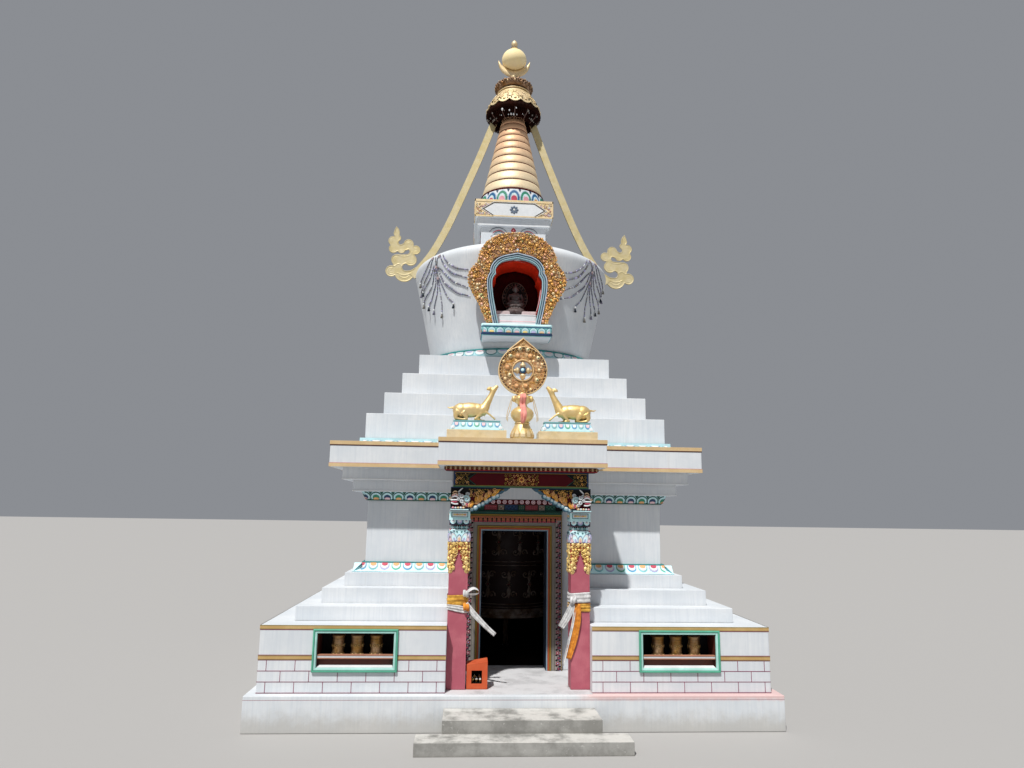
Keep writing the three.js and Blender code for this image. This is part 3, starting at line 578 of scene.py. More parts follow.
def spline(points, steps):
    """A smooth curve through points of any size, with steps pieces to each stretch."""
    curve = []
    last = len(points) - 1
    for i in range(last):
        stretch = points[max(i - 1, 0)], points[i], points[i + 1], points[min(i + 2, last)]
        for k in range(steps):
            t = k / steps
            curve.append(tuple(
                b + 0.5 * t * (c - a + t * (2 * a - 5 * b + 4 * c - d + t * (3 * (b - c) + d - a)))
                for a, b, c, d in zip(*stretch)
            ))
    return curve + [tuple(points[-1])]


def bezier(steps, *controls):
    """Points of a Bezier curve, without its first."""
    curve = []
    for k in range(1, steps + 1):
        level = [Vector(c) for c in controls]
        while len(level) > 1:
            level = [a.lerp(b, k / steps) for a, b in zip(level, level[1:])]
        curve.append(tuple(level[0]))
    return curve


def evenly(path, count):
    """count + 1 points at equal steps along a path."""
    line = [Vector(p) for p in path]
    lengths = [0.0]
    for a, b in zip(line, line[1:]):
        lengths.append(lengths[-1] + (b - a).length)
    found = []
    k = 0
    for i in range(count + 1):
        reach = lengths[-1] * i / count
        while k < len(line) - 2 and lengths[k + 1] < reach:
            k += 1
        share = (reach - lengths[k]) / max(lengths[k + 1] - lengths[k], 1e-9)
        found.append(line[k].lerp(line[k + 1], min(share, 1.0)))
    return found


def path_length(path):
    """The length of a path through its points."""
    return sum((Vector(b) - Vector(a)).length for a, b in zip(path, path[1:]))


def circle(radius, count, centre=(0, 0)):
    """An anticlockwise circle of count points."""
    angles = [math.tau * i / count for i in range(count)]
    return [(centre[0] + radius * math.cos(a), centre[1] + radius * math.sin(a)) for a in angles]


def square(half, centre=(0, 0)):
    """An anticlockwise square about a centre, or a rectangle where half is a pair."""
    a, b = half if hasattr(half, "__len__") else (half, half)
    x, y = centre
    return [(x - a, y - b), (x + a, y - b), (x + a, y + b), (x - a, y + b)]


def without(stretch, gaps):
    """The parts of a stretch (a, b) that lie outside every gap."""
    pieces = [stretch]
    for low, high in gaps:
        halves = [half for a, b in pieces for half in ((a, min(b, low)), (max(a, high), b))]
        pieces = [(a, b) for a, b in halves if b - a > 0.01]
    return pieces


# Shapes: points and faces gathered into one mesh for each piece.
class Shape:
    """Gathers the faces of one piece. mark is a form's material, and place puts it on its wall."""

    def __init__(self):
        self.points, self.faces, self.marks, self.smooth = [], [], [], []

    def add(self, points, faces, mark, smooth=False, place=None):
        """Adds points and faces, with the faces' numbers counted from the first of these points."""
        start = len(self.points)
        self.points += [place(*p) for p in points] if place else list(points)
        self.faces += [[start + i for i in face] for face in faces]
        self.marks += [mark] * len(faces)
        self.smooth += [smooth] * len(faces)
        return self

    def slab(self, u0, u1, v0, v1, w0, w1, mark, place=None, edge=0.0):
        """A block whose front face is drawn in by edge, so that it catches light."""
        outline = [(u0, v0), (u1, v0), (u1, v1), (u0, v1)]
        return self.prism(outline, w0, w1, mark, place, min(edge, (u1 - u0) / 3, (v1 - v0) / 3))

    def prism(self, outline, w0, w1, mark, place=None, edge=0.0):
        """An outline, anticlockwise, raised from w0 to w1 with a chamfer of edge round its front."""
        rings = [(outline, w0), (outline, w1 - edge)]
        if edge > 0:
            rings.append((inset(outline, edge), w1))
        return self.stack(rings, mark, place)

    def stack(self, rings, mark, place=None):
        """Rings of equal count, each (outline, w), joined by side faces and closed at both ends."""
        count = len(rings[0][0])
        points = [(u, v, w) for outline, w in rings for u, v in outline]
        faces = []
        for start in range(0, (len(rings) - 1) * count, count):
            for i in range(count):
                a, b = start + i, start + (i + 1) % count
                faces.append([a, b, b + count, a + count])
        last = (len(rings) - 1) * count
        faces.append([last + i for i in range(count)])
        faces.append([count - 1 - i for i in range(count)])
        return self.add(points, faces, mark, False, place)

    def moulding(self, path, profile, mark, place=None, closed=False):
        """A profile of (distance to the right, w) swept along a path of (u, v), mitred at corners.

        The profile is listed from its right foot up and over to its left foot.
        """
        size = len(profile)
        shifts = mitres(path, closed)
        points = [(u + du * o, v + dv * o, w) for (u, v), (du, dv) in zip(path, shifts) for o, w in profile]
        faces = []
        for i in range(len(path) - (0 if closed else 1)):
            j = (i + 1) % len(path)
            for k in range(size):
                m = (k + 1) % size
                faces.append([i * size + k, j * size + k, j * size + m, i * size + m])
        if not closed:
            end = (len(path) - 1) * size
            faces.append([k for k in range(size)])
            faces.append([end + k for k in reversed(range(size))])
        return self.add(points, faces, mark, False, place)

    def ball(self, centre, radii, mark, place=None, segments=8, rings=5, turn=0.0):
        """An ellipsoid in local axes, turned about w."""
        cu, cv, cw = centre
        ru, rv, rw = radii if hasattr(radii, "__len__") else (radii,) * 3
        c, s = math.cos(turn), math.sin(turn)
        points, faces = [], []
        for i in range(1, rings):
            polar = math.pi * i / rings
            for j in range(segments):
                a = math.tau * j / segments
                x, y = ru * math.sin(polar) * math.cos(a), rv * math.sin(polar) * math.sin(a)
                points.append((cu + x * c - y * s, cv + x * s + y * c, cw + rw * math.cos(polar)))
        top, low = len(points), len(points) + 1
        points += [(cu, cv, cw + rw), (cu, cv, cw - rw)]
        for i in range(rings - 2):
            for j in range(segments):
                a, b = i * segments + j, i * segments + (j + 1) % segments
                faces.append([a, a + segments, b + segments, b])
        last = (rings - 2) * segments
        for j in range(segments):
            k = (j + 1) % segments
            faces.append([top, j, k])
            faces.append([last + k, last + j, low])
        return self.add(points, faces, mark, True, place)

    def tube(self, path, radius, mark, place=None, sides=6):
        """A round bar along 3-D points; radius is a number or one for each point."""
        line = [Vector(place(*p) if place else p) for p in path]
        radii = radius if hasattr(radius, "__len__") else [radius] * len(line)
        points, faces = [], []
        across = None
        for i, p in enumerate(line):
            ahead = (line[min(i + 1, len(line) - 1)] - line[max(i - 1, 0)]).normalized()
            across = ahead.orthogonal() if across is None else across - ahead * across.dot(ahead)
            across = across.normalized()
            side = ahead.cross(across)
            for k in range(sides):
                a = math.tau * k / sides
                points.append(p + (across * math.cos(a) + side * math.sin(a)) * radii[i])
        for start in range(0, (len(line) - 1) * sides, sides):
            for k in range(sides):
                a, b = start + k, start + (k + 1) % sides
                faces.append([a, b, b + sides, a + sides])
        end = (len(line) - 1) * sides
        faces += [[k for k in reversed(range(sides))], [end + k for k in range(sides)]]
        return self.add(points, faces, mark, True)

    def turned(self, profile, mark=None, centre=(0, 0), segments=64, marks=None, ripple=None):
        """A profile of (radius, z), from the foot up, turned about an upright axis.

        marks names each stretch's material, and ripple(angle, z) scales the radius.
        """
        points, faces, used = [], [], []
        for r, z in profile:
            for j in range(segments):
                a = math.tau * j / segments
                size = r * (ripple(a, z) if ripple else 1)
                points.append((centre[0] + size * math.cos(a), centre[1] + size * math.sin(a), z))
        for i in range(len(profile) - 1):
            for j in range(segments):
                a, b = i * segments + j, i * segments + (j + 1) % segments
                faces.append([a, b, b + segments, a + segments])
                used.append(marks[i] if marks else mark)
        start = len(self.marks)
        self.add(points, faces, mark, True)
        self.marks[start:] = used
        return self

    def twin(self):
        """The same shape on the other side of the middle plane."""
        other = Shape()
        other.points = [(-p[0], p[1], p[2]) for p in self.points]
        other.faces = [face[::-1] for face in self.faces]
        other.marks, other.smooth = list(self.marks), list(self.smooth)
        return other

    def build(self, name, body=ROOT, slot=None, stands_for=()):
        """Makes the piece, hangs it on its body and hides the nodes that it replaces; slot is not used."""
        mesh = bpy.data.meshes.new(name)
        mesh.from_pydata([tuple(p) for p in self.points], [], self.faces)
        materials = list(dict.fromkeys(self.marks))
        for material in materials:
            mesh.materials.append(material)
        mesh.polygons.foreach_set("material_index", [materials.index(mark) for mark in self.marks])
        mesh.polygons.foreach_set("use_smooth", self.smooth)
        mesh.update()
        piece = bpy.data.objects.new(name, mesh)
        bpy.context.scene.collection.objects.link(piece)
        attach(piece, body)
        if stands_for:
            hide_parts(*stands_for)
        return piece


def build_pair(shape, name, **settings):
    """A piece for the right side and its twin for the left; {side} in a name or node is filled in."""
    stands_for = settings.pop("stands_for", ())
    for side, form in (("right", shape), ("left", shape.twin())):
        nodes = [node.format(side=side) for node in stands_for]
        form.build(name.format(side=side), stands_for=nodes, **settings)


def keep_modified(piece):
    """The piece's mesh as its modifiers leave it, kept as a plain mesh."""
    graph = bpy.context.evaluated_depsgraph_get()
    mesh = bpy.data.meshes.new_from_object(piece.evaluated_get(graph))
    piece.modifiers.clear()
    piece.data = mesh
    return piece


def blend_skin(piece, voxel, softness):
    """Joins the overlapping forms of a sculpted piece under one smooth skin."""
    remesh = piece.modifiers.new("skin", "REMESH")
    remesh.mode = "VOXEL"
    remesh.voxel_size = voxel
    remesh.use_smooth_shade = True
    smooth = piece.modifiers.new("soften", "SMOOTH")
    smooth.factor = 0.5
    smooth.iterations = softness
    return keep_modified(piece)


# Places: each puts local (u, v, w) on a surface of the building.
def wall(quarter, half, centre=(0, 0)):
    """An upright face of a square block: quarter 0 in front, then on anticlockwise; v is the height."""
    c, s = (1, 0, -1, 0)[quarter], (0, 1, 0, -1)[quarter]

    def place(u, v, w):
        out = half + w
        return (centre[0] + u * c + out * s, centre[1] + u * s - out * c, v)
    return place


def slope(quarter, foot_half, head_half, foot, head, centre=(0, 0)):
    """A leaning face, with v measured up the face from its foot."""
    rise, lean = head - foot, head_half - foot_half
    size = math.hypot(rise, lean)

    def place(u, v, w):
        out = (v * lean + w * rise) / size
        return wall(quarter, foot_half, centre)(u, foot + (v * rise - w * lean) / size, out)
    return place


def slope_length(foot_half, head_half, foot, head):
    """How long a leaning face is, measured up it."""
    return math.hypot(head_half - foot_half, head - foot)


def round_wall(radius_at, centre=(0, 0), u_radius=None):
    """A turned surface: u runs round it from the front, v is the height, and w stands straight out."""
    def place(u, v, w):
        r = radius_at(v)
        a = u / (u_radius or r)
        return (centre[0] + (r + w) * math.sin(a), centre[1] - (r + w) * math.cos(a), v)
    return place


def moved(place, du=0.0, dv=0.0, turn=0.0, dw=0.0):
    """A place inside a place: drawn at (du, dv), turned, and raised by dw."""
    c, s = math.cos(turn), math.sin(turn)

    def inner(u, v, w):
        return place(du + u * c - v * s, dv + u * s + v * c, dw + w)
    return inner


# Generic ornament, drawn about (0, 0) of a place.
def arch(width, height, steps=8, part=0):
    """A lotus petal's outline, anticlockwise from its right foot at v = 0; part keeps one half of it."""
    shoulder, foot_half, tip = 0.42, 0.46, 0.07
    right = [(width * foot_half, 0.0)]
    for i in range(steps // 2 + 1):
        a = math.pi * i / steps
        rise = shoulder + (1 - shoulder) * ((1 - tip) * math.sin(a) + tip * math.sin(a) ** 8)
        right.append((width / 2 * math.cos(a), height * rise))
    right[-1] = (0.0, right[-1][1])
    left = [(-u, v) for u, v in reversed(right)]
    if part > 0:
        return right + [(0.0, 0.0)]
    if part < 0:
        return left + [(0.0, 0.0)]
    return right + left[1:]


def petal(shape, place, width, height, layers, lift=0.016, part=0):
    """A petal of stepped layers, each (size, mark); size is a share of the whole, or a pair for both ways."""
    for k, (size, mark) in enumerate(layers):
        wide, tall = size if hasattr(size, "__len__") else (size, size)
        top = lift * (0.45 + 0.55 * k / max(len(layers) - 1, 1))
        shape.prism(arch(width * wide, height * tall, 8, part), SUNK, top, mark, place, lift * 0.14)


def lotus_row(shape, place, reach, spacing, v, height, sets, gap=0.0, lift=0.016, dart=None,
              hanging=False, whole=False):
    """A row of petals from -reach to reach, in turn through sets, with half petals at its ends unless whole.

    Petals that would reach into the middle stretch of half width gap are left out. dart is the paint of
    the wedges between petals.
    """
    count = max(round(2 * reach / spacing), 1)
    step = 2 * reach / count
    turn = math.pi if hanging else 0.0
    starts = 0.5 if whole else 0.0
    for i in range(count + (0 if whole else 1)):
        u = (i + starts) * step - reach
        if gap and abs(u) < gap + step * 0.48:
            continue
        part = 0
        if not whole and i in (0, count):
            part = (1 if i == 0 else -1) * (-1 if hanging else 1)
        petal(shape, moved(place, u, v, turn), step * 0.98, height, sets[i % len(sets)], lift, part)
    if dart is None:
        return
    for i in range(count if not whole else count - 1):
        u = (i + starts + 0.5) * step - reach
        if gap and abs(u) < gap:
            continue
        tip = moved(place, u, v + (-height if hanging else height), turn)
        shape.prism([(step * 0.15, 0), (-step * 0.15, 0), (0, -height * 0.40)], SUNK, lift * 0.4, dart, tip)


def scroll(shape, place, size, mark, turns=1.3, hand=1):
    """A spiral that thickens outwards, about size across, like a curled leaf."""
    steps = max(int(turns * 9), 5)
    path, radii = [], []
    for i in range(steps + 1):
        t = i / steps
        a = math.tau * turns * (1 - t)
        r = size * (0.08 + 0.40 * t)
        path.append((hand * r * math.cos(a), r * math.sin(a), size * 0.08))
        radii.append(size * (0.05 + 0.07 * t))
    shape.tube(path, radii, mark, place, sides=5)
    shape.ball((0, 0, size * 0.08), size * 0.12, mark, place, 6, 4)


def leaf(shape, place, length, width, mark, lift=0.35):
    """A pointed leaf from (0, 0) up to (0, length), with a raised middle."""
    side = [(0.5, 0.35), (0.42, 0.62), (0.2, 0.86)]
    right = [(width * a, length * b) for a, b in side]
    left = [(-u, v) for u, v in reversed(right)]
    outline = [(width * 0.12, 0), *right, (0, length), *left, (-width * 0.12, 0)]
    rings = [(outline, 0), (outline, width * lift * 0.4), (inset(outline, width * 0.3), width * lift)]
    shape.stack(rings, mark, place)


def rosette(shape, place, radius, petal_mark, heart_mark, petals=6):
    """A flower of round petals about a raised heart."""
    for i in range(petals):
        a = math.tau * i / petals
        centre = (radius * 0.62 * math.cos(a), radius * 0.62 * math.sin(a), radius * 0.12)
        shape.ball(centre, (radius * 0.36, radius * 0.28, radius * 0.26), petal_mark, place, 6, 4, a)
    shape.ball((0, 0, radius * 0.2), (radius * 0.3, radius * 0.3, radius * 0.32), heart_mark, place, 6, 4)


def bead_row(shape, place, path, spacing, radius, marks):
    """Beads in turn through marks, spaced along a path of (u, v)."""
    count = max(round(path_length(path) / spacing), 1)
    for i, p in enumerate(evenly(path, count)):
        shape.ball((p[0], p[1], radius * 0.4), radius, marks[i % len(marks)], place, 6, 4)


def foliage(shape, place, width, height, size, marks, dice):
    """A panel filled with scrolls and beads, for painted work."""
    columns, rows = max(round(width / size), 1), max(round(height / size), 1)
    for row in range(rows):
        for column in range(columns):
            u = (column + 0.5) * width / columns - width / 2
            v = (row + 0.5) * height / rows - height / 2
            spot = moved(place, u, v, dice.choice((0, math.pi / 2, math.pi, -math.pi / 2)))
            scroll(shape, spot, size * 0.9, dice.choice(marks), 1.1, dice.choice((-1, 1)))
            shape.ball((size * 0.42, -size * 0.42, size * 0.06), size * 0.14, dice.choice(marks), spot, 6, 4)


# Base: painted bands, brick lines and the two front niches.
WINDOW = {"centre": 2.063, "half": 0.475, "foot": 0.735, "head": 1.145, "bar": 0.052, "depth": 0.32}
WINDOW_GAPS = [
    (side * WINDOW["centre"] - WINDOW["half"] - WINDOW["bar"],
     side * WINDOW["centre"] + WINDOW["half"] + WINDOW["bar"])
    for side in (-1, 1)
]
LINE = 0.009
BANDS = ((1.190, BASE_TOP, ()), (0.829, 0.878, WINDOW_GAPS))


def storey_band(shape, half, z0, z1, proud, mark, front_gaps=()):
    """A band round a square storey; front_gaps are stretches of the front left out."""
    for quarter in QUARTERS:
        reach = half + proud if quarter % 2 == 0 else half
        for a, b in without((-reach, reach), front_gaps if quarter == 0 else ()):
            shape.slab(a, b, z0, z1, SUNK, proud, mark, wall(quarter, half), edge=0.0012)


def base_bands():
    """Ochre bands with darker edges and a dark red line under and over them."""
    shape = Shape()
    porch = (-PORCH_HALF, PORCH_HALF)
    for z0, z1, gaps in BANDS:
        open_front = [porch, *gaps]
        storey_band(shape, BASE_HALF, z0, z1, 0.004, OCHRE, open_front)
        for edge in (z0, z1 - 0.010):
            storey_band(shape, BASE_HALF, edge, edge + 0.010, 0.005, OCHRE_EDGE, open_front)
        storey_band(shape, BASE_HALF, z0 - LINE, z0, 0.003, MAROON_LINE, open_front)
        if z1 < BASE_TOP:
            storey_band(shape, BASE_HALF, z1, z1 + LINE, 0.003, MAROON_LINE, open_front)
    shape.build("base_ochre_bands", slot="carved_gold")


def brick_lines():
    """Three courses of painted bricks in running bond, round all four sides of the base."""
    shape = Shape()
    courses, length, shift = 3, 0.351, 0.013
    foot, head = PLINTH_TOP + 0.004, BANDS[1][0] - LINE
    rise = (head - foot) / courses
    porch = (-PORCH_HALF, PORCH_HALF)
    window_foot = WINDOW["foot"] - WINDOW["bar"]
    for quarter in QUARTERS:
        place = wall(quarter, BASE_HALF)
        for course in range(courses):
            z = foot + course * rise
            front_gaps = [porch, *(WINDOW_GAPS if z + LINE > window_foot else ())]
            gaps = front_gaps if quarter == 0 else []
            for a, b in without((-BASE_HALF, BASE_HALF), gaps):
                shape.slab(a, b, z, z + LINE * 0.8, SET_IN, 0.0025, MAROON_LINE, place)
            count = int(BASE_HALF / length) + 1
            for i in range(-count, count + 1):
                u = (i + 0.5 * (course % 2)) * length + shift
                in_window = quarter == 0 and any(a < u < b for a, b in WINDOW_GAPS)
                top = min(z + rise, window_foot) if in_window else z + rise
                in_porch = quarter == 0 and abs(u) < PORCH_HALF
                if abs(u) < BASE_HALF and not in_porch and top - z > 0.02:
                    shape.slab(u - LINE * 0.4, u + LINE * 0.4, z, top, SET_IN, 0.0025, MAROON_LINE, place)
    shape.build("brick_lines")


def window_casing():
    """The green frame of the right front niche, and its twin."""
    half, foot, head, bar = WINDOW["half"], WINDOW["foot"], WINDOW["head"], WINDOW["bar"]
    front = moved(wall(0, BASE_HALF), WINDOW["centre"])
    path = [(half, foot), (half, head), (-half, head), (-half, foot)]
    casing = Shape()
    step = 0.030
    outer = [(bar, -0.004), (bar, 0.028), (bar - 0.006, 0.034), (step + 0.004, 0.034), (step, 0.028),
             (step, -0.004)]
    inner = [(step, -0.004), (step, 0.022), (step - 0.006, 0.027), (0.006, 0.024), (0.0, 0.012),
             (0.0, -0.030), (0.004, -0.030)]
    casing.moulding(path, outer, EMERALD, front, closed=True)
    casing.moulding(path, inner, PALE_EMERALD, front, closed=True)
    build_pair(casing, "{side}_niche_casing", slot="lotus_paint")


def window_lining():
    """The brown and black lining and white sill of the right front niche, and their twins; the black back and
    floor and a brown board under the rail are painted shade.
    """
    half, foot, head, depth = WINDOW["half"], WINDOW["foot"], WINDOW["head"], WINDOW["depth"]
    front = moved(wall(0, BASE_HALF), WINDOW["centre"])
    lining = Shape()
    skin, back = 0.003, 0.004 - depth
    sides = ((-half, skin - half, foot, head), (half - skin, half, foot, head),
             (-half, half, head - skin, head))
    for u0, u1, v0, v1 in sides:
        lining.slab(u0, u1, v0, v1, back, -0.002, NICHE_BROWN, front)
    # Painted shade: the black back and floor, and the brown board under the rail that hides the wheels' feet.
    lining.slab(-half, half, foot, head, back - 0.002, back, BLACK, front)
    lining.slab(-half, half, foot, foot + 0.008, back, -0.066, BLACK, front)
    lining.slab(0.002 - half, half - 0.002, foot + 0.020, 0.838, -0.068, -0.060, NICHE_BROWN, front)
    deep_half, rise = half - 0.018, 0.024
    deep = [(-deep_half, foot), (deep_half, foot), (deep_half, foot + rise), (-deep_half, foot + rise)]
    lip = [(-half, foot), (half, foot), (half, foot + 0.003), (-half, foot + 0.003)]
    lining.stack([(deep, -0.066), (lip, 0.0)], WHITE, front)
    build_pair(lining, "{side}_niche_lining")


def window_rail():
    """The moulded rail across the right front niche, and its twin."""
    half, z = WINDOW["half"], 0.8615
    front = moved(wall(0, BASE_HALF), WINDOW["centre"])
    rail = Shape()
    bead = [(0.026, -0.058), (0.026, -0.012), (0.021, -0.006), (0.013, -0.007), (0.009, -0.018),
            (-0.009, -0.018), (-0.013, -0.007), (-0.021, -0.006), (-0.026, -0.012), (-0.026, -0.058)]
    rail.moulding([(0.002 - half, z), (half - 0.002, z)], bead, RAIL_WOOD, front)
    build_pair(rail, "{side}_niche_rail_face", slot="maroon_paint")


def niche_wheel(name):
    """A small brass prayer wheel: rolled rims, a lotus foot and raised scroll work between beaded lines."""
    low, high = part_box(name)
    centre = ((low.x + high.x) / 2, (low.y + high.y) / 2)
    foot, top, r, shaft = 0.762, 1.112, 0.080, 0.012
    profile = [
        (shaft, low.z), (shaft, foot), (r - 0.006, foot), (r + 0.004, foot + 0.008),
        (r + 0.004, foot + 0.022), (r - 0.004, foot + 0.034), (r - 0.005, top - 0.036),
        (r + 0.003, top - 0.026), (r + 0.004, top - 0.012), (r - 0.010, top), (shaft, top), (shaft, high.z),
    ]
    shape = Shape()
    shape.turned([(0.0, low.z), *profile, (0.0, high.z)], BRASS, centre, 32)
    place = round_wall(lambda z: r - 0.005, centre)
    girth = math.tau * (r - 0.005)
    for z in (foot + 0.055, foot + 0.150, foot + 0.165, foot + 0.262, top - 0.055):
        ring = [(i * girth / 24, z) for i in range(25)]
        shape.tube([(u, v, 0.001) for u, v in ring], 0.0028, BRASS, place, 5)
    for row, z in enumerate((foot + 0.102, foot + 0.213)):
        for i in range(8):
            spot = moved(place, (i + 0.5 * row) * girth / 8, z)
            scroll(shape, spot, 0.048, GOLD, 1.2, 1 if i % 2 else -1)
            shape.ball((0.026, -0.018, 0.002), 0.005, GOLD, spot, 5, 4)
    for i in range(14):
        leaf(shape, moved(place, i * girth / 14, foot + 0.028), 0.024, 0.026, GOLD)
    shape.build(f"{name}_drum", body=name, slot="wheel_brass", stands_for=[name])


base_bands()
brick_lines()
window_casing()
window_lining()
window_rail()
for node_name in sorted(frame["nodes"]):
    if "niche_wheel" in node_name:
        niche_wheel(node_name)


# Cornice bands, and a white lip under each step of the cornice and the box.
def cornice_bands():
    """Pale gold bands along the cornice's upper and lower edges, with the thin lines drawn beside them."""
    shape = Shape()

    def run(low, high, proud, paint):
        """A band right round the cornice and the porch roof's edge."""
        storey_band(shape, CORNICE_HALF, low, high, proud, paint, [(-ROOF_HALF, ROOF_HALF)])
        shape.slab(-ROOF_HALF - proud, ROOF_HALF + proud, low, high, SUNK, proud, paint,
                   wall(0, -ROOF_FRONT))
        shape.slab(ROOF_FRONT, -CORNICE_HALF, low, high, SUNK, proud, paint, wall(1, ROOF_HALF))
        shape.slab(CORNICE_HALF, -ROOF_FRONT, low, high, SUNK, proud, paint, wall(3, ROOF_HALF))
    upper, lower = CORNICE_TOP - 0.052, CORNICE_FOOT + 0.048
    run(upper, CORNICE_TOP, 0.006, PALE_OCHRE)
    run(upper - 0.016, upper, 0.004, BROWN_LINE)
    run(CORNICE_FOOT, lower, 0.006, PALE_OCHRE)
    run(lower, lower + LINE, 0.004, PINK_LINE)
    shape.build("cornice_gold_bands", slot="gilt")


def edge_lips():
    """A rounded white lip along the lower edge of each step under the cornice and the box."""
    shape = Shape()
    porch = [(-PORCH_HALF, PORCH_HALF)]
    steps = ((2.345, 2.93, porch), (2.480, 3.09, porch), (0.645, 7.72, ()),
             (BOX_HEAD_HALF, BOX_HEAD_FOOT, ()))
    for half, z, gaps in steps:
        storey_band(shape, half, z + 0.001, z + 0.020, 0.006, WHITE, gaps)
    shape.build("step_edge_lips", slot="limewash")


cornice_bands()
edge_lips()


# Lotus bands. Each set lists the layers of one petal, from its outline to its heart.
UPRIGHT_SETS = [
    ((1.0, DARK_GREEN), (0.90, PALE_AQUA), ((0.62, 0.66), DARK_BLUE), ((0.50, 0.30), SOFT_PINK)),
    ((1.0, DARK_GREEN), (0.90, PALE_AQUA), ((0.62, 0.66), GREEN), ((0.50, 0.30), PEACH)),
]
HANGING_SETS = [
    (((0.84, 1.0), rim_paint), ((0.70, 0.82), WHITE), ((0.52, 0.44), heart))
    for rim_paint, heart in ((SKY_BLUE, ROSE), (AQUA, PEACH), (LILAC, ROSE), (LEAF_GREEN, PEACH))
]


def upper_band():
    """Upright petals between the wall and the cornice."""
    shape = Shape()
    foot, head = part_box("upper_lotus_band")[0].z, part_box("upper_lotus_band")[1].z
    foot_half, head_half = 2.16, 2.23
    length = slope_length(foot_half, head_half, foot, head)
    for quarter in QUARTERS:
        place = slope(quarter, foot_half, head_half, foot, head)
        gap = PORCH_HALF if quarter == 0 else 0.0
        for a, b in without((-2.165, 2.165), [(-gap, gap)]):
            shape.slab(a, b, -0.012, 0.010, SUNK, 0.014, DARK_GREEN, place, edge=0.004)
        lotus_row(shape, place, 2.19, 0.162, 0.008, length * 0.93, UPRIGHT_SETS, gap, dart=DARK_GREEN)
    shape.build("upper_lotus_petals", slot="lotus_paint")


def lower_band():
    """Hanging petals between the base and the wall, under a dark line."""
    shape = Shape()
    foot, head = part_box("lower_lotus_band")[0].z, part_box("lower_lotus_band")[1].z
    foot_half, head_half, line = 2.30, 2.17, 0.016
    length = slope_length(foot_half, head_half, foot, head)
    for quarter in QUARTERS:
        place = slope(quarter, foot_half, head_half, foot, head)
        gap = PORCH_HALF if quarter == 0 else 0.0
        for a, b in without((-2.18, 2.18), [(-gap, gap)]):
            shape.slab(a, b, length - line, length + 0.004, SUNK, 0.012, TEAL, place, edge=0.004)
        for a, b in without((-2.29, 2.29), [(-gap, gap)]):
            shape.slab(a, b, 0.0, 0.010, SUNK, 0.006, GREY_AQUA, place, edge=0.002)
            shape.slab(a, b, 0.010, length - line, SUNK, 0.001, CAPITAL_AQUA, place)
        lotus_row(shape, place, 2.18, 0.1615, length - 0.024, length * 0.66, HANGING_SETS, gap, hanging=True)
    shape.build("lower_lotus_petals", slot="lotus_paint")


def terrace_band():
    """A sloping skirt of shallow white scallops above the cornice."""
    shape = Shape()
    foot_half, head_half = 2.335, 2.235
    foot, head = CORNICE_TOP + 0.001, CORNICE_TOP + 0.080
    shape.stack([(square(foot_half), foot), (square(head_half), head)], PALE_AQUA)
    length = slope_length(foot_half, head_half, foot, head)
    sets = [((0.94, AQUA), ((0.80, 0.84), WHITE)), ((0.94, SKY_BLUE), ((0.80, 0.84), WHITE))]
    for quarter in QUARTERS:
        place = slope(quarter, foot_half, head_half, foot, head)
        lotus_row(shape, place, 2.24, 0.19, length - 0.004, length * 0.86, sets, hanging=True, lift=0.008)
    shape.build("terrace_lotus_petals", slot="lotus_paint")


def dome_ring_band():
    """Wide shallow petals round the dome's foot, hung from a teal line."""
    shape = Shape()
    foot, line_foot, line_head, middle = 5.135, 5.256, 5.284, 1.48
    place = round_wall(lambda z: 1.492 - 0.19 * (z - TERRACE_TOP), u_radius=middle)
    girth = math.tau * middle
    line = [(1.40, 5.244), (1.466, 5.244), (1.480, 5.258), (1.466, line_head), (1.40, line_head)]
    skirt = [(1.44, foot), (1.4905, foot), (1.470, line_foot), (1.44, line_foot)]
    shape.turned(line, TEAL, segments=128)
    shape.turned(skirt, PALE_AQUA, segments=128)
    count = 48
    sets = [((1.0, rim), ((0.88, 0.84), WHITE), ((0.56, 0.26), heart))
            for rim, heart in ((AQUA, SOFT_PINK), (TEAL, WHITE), (AQUA, LILAC))]
    for i in range(count):
        spot = moved(place, i * girth / count, line_foot, math.pi)
        petal(shape, spot, girth / count * 0.96, 0.088, sets[i % 3], 0.012)
    shape.build("dome_ring_petals", slot="lotus_paint")


def spire_band():
    """The painted lotus at the foot of the spire, under a dark red line."""
    shape = Shape()
    foot, bulge, middle = BOX_HEAD_TOP, 8.30, 0.63

    def radius(z):
        return 0.625 + 0.010 * min((z - foot) / 0.11, 1) - 0.046 * max((z - bulge) / 0.19, 0)
    profile = [(radius(foot + 0.02 * i), foot + 0.02 * i) for i in range(15)]
    shape.turned([(0.55, foot), *profile, (0.55, 8.47)], WHITE, segments=96)
    place = round_wall(radius, u_radius=middle)
    hearts = (ROSE, PINK, PEACH, PINK)
    count, height = 18, 0.255
    step = math.tau * middle / count
    for i in range(count):
        spot = moved(place, i * step, 8.195)
        rim = BLUE if i % 2 == 0 else GREEN
        layers = ((1.0, LAVENDER), ((0.90, 0.92), rim), ((0.62, 0.70), PALE_AQUA), ((0.54, 0.62), WHITE),
                  ((0.50, 0.46), hearts[i % 4]))
        petal(shape, spot, step * 0.98, height, layers, 0.022)
        corner = moved(place, (i + 0.5) * step, 8.455)
        shape.prism([(0, -0.055), (0.024, 0), (-0.024, 0)], SUNK, 0.010, DARK_BLUE, corner, 0.002)
    line = [(0.56, 8.462), (0.597, 8.462), (0.603, 8.476), (0.597, RINGS_FOOT), (0.56, RINGS_FOOT)]
    shape.turned(line, MAROON, segments=96)
    shape.build("spire_lotus_petals", slot="lotus_paint")


upper_band()
lower_band()
terrace_band()
dome_ring_band()
spire_band()


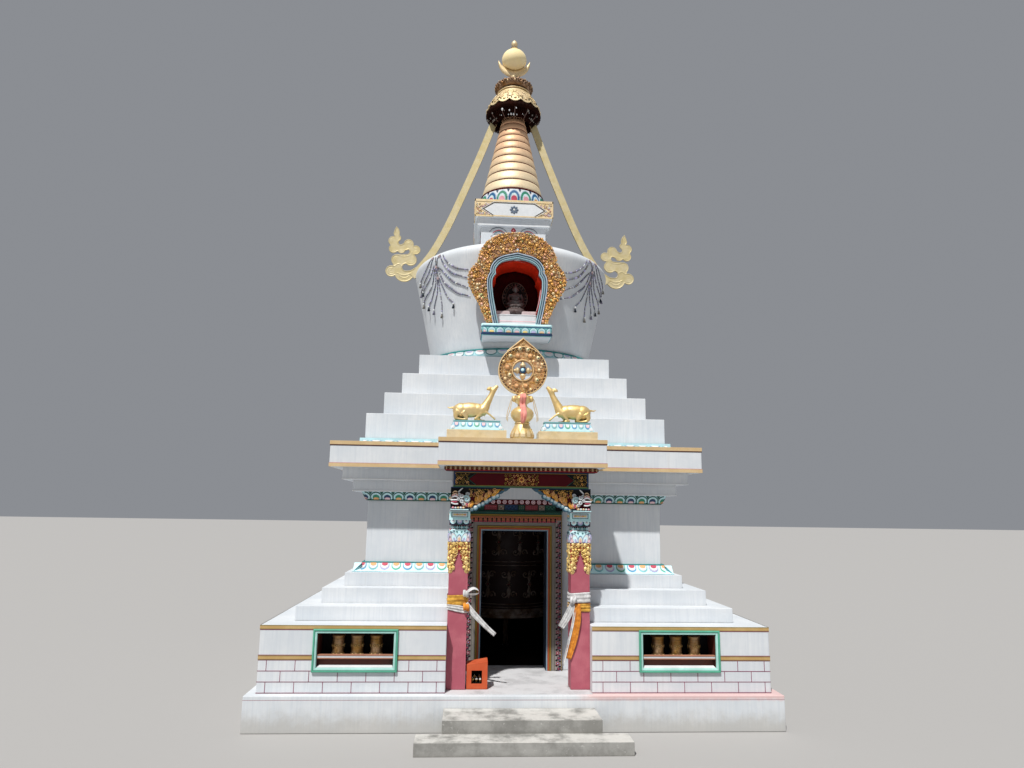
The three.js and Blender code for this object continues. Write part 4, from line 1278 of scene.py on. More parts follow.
# Porch: door frame, brocade rows, pillars, brackets, beam.
DOOR_HALF, DOOR_HEAD, DOOR_FRONT, WALL_FRONT = 0.475, 2.39, 2.00, 1.95


def door_surround():
    """Painted and carved mouldings round the doorway, each layer a step out from the last."""
    shape = Shape()
    front = wall(0, DOOR_FRONT)
    path = [(DOOR_HALF, PLINTH_TOP), (DOOR_HALF, DOOR_HEAD), (-DOOR_HALF, DOOR_HEAD),
            (-DOOR_HALF, PLINTH_TOP)]
    layers = (
        (0.000, 0.006, 0.006, DARK_BLUE), (0.006, 0.024, 0.010, PALE_GREY_BLUE),
        (0.024, 0.050, 0.016, RUST_ORANGE), (0.050, 0.075, 0.024, OLIVE_GOLD), (0.075, 0.130, 0.012, TAUPE),
        (0.130, 0.218, 0.010, BRICK_ORANGE), (0.218, 0.226, 0.022, OLIVE_GOLD),
    )
    for near, far, lift, mark in layers:
        edge = min((far - near) * 0.3, 0.006)
        profile = [(far, -0.003), (far, lift - edge), (far - edge, lift), (near + edge, lift),
                   (near, lift - edge), (near, -0.003)]
        shape.moulding(path, profile, mark, front)
    jamb_u, jamb_foot, jamb_head, unit = DOOR_HALF + 0.176, PLINTH_TOP + 0.03, DOOR_HEAD + 0.16, 0.072
    for side in (-1, 1):
        u0, u1 = sorted((side * (DOOR_HALF + 0.132), side * (DOOR_HALF + 0.218)))
        # Painted shade: the jamb's pale ground is given in grey-brown.
        shape.slab(u0, u1, PLINTH_TOP, DOOR_HEAD + 0.16, 0.0, 0.012, JAMB_BROWN, front)
        for i in range(int((jamb_head - jamb_foot) / unit)):
            spot = moved(front, side * jamb_u, jamb_foot + i * unit, 0 if side > 0 else math.pi, 0.012)
            flower = moved(spot, -0.006 if i % 2 else 0.010)
            heart = (ROSE, LILAC, ROSE, SOFT_PINK)[i % 4]
            rosette(shape, flower, 0.031, CRIMSON if i % 2 else PLUM, heart, 5)
            leaf(shape, moved(spot, 0.012, 0.026, -0.9), 0.036, 0.028, BLACK)
            leaf(shape, moved(spot, -0.008, -0.022, 1.9), 0.034, 0.026, BLACK)
            shape.ball((0.030, -0.026, 0.003), (0.008, 0.012, 0.006), LILAC, spot, 6, 4)
    count, pitch = 19, 0.0672
    for i in range(count):
        spot = moved(front, (i - (count - 1) / 2) * pitch, DOOR_HEAD + 0.166, dw=0.010)
        shape.ball((0, 0.008, 0), (0.013, 0.018, 0.009), BLACK, spot, 8, 4)
        leaf(shape, moved(spot, 0.0, -0.002, math.pi), 0.034, 0.018, BLACK)
        for hand in (-1, 1):
            shape.ball((hand * 0.019, -0.028, 0), (0.015, 0.011, 0.008), ROSE, spot, 7, 4)
        leaf(shape, moved(spot, pitch / 2, 0.010, 0), 0.022, 0.016, MUTED_RED)
    ledges = ((2.616, 2.632, 0.034, OLIVE_GOLD), (2.632, 2.650, 0.024, DARK_GREEN),
              (2.650, 2.668, 0.030, DARK_GREEN))
    for low, high, lift, mark in ledges:
        shape.slab(-0.70, 0.70, low, high, -0.05, lift, mark, front, edge=0.004)
    shape.build("door_surround", slot="maroon_paint")


def diaper(shape, place, width, height, ground, light, other):
    """A brocade panel: a framed ground with a lattice of small four-petalled flowers."""
    shape.slab(-width / 2, width / 2, 0, height, SET_IN, 0.010, ground, place, edge=0.002)
    step = 0.026
    columns, rows = max(int((width - 0.01) / step), 1), max(int(height / step), 1)
    for column in range(columns):
        for row in range(rows):
            u = (column + 0.5 - columns / 2) * step
            v = height / 2 + (row + 0.5 - rows / 2) * step
            mark = light if (column + row) % 2 else other
            shape.ball((u, v, 0.010), (0.008, 0.008, 0.004), mark, place, 6, 4, math.pi / 4)


def brocade_and_coins():
    """The rows above the door: painted brocade panels and, over them, a string of pale discs."""
    shape = Shape()
    front = wall(0, WALL_FRONT)
    colours = {
        "green": (DARK_GREEN, GREEN, BLACK), "red": (MUTED_RED, ROSE, CRIMSON),
        "blue": (DARK_BLUE, BLUE, BLACK), "floral": (TAUPE, MUTED_RED, PEACH),
        "leafy": (DARK_GREEN, OLIVE_GOLD, TAUPE),
    }
    panels = (("green", 0.15), ("red", 0.19), ("floral", 0.09), ("blue", 0.19), ("leafy", 0.09),
              ("red", 0.19), ("floral", 0.09), ("green", 0.15))
    gap = 0.012
    u = -(sum(width for _, width in panels) + gap * (len(panels) - 1)) / 2
    foot, rise = 2.690, 0.080
    shape.slab(-0.74, 0.72, foot - 0.018, foot, SET_IN, 0.022, DARK_GREEN, front, edge=0.004)
    shape.slab(-0.74, 0.72, foot, foot + rise + 0.004, SET_IN, 0.006, BLACK, front)
    for name, width in panels:
        ground, light, other = colours[name]
        diaper(shape, moved(front, u + width / 2, foot + 0.003), width, rise - 0.004, ground, light, other)
        u += width + gap
    row = foot + rise + 0.006
    shape.slab(-0.60, 0.66, row, row + 0.074, SET_IN, 0.008, MAROON, front, edge=0.003)
    for i in range(13):
        spot = moved(front, -0.497 + i * 0.086, row + 0.037, dw=0.006)
        shape.prism(circle(0.031, 16), 0, 0.012, SOFT_PINK, spot, 0.005)
        shape.prism(circle(0.020, 12), 0, 0.014, MAUVE_SHADE, spot, 0.003)
        shape.prism(circle(0.011, 10), 0, 0.018, SOFT_PINK, spot, 0.004)
    shape.build("door_brocade", slot="maroon_paint")


PILLAR_X, PILLAR_Y, PILLAR_HALF = 0.805, -2.955, 0.125


def pillar_faces():
    """The four faces of the right pillar, as walls about its middle."""
    return [lambda half, quarter=quarter: wall(quarter, half, (PILLAR_X, PILLAR_Y)) for quarter in QUARTERS]


def pillar_pendant(shape, place, dice):
    """Gold clusters that hang from a pillar's head like two curtains drawn apart, edged with red."""
    top, tip, apex, half = 2.275, 1.905, 2.175, 0.122
    left = [(-half, tip + 0.01), (-0.085, tip), (-0.055, 1.99), (0.0, apex), (0.0, top), (-half, top)]
    right = [(-u, v) for u, v in reversed(left)]
    for outline in (left, right):
        shape.prism(outline, SET_IN, 0.006, RUST_ORANGE, place, 0.003)
    rows = 10
    for row in range(rows):
        v = top - 0.018 - row * (top - tip) / rows
        clear = 0.074 * max((apex - v) / (apex - tip), 0.0) ** 0.8
        across = max(round((half - clear) / 0.040), 1)
        for side in (-1, 1):
            for k in range(across):
                u = clear + (k + 0.5 + 0.22 * (row % 2)) * (half - clear) / across
                u += dice.uniform(-0.006, 0.006)
                drop = dice.uniform(-0.009, 0.009) - (u - 0.06) * 0.12
                size = 0.023 + dice.uniform(-0.005, 0.005)
                spot = moved(place, side * min(u, 0.108), v + drop, dice.uniform(-0.7, 0.7), dw=0.005)
                kind = dice.random()
                if kind < 0.35:
                    scroll(shape, spot, size * 2.3, PILLAR_GOLD, 1.0, side)
                elif kind < 0.75:
                    leaf(shape, moved(spot, 0, 0.020, math.pi), size * 2.4, size * 1.9, PILLAR_GOLD, 0.45)
                else:
                    shape.ball((0, 0, 0.004), (size, size * 0.85, size * 0.8), PILLAR_GOLD, spot, 9, 6)
                # Small dots on some clusters: pale gold ones are painted highlights, green and red ones are
                # tints.
                if dice.random() < 0.30:
                    tint = dice.choice((PALE_GOLD, PALE_GOLD, GREEN_GOLD, MUTED_RED))
                    shape.ball((0.014, 0.012, 0.010), 0.0065, tint, spot, 6, 4)
    for side in (-1, 1):
        edge = [(side * 0.004, apex - 0.015), (side * 0.050, 2.010), (side * 0.078, tip + 0.010)]
        bead_row(shape, moved(place, dw=0.004), edge, 0.024, 0.008, (RED, MUTED_RED, PALE_GOLD))
        for k, u in enumerate((0.090, 0.108)):
            leaf(shape, moved(place, side * u, tip + 0.022 - 0.010 * k, math.pi), 0.050, 0.028, PILLAR_GOLD)


def pillar_lotus(shape, lotus):
    """The swollen block over the gold: overlapping pale petals, with swirls between them and the rim."""
    half = 0.133
    shape.slab(-half, half, 2.276, 2.296, SET_IN, 0.006, LILAC, lotus, edge=0.004)
    cushion = [(-half, 2.292), (half, 2.292), (0.136, 2.38), (0.128, 2.415), (0.104, 2.438), (-0.104, 2.438),
               (-0.128, 2.415), (-0.136, 2.38)]
    shape.prism(cushion, SUNK, 0.005, CAPITAL_AQUA, lotus, 0.005)
    face = moved(lotus, dw=0.004)
    swirls = ((0.112, 2.398, 0.034), (0.070, 2.412, 0.032), (0.030, 2.402, 0.028), (0.122, 2.330, 0.028))
    outer = ((1.0, LILAC), (0.86, WHITE), (0.62, SOFT_PINK))
    inner = ((1.0, GREY_BLUE), (0.90, WHITE), (0.66, CAPITAL_AQUA), (0.40, LILAC))
    for side in (-1, 1):
        petal(shape, moved(face, side * 0.104, 2.290, side * -0.30), 0.068, 0.104, outer, 0.006)
        petal(shape, moved(face, side * 0.056, 2.288, side * -0.34, dw=0.003), 0.070, 0.118, inner, 0.007)
        for u, v, size in swirls:
            paint = GREY_BLUE if size > 0.03 else TEAL
            scroll(shape, moved(face, side * u, v, dw=0.003), size, paint, 1.1, side)
    heart = ((1.0, BLUE), (0.88, WHITE), (0.58, SOFT_PEACH), (0.30, PINK))
    petal(shape, moved(face, 0, 2.284, dw=0.006), 0.062, 0.088, heart, 0.008)


def pillar_capital(shape, neck, capital):
    """Dark neck with aqua leaves, hanging lobes, and a framed pale block with a lozenge row."""
    shape.slab(-0.102, 0.102, 2.438, 2.492, SET_IN, 0.003, BLACK, neck)
    for k in range(7):
        paint = CAPITAL_AQUA if k % 2 == 0 else AQUA
        leaf(shape, moved(neck, (k - 3) * 0.030, 2.437, dw=0.004), 0.050, 0.030, paint)
    shape.slab(-0.130, 0.130, 2.492, 2.562, SUNK, 0.001, SLATE, capital)
    sets = [((1.0, DARK_BLUE), (0.86, CAPITAL_AQUA), (0.60, WHITE), (0.24, GREY_BLUE)),
            ((1.0, TEAL), (0.84, LILAC), (0.50, WHITE))]
    lotus_row(shape, capital, 0.130, 0.0866, 2.560, 0.062, sets, hanging=True, lift=0.010, whole=True)
    # The block's pale aqua is painted light for a face that the beam shades.
    shape.slab(-0.136, 0.136, 2.556, 2.578, SUNK, 0.009, CAPITAL_AQUA, capital, edge=0.005)
    shape.slab(-0.134, 0.134, 2.578, 2.682, SUNK, 0.004, CAPITAL_AQUA, capital, edge=0.003)
    ring = [(0.106, 2.598), (0.106, 2.660), (-0.106, 2.660), (-0.106, 2.598)]
    profile = [(0.004, 0.003), (0.003, 0.007), (-0.003, 0.007), (-0.004, 0.003)]
    shape.moulding(ring, profile, TEAL, capital, closed=True)
    shape.slab(-0.100, 0.100, 2.604, 2.654, 0.003, 0.006, WHITE, capital, edge=0.002)
    for k in range(-2, 3):
        paint = (SOFT_PEACH, PEACH, YELLOW)[k % 3]
        shape.ball((k * 0.034, 2.629, 0.007), (0.018, 0.013, 0.006), paint, capital, 8, 4)
    shape.slab(-0.138, 0.138, 2.668, 2.682, SUNK, 0.010, WHITE, capital, edge=0.004)


def pillar_ornament():
    """Hanging gold clusters, lotus block, dark neck and painted capital, on all four faces."""
    dice = random.Random(11)
    shape = Shape()
    for face in pillar_faces():
        pillar_pendant(shape, face(PILLAR_HALF), dice)
        pillar_lotus(shape, face(0.133))
        pillar_capital(shape, face(0.100), face(0.133))
    build_pair(shape, "{side}_pillar_ornament", slot="crimson_paint")


def bracket_face(shape, place, hand):
    """One face of the right bracket's wing: cloud lobes along the slope, flames within, scrolls over them.

    u runs as x does where hand is 1, and the other way round at the back.
    """
    dice = random.Random(5)
    for i in range(8):
        t = 0.30 + 0.70 * i / 7.3
        u, v = 0.165 + 0.50 * t, 2.965 - 0.275 * t
        spot = moved(place, hand * u, v + (0.004 if i % 2 else -0.003), hand * -0.5)
        grow = 1.0 + 0.16 * math.sin(2.4 * i)
        shape.ball((0, -0.005, 0), (0.035 * grow, 0.033 * grow, 0.006), SLATE_BLUE, spot, 12, 5)
        shape.ball((0, 0.002, 0.003), (0.029 * grow, 0.025 * grow, 0.006), GREY_AQUA, spot, 12, 5)
        shape.ball((-0.006 * hand, 0.008, 0.006), (0.021 * grow, 0.012 * grow, 0.006), WHITE, spot, 10, 5)
    for i in range(17):
        t = (i + 0.5) / 17
        u, v = 0.290 + 0.42 * t, 2.920 - 0.215 * t + dice.uniform(-0.010, 0.024)
        mark = (FLAME_ORANGE, CARVED_GOLD, FLAME_ORANGE, PEACH)[i % 4] if t < 0.75 else (ROSE, PEACH)[i % 2]
        tilt = hand * dice.uniform(-0.4, 1.2)
        spot = moved(place, hand * (u + 0.042), v - 0.014, tilt, dw=0.004)
        leaf(shape, spot, dice.uniform(0.060, 0.088), 0.044, mark, 0.3)
        if i % 2:
            spot = moved(place, hand * (u + 0.030), v + 0.012, dice.uniform(0, 6), dw=0.012)
            scroll(shape, spot, 0.042, CARVED_GOLD, 1.0, hand)
    for i in range(24):
        v = dice.uniform(2.875, 2.955)
        low = 0.165 + (2.965 - v) / 0.275 * 0.5 + 0.10
        u = dice.uniform(min(low, 0.64), 0.68)
        spot = moved(place, hand * u, v, dice.uniform(0, math.tau), dw=0.002)
        mark = (CARVED_GOLD, OLIVE_GOLD, CARVED_GOLD, MUTED_RED)[i % 4]
        scroll(shape, spot, dice.uniform(0.036, 0.052), mark, 1.1, dice.choice((-1, 1)))
    for i in range(14):
        u = 0.24 + i * 0.034
        bead = (hand * u, 2.958 + 0.005 * math.sin(i * 2.1), 0.004)
        shape.ball(bead, (0.015, 0.009, 0.008), OLIVE_GOLD, place, 7, 4)


def brackets():
    """Carved wings under the beam; they stand for the plain wings and the heads at their outer ends."""
    shape = Shape()
    edge = []
    for i in range(8):
        t0, t1 = i / 8, (i + 1) / 8
        u0, v0 = 0.165 + 0.5 * t0, 2.972 - 0.29 * t0
        u1, v1 = 0.165 + 0.5 * t1, 2.972 - 0.29 * t1
        edge += bezier(3, (u0, v0), ((u0 + u1) / 2 - 0.010, (v0 + v1) / 2 - 0.014), (u1, v1))
    outline = [(0.165, 2.972), *edge, (0.925, 2.682), (0.925, 2.986), (0.165, 2.986)]
    front, back = wall(0, 3.185), wall(2, -3.075)
    shape.prism(outline, -0.11, 0.0, SLATE_BLUE, front, 0.004)
    field = [(0.27, 2.940), (0.66, 2.722), (0.90, 2.700), (0.90, 2.976), (0.24, 2.976)]
    shape.prism(field, -0.112, 0.003, MAROON, front, 0.002)
    upper = [(0.30, 2.925), (0.93, 2.860), (0.93, 2.984), (0.22, 2.984)]
    shape.prism(upper, -0.114, 0.005, BLACK, front, 0.002)
    shape.slab(0.15, 0.93, 2.976, 2.989, -0.114, 0.010, DARK_BLUE, front, edge=0.003)
    bracket_face(shape, moved(front, dw=0.004), 1)
    bracket_face(shape, moved(back, dw=0.004), -1)
    guardian_head(shape)
    build_pair(shape, "{side}_bracket_carving", slot="carved_gold", stands_for=["{side}_bracket"])


def guardian_head(shape):
    """A generic white guardian animal, looking outwards: curled mane, striped snout, horns and paws."""
    def at(u, v, w):
        return (0.82 + u, -3.165 - w, 2.835 + v)
    shape.slab(-0.125, 0.112, -0.125, 0.145, -0.080, 0.020, BLACK, at, edge=0.010)
    shape.ball((-0.010, 0.010, 0.010), (0.085, 0.070, 0.062), MAROON, at, 16, 9)
    curls = (((-0.098, -0.002, 0.055), 0.112, 0.4), ((-0.030, 0.030, 0.078), 0.066, 2.0),
             ((-0.035, -0.030, 0.080), 0.060, 3.6), ((0.000, 0.052, 0.070), 0.052, 1.0),
             ((-0.110, 0.062, 0.040), 0.060, 2.4), ((-0.112, -0.066, 0.044), 0.064, 5.0),
             ((-0.062, -0.068, 0.066), 0.050, 0.0), ((0.006, -0.004, 0.086), 0.046, 4.4))
    for (u, v, w), size, turn in curls:
        spot = moved(at, u, v, turn, w)
        shape.ball((0, 0, -0.012), (size * 0.46, size * 0.46, 0.020), WHITE, spot, 14, 6)
        scroll(shape, moved(spot, dw=0.004), size * 0.92, PALE_AQUA if size > 0.1 else WHITE, 1.3, 1)
        shape.ball((0, 0, 0.008), (size * 0.10, size * 0.10, 0.010), GREY_BLUE, spot, 8, 5)
    stripe = [0.009, 0.010, 0.011, 0.012, 0.012, 0.012, 0.012, 0.011, 0.010, 0.009, 0.007]
    for k in range(5):
        sweep = [(0.010 + 0.004 * k, 0.020 + 0.016 * k, 0.072), (0.055, 0.034 + 0.015 * k, 0.082 - 0.004 * k),
                 (0.098 - 0.004 * k, 0.016 + 0.013 * k, 0.064)]
        paint = (WHITE, PINK, SOFT_PEACH, MAROON, SOFT_PEACH)[k]
        shape.tube(spline(sweep, 5), stripe, paint, at, 8)
    shape.ball((0.112, 0.012, 0.048), (0.022, 0.017, 0.024), SOFT_PEACH, at, 12, 7)
    shape.ball((0.126, 0.020, 0.058), (0.008, 0.007, 0.010), MAROON, at, 8, 5)
    shape.ball((0.062, -0.040, 0.052), (0.052, 0.022, 0.030), MUTED_RED, at, 14, 7)
    lips_and_tongue = (
        (((0.012, -0.014, 0.080), (0.060, -0.016, 0.086), (0.110, -0.014, 0.070)), 0.010, WHITE),
        (((0.010, -0.066, 0.078), (0.058, -0.068, 0.084), (0.100, -0.052, 0.070)), 0.010, WHITE),
        (((0.026, -0.040, 0.082), (0.060, -0.044, 0.088), (0.090, -0.036, 0.076)), 0.007, ROSE),
    )
    for points, thick, paint in lips_and_tongue:
        shape.tube(spline(points, 4), thick, paint, at, 8)
    for u in (0.036, 0.056, 0.076, 0.094):
        shape.prism([(u + 0.006, -0.020), (u - 0.006, -0.020), (u, -0.036)], 0.070, 0.084, WHITE, at)
    horn_radii = [0.009, 0.009, 0.008, 0.008, 0.007, 0.006, 0.005, 0.004, 0.003]
    for hand in (-1, 1):
        shape.ball((0.040, 0.052, 0.062 + 0.022 * hand), (0.012, 0.010, 0.012), WHITE, at, 10, 6)
        shape.ball((0.044, 0.052, 0.072 + 0.022 * hand), 0.006, BLACK, at, 8, 5)
        horn = [(0.010, 0.085, 0.040 + 0.020 * hand), (-0.020, 0.118, 0.050 + 0.026 * hand),
                (-0.048, 0.140, 0.050 + 0.030 * hand)]
        shape.tube(spline(horn, 4), horn_radii, WHITE, at, 7)
    for k, paint in enumerate((SOFT_PEACH, WHITE, SOFT_PEACH, WHITE, PINK)):
        shape.ball((-0.060 + 0.034 * k, -0.118, 0.058), (0.018, 0.017, 0.024), paint, at, 10, 6)
        shape.ball((-0.052 + 0.034 * k, -0.130, 0.078), (0.006, 0.006, 0.008), MAROON, at, 6, 4)
    for k in range(4):
        flame = moved(at, -0.148 + 0.020 * k, -0.112 + 0.004 * k, 0.5 - 0.3 * k, dw=0.050)
        leaf(shape, flame, 0.070, 0.036, (FLAME_ORANGE, PEACH, ROSE, FLAME_ORANGE)[k], 0.3)
    shape.slab(-0.13, 0.11, -0.150, -0.134, -0.06, 0.086, PALE_AQUA, at, edge=0.006)


def beam_paint():
    """The beam's painting: end panels, a pointed maroon panel with gold scrolls, and joist ends above."""
    dice = random.Random(8)
    shape = Shape()
    foot, head = 2.990, 3.200
    middle = (foot + head) / 2
    reach = 0.90
    for face in (wall(0, 3.21), wall(2, -3.05)):
        shape.slab(-reach, reach, foot, foot + 0.018, SET_IN, 0.010, BEAM_GREEN, face, edge=0.003)
        shape.slab(-reach, reach, foot + 0.018, foot + 0.026, SET_IN, 0.007, OLIVE_GOLD, face)
        shape.slab(-reach, reach, head - 0.016, head, SET_IN, 0.010, DARK_BLUE, face, edge=0.003)
        shape.slab(-reach, reach, head - 0.026, head - 0.016, SET_IN, 0.007, OLIVE_GOLD, face)
        panel = [(-0.59, foot + 0.028), (0.59, foot + 0.028), (0.695, middle), (0.59, head - 0.028),
                 (-0.59, head - 0.028), (-0.695, middle)]
        shape.prism(panel, -0.002, 0.012, MAROON, face)
        for side in (-1, 1):
            point = [(side * 0.605, foot + 0.028), (side * 0.710, middle), (side * 0.605, head - 0.028)]
            shape.tube([(u, v, 0.008) for u, v in point], 0.005, DARK_GREEN, face, 5)
            ends = moved(face, side * 0.740, middle)
            shape.slab(-0.140, 0.140, -0.078, 0.078, SET_IN, 0.003, BLACK, ends)
            wide = moved(face, side * 0.785, middle, dw=0.003)
            foliage(shape, wide, 0.18, 0.140, 0.048, (OLIVE_GOLD, CARVED_GOLD, OLIVE_GOLD), dice)
            u0, u1 = side * 0.885 - 0.010, side * 0.885 + 0.010
            shape.slab(u0, u1, foot + 0.02, head - 0.02, 0.0, 0.010, DARK_BLUE, face)
        centre = moved(face, 0.0, middle, dw=0.012)
        foliage(shape, centre, 0.46, 0.145, 0.050, (CARVED_GOLD, COPPER, OLIVE_GOLD), dice)
        rosette(shape, moved(centre, dw=0.01), 0.045, CARVED_GOLD, RED, 8)
    for quarter, width, half in ((0, 1.0, 3.30), (1, 0.12, 1.0), (3, 0.12, 1.0)):
        place = wall(quarter, half, (0, 0) if quarter == 0 else (0, -3.175))
        shape.slab(-width, width, 3.203, 3.212, SET_IN, 0.006, RED, place)
        shape.slab(-width, width, 3.214, 3.258, SET_IN, 0.003, PALE_OCHRE, place)
        count = round(2 * width / 0.062)
        for i in range(count):
            u = (i + 0.5) * 2 * width / count - width
            shape.slab(u - 0.017, u + 0.017, 3.214, 3.250, SET_IN, 0.022, MAROON, place, edge=0.004)
            shape.ball((u, 3.232, 0.022), (0.008, 0.008, 0.004), OLIVE_GOLD, place, 6, 4)
    shape.build("beam_painting", slot="maroon_paint")


def porch_floor():
    """A thin trowelled screed on the plinth between the pillars and the doorway."""
    shape = Shape()
    skin = 0.003
    outline = [(-0.928, -3.30), (0.928, -3.30), (0.928, -1.952), (-0.928, -1.952)]
    shape.prism(outline, PLINTH_TOP - 0.002, PLINTH_TOP + skin, SCREED, None, 0.002)
    inner = [(-0.474, -1.955), (0.474, -1.955), (0.474, -1.66), (-0.474, -1.66)]
    shape.prism(inner, PLINTH_TOP - 0.002, PLINTH_TOP + skin * 1.5, SCREED, None, 0.002)
    shape.build("porch_floor_screed", slot="concrete")


def door_reveals():
    """The doorway's painted inner faces, from the frame back to the chamber."""
    shape = Shape()
    skin, front, back = 0.003, -DOOR_FRONT, -1.65
    for side in (-1, 1):
        u0, u1 = sorted((side * DOOR_HALF, side * (DOOR_HALF - skin)))
        shape.slab(u0, u1, front, back, PLINTH_TOP + 0.004, DOOR_HEAD, SLATE)
    shape.slab(-DOOR_HALF, DOOR_HALF, front, back, DOOR_HEAD - skin, DOOR_HEAD, SLATE)
    shape.build("doorway_reveals", slot="maroon_paint")


def chamber_lining():
    """Near-black walls, ceiling and floor of the chamber, painted shade for the unlit room."""
    shape = Shape()
    skin, half, front, ceiling, shaft = 0.003, 1.25, -1.65, 2.96, 0.055
    low, high = PLINTH_TOP + skin, ceiling - skin
    for side in (-1, 1):
        u0, u1 = sorted((side * half, side * (half - skin)))
        shape.slab(u0, u1, front, half, low, high, SOOT_AND_SHADE)
        u0, u1 = sorted((side * half, side * DOOR_HALF))
        shape.slab(u0, u1, front, front + skin, low, high, SOOT_AND_SHADE)
    shape.slab(-DOOR_HALF, DOOR_HALF, front, front + skin, DOOR_HEAD, high, SOOT_AND_SHADE)
    shape.slab(-half, half, half - skin, half, low, high, SOOT_AND_SHADE)
    for z0, z1 in ((PLINTH_TOP, low), (high, ceiling)):
        shape.slab(-half, half, front, -shaft, z0, z1, SOOT_AND_SHADE)
        shape.slab(-half, half, shaft, half, z0, z1, SOOT_AND_SHADE)
        shape.slab(-half, -shaft, -shaft, shaft, z0, z1, SOOT_AND_SHADE)
        shape.slab(shaft, half, -shaft, shaft, z0, z1, SOOT_AND_SHADE)
    shape.build("chamber_lining")


def offering_box_inside():
    """Blackened lining of the offering box and the small lamps that stand in it."""
    shape = Shape()
    x0, x1, y0, y1, z0, z1 = -0.641, -0.419, -3.041, -2.859, 0.454, 0.700
    skin = 0.003
    shape.slab(x0, x1, y1 - skin, y1, z0, z1, SOOT_AND_SHADE)
    shape.slab(x0, x1, y0, y1, z0, z0 + skin, SOOT_AND_SHADE)
    for x in (x0, x1 - skin):
        shape.slab(x, x + skin, y0, y1, z0, z1, SOOT_AND_SHADE)
    shape.slab(x0, x1, y0, y1, z1, z1 + skin, SOOT_AND_SHADE)
    bowls = ((-0.585, -3.000, 0.020, YELLOW), (-0.535, -2.985, 0.024, WHITE), (-0.488, -3.004, 0.018, WHITE),
             (-0.560, -2.930, 0.022, YELLOW), (-0.500, -2.925, 0.022, SOFT_PEACH))
    for x, y, r, fill in bowls:
        foot = 0.500 if y < -2.95 else 0.520
        bowl = [(0.0, foot), (r * 0.6, foot), (r * 0.3, foot + 0.014), (r * 0.5, foot + 0.020),
                (r, foot + 0.044), (r * 0.9, foot + 0.044)]
        shape.turned(bowl, BRASS, (x, y), 16)
        butter = [(r * 0.9, foot + 0.042), (r * 0.5, foot + 0.052), (0.0, foot + 0.056)]
        shape.turned(butter, fill, (x, y), 16)
        shape.tube([(x, y, foot + 0.050), (x, y, foot + 0.072)], 0.003, WHITE)
    shape.slab(x0 + 0.01, x1 - 0.01, -2.955, y1 - 0.01, z0, 0.520, SOOT_AND_SHADE)
    shape.slab(x0 + 0.01, x1 - 0.01, y0 + 0.004, -2.955, z0, 0.500, SOOT_AND_SHADE)
    shape.build("offering_box_lamps", slot="wheel_brass")


def chamber_wheel():
    """The great prayer wheel: near-black lacquer, brown rims and two rows of raised scroll medallions, all
    darkened as painted shade of the unlit chamber.
    """
    name = "chamber_prayer_wheel"
    low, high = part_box(name)
    foot, top, r, shaft = 0.96, 2.70, 0.80, 0.045
    profile = [
        (0.0, low.z), (shaft, low.z), (shaft, foot), (r - 0.03, foot), (r, foot + 0.02), (r, foot + 0.035),
        (r - 0.012, foot + 0.045), (r, foot + 0.06), (r, foot + 0.125), (r - 0.02, foot + 0.15),
        (r - 0.02, top - 0.15), (r, top - 0.13), (r, top - 0.05), (r - 0.012, top - 0.04),
        (r - 0.004, top - 0.02), (r - 0.03, top), (shaft, top), (shaft, high.z), (0.0, high.z),
    ]
    body, rim, post = SHADED_WHEEL_LACQUER, SHADED_GOLD, DARK_GOLD
    marks = [post, post, body, rim, rim, rim, rim, rim, rim, body, rim, rim, rim, rim, rim, body, post, post]
    shape = Shape()
    shape.turned(profile, segments=96, marks=marks)
    place = round_wall(lambda z: r - 0.02)
    girth = math.tau * (r - 0.02)
    for z in (1.14, 1.19, 1.80, 1.86, 2.47, 2.52):
        shape.tube([(i * girth / 72, z, 0.002) for i in range(73)], 0.008, SHADED_GOLD, place, 5)
    count = 14
    for row, z in enumerate((1.50, 2.17)):
        for i in range(count):
            spot = moved(place, (i + 0.5 * row) * girth / count, z)
            for turn in (0.4, math.pi - 0.4, math.pi + 0.4, -0.4):
                hand = 1 if math.cos(turn) > 0 else -1
                corner = moved(spot, 0.08 * math.cos(turn), 0.41 * math.sin(turn), turn)
                scroll(shape, corner, 0.12, SHADED_GOLD, 1.2, hand)
            leaf(shape, moved(spot, 0, 0.03), 0.19, 0.07, SHADED_GOLD, 0.2)
            leaf(shape, moved(spot, 0, -0.03, math.pi), 0.19, 0.07, SHADED_GOLD, 0.2)
            rosette(shape, spot, 0.050, SHADED_GOLD, MUTED_RED, 6)
    edge = round_wall(lambda z: r)
    for i in range(48):
        leaf(shape, moved(edge, i * math.tau * r / 48, foot + 0.062), 0.06, 0.08, SHADED_GOLD)
        leaf(shape, moved(edge, i * math.tau * r / 48, top - 0.055, math.pi), 0.06, 0.08, SHADED_GOLD)
    shape.build("chamber_wheel_drum", body=name, slot="wheel_brass", stands_for=[name])


door_surround()
brocade_and_coins()
pillar_ornament()
brackets()
beam_paint()
porch_floor()
door_reveals()
chamber_lining()
chamber_wheel()
offering_box_inside()


# Dome, its niche and the carved surround.
DOME_BENDS = [
    (1.400, 5.120), (1.420, 5.300), (1.600, 6.150), (1.700, 6.600), (1.742, 6.770), (1.758, 6.850),
    (1.752, 6.905), (1.720, 6.955), (1.655, 7.005), (1.530, 7.062), (1.340, 7.120), (1.090, 7.178),
    (0.800, 7.228), (0.560, 7.255),
]
NICHE_FLOOR, OPENING_FOOT, OPENING_FOOT_HALF = 5.83, 5.58, 0.29
FIGURE_Y = -1.38


def dome_radius(z):
    """The dome's radius at a height."""
    for (r0, z0), (r1, z1) in zip(DOME_BENDS, DOME_BENDS[1:]):
        if z <= z1:
            return r0 + (r1 - r0) * (z - z0) / (z1 - z0)
    return DOME_BENDS[-1][0]


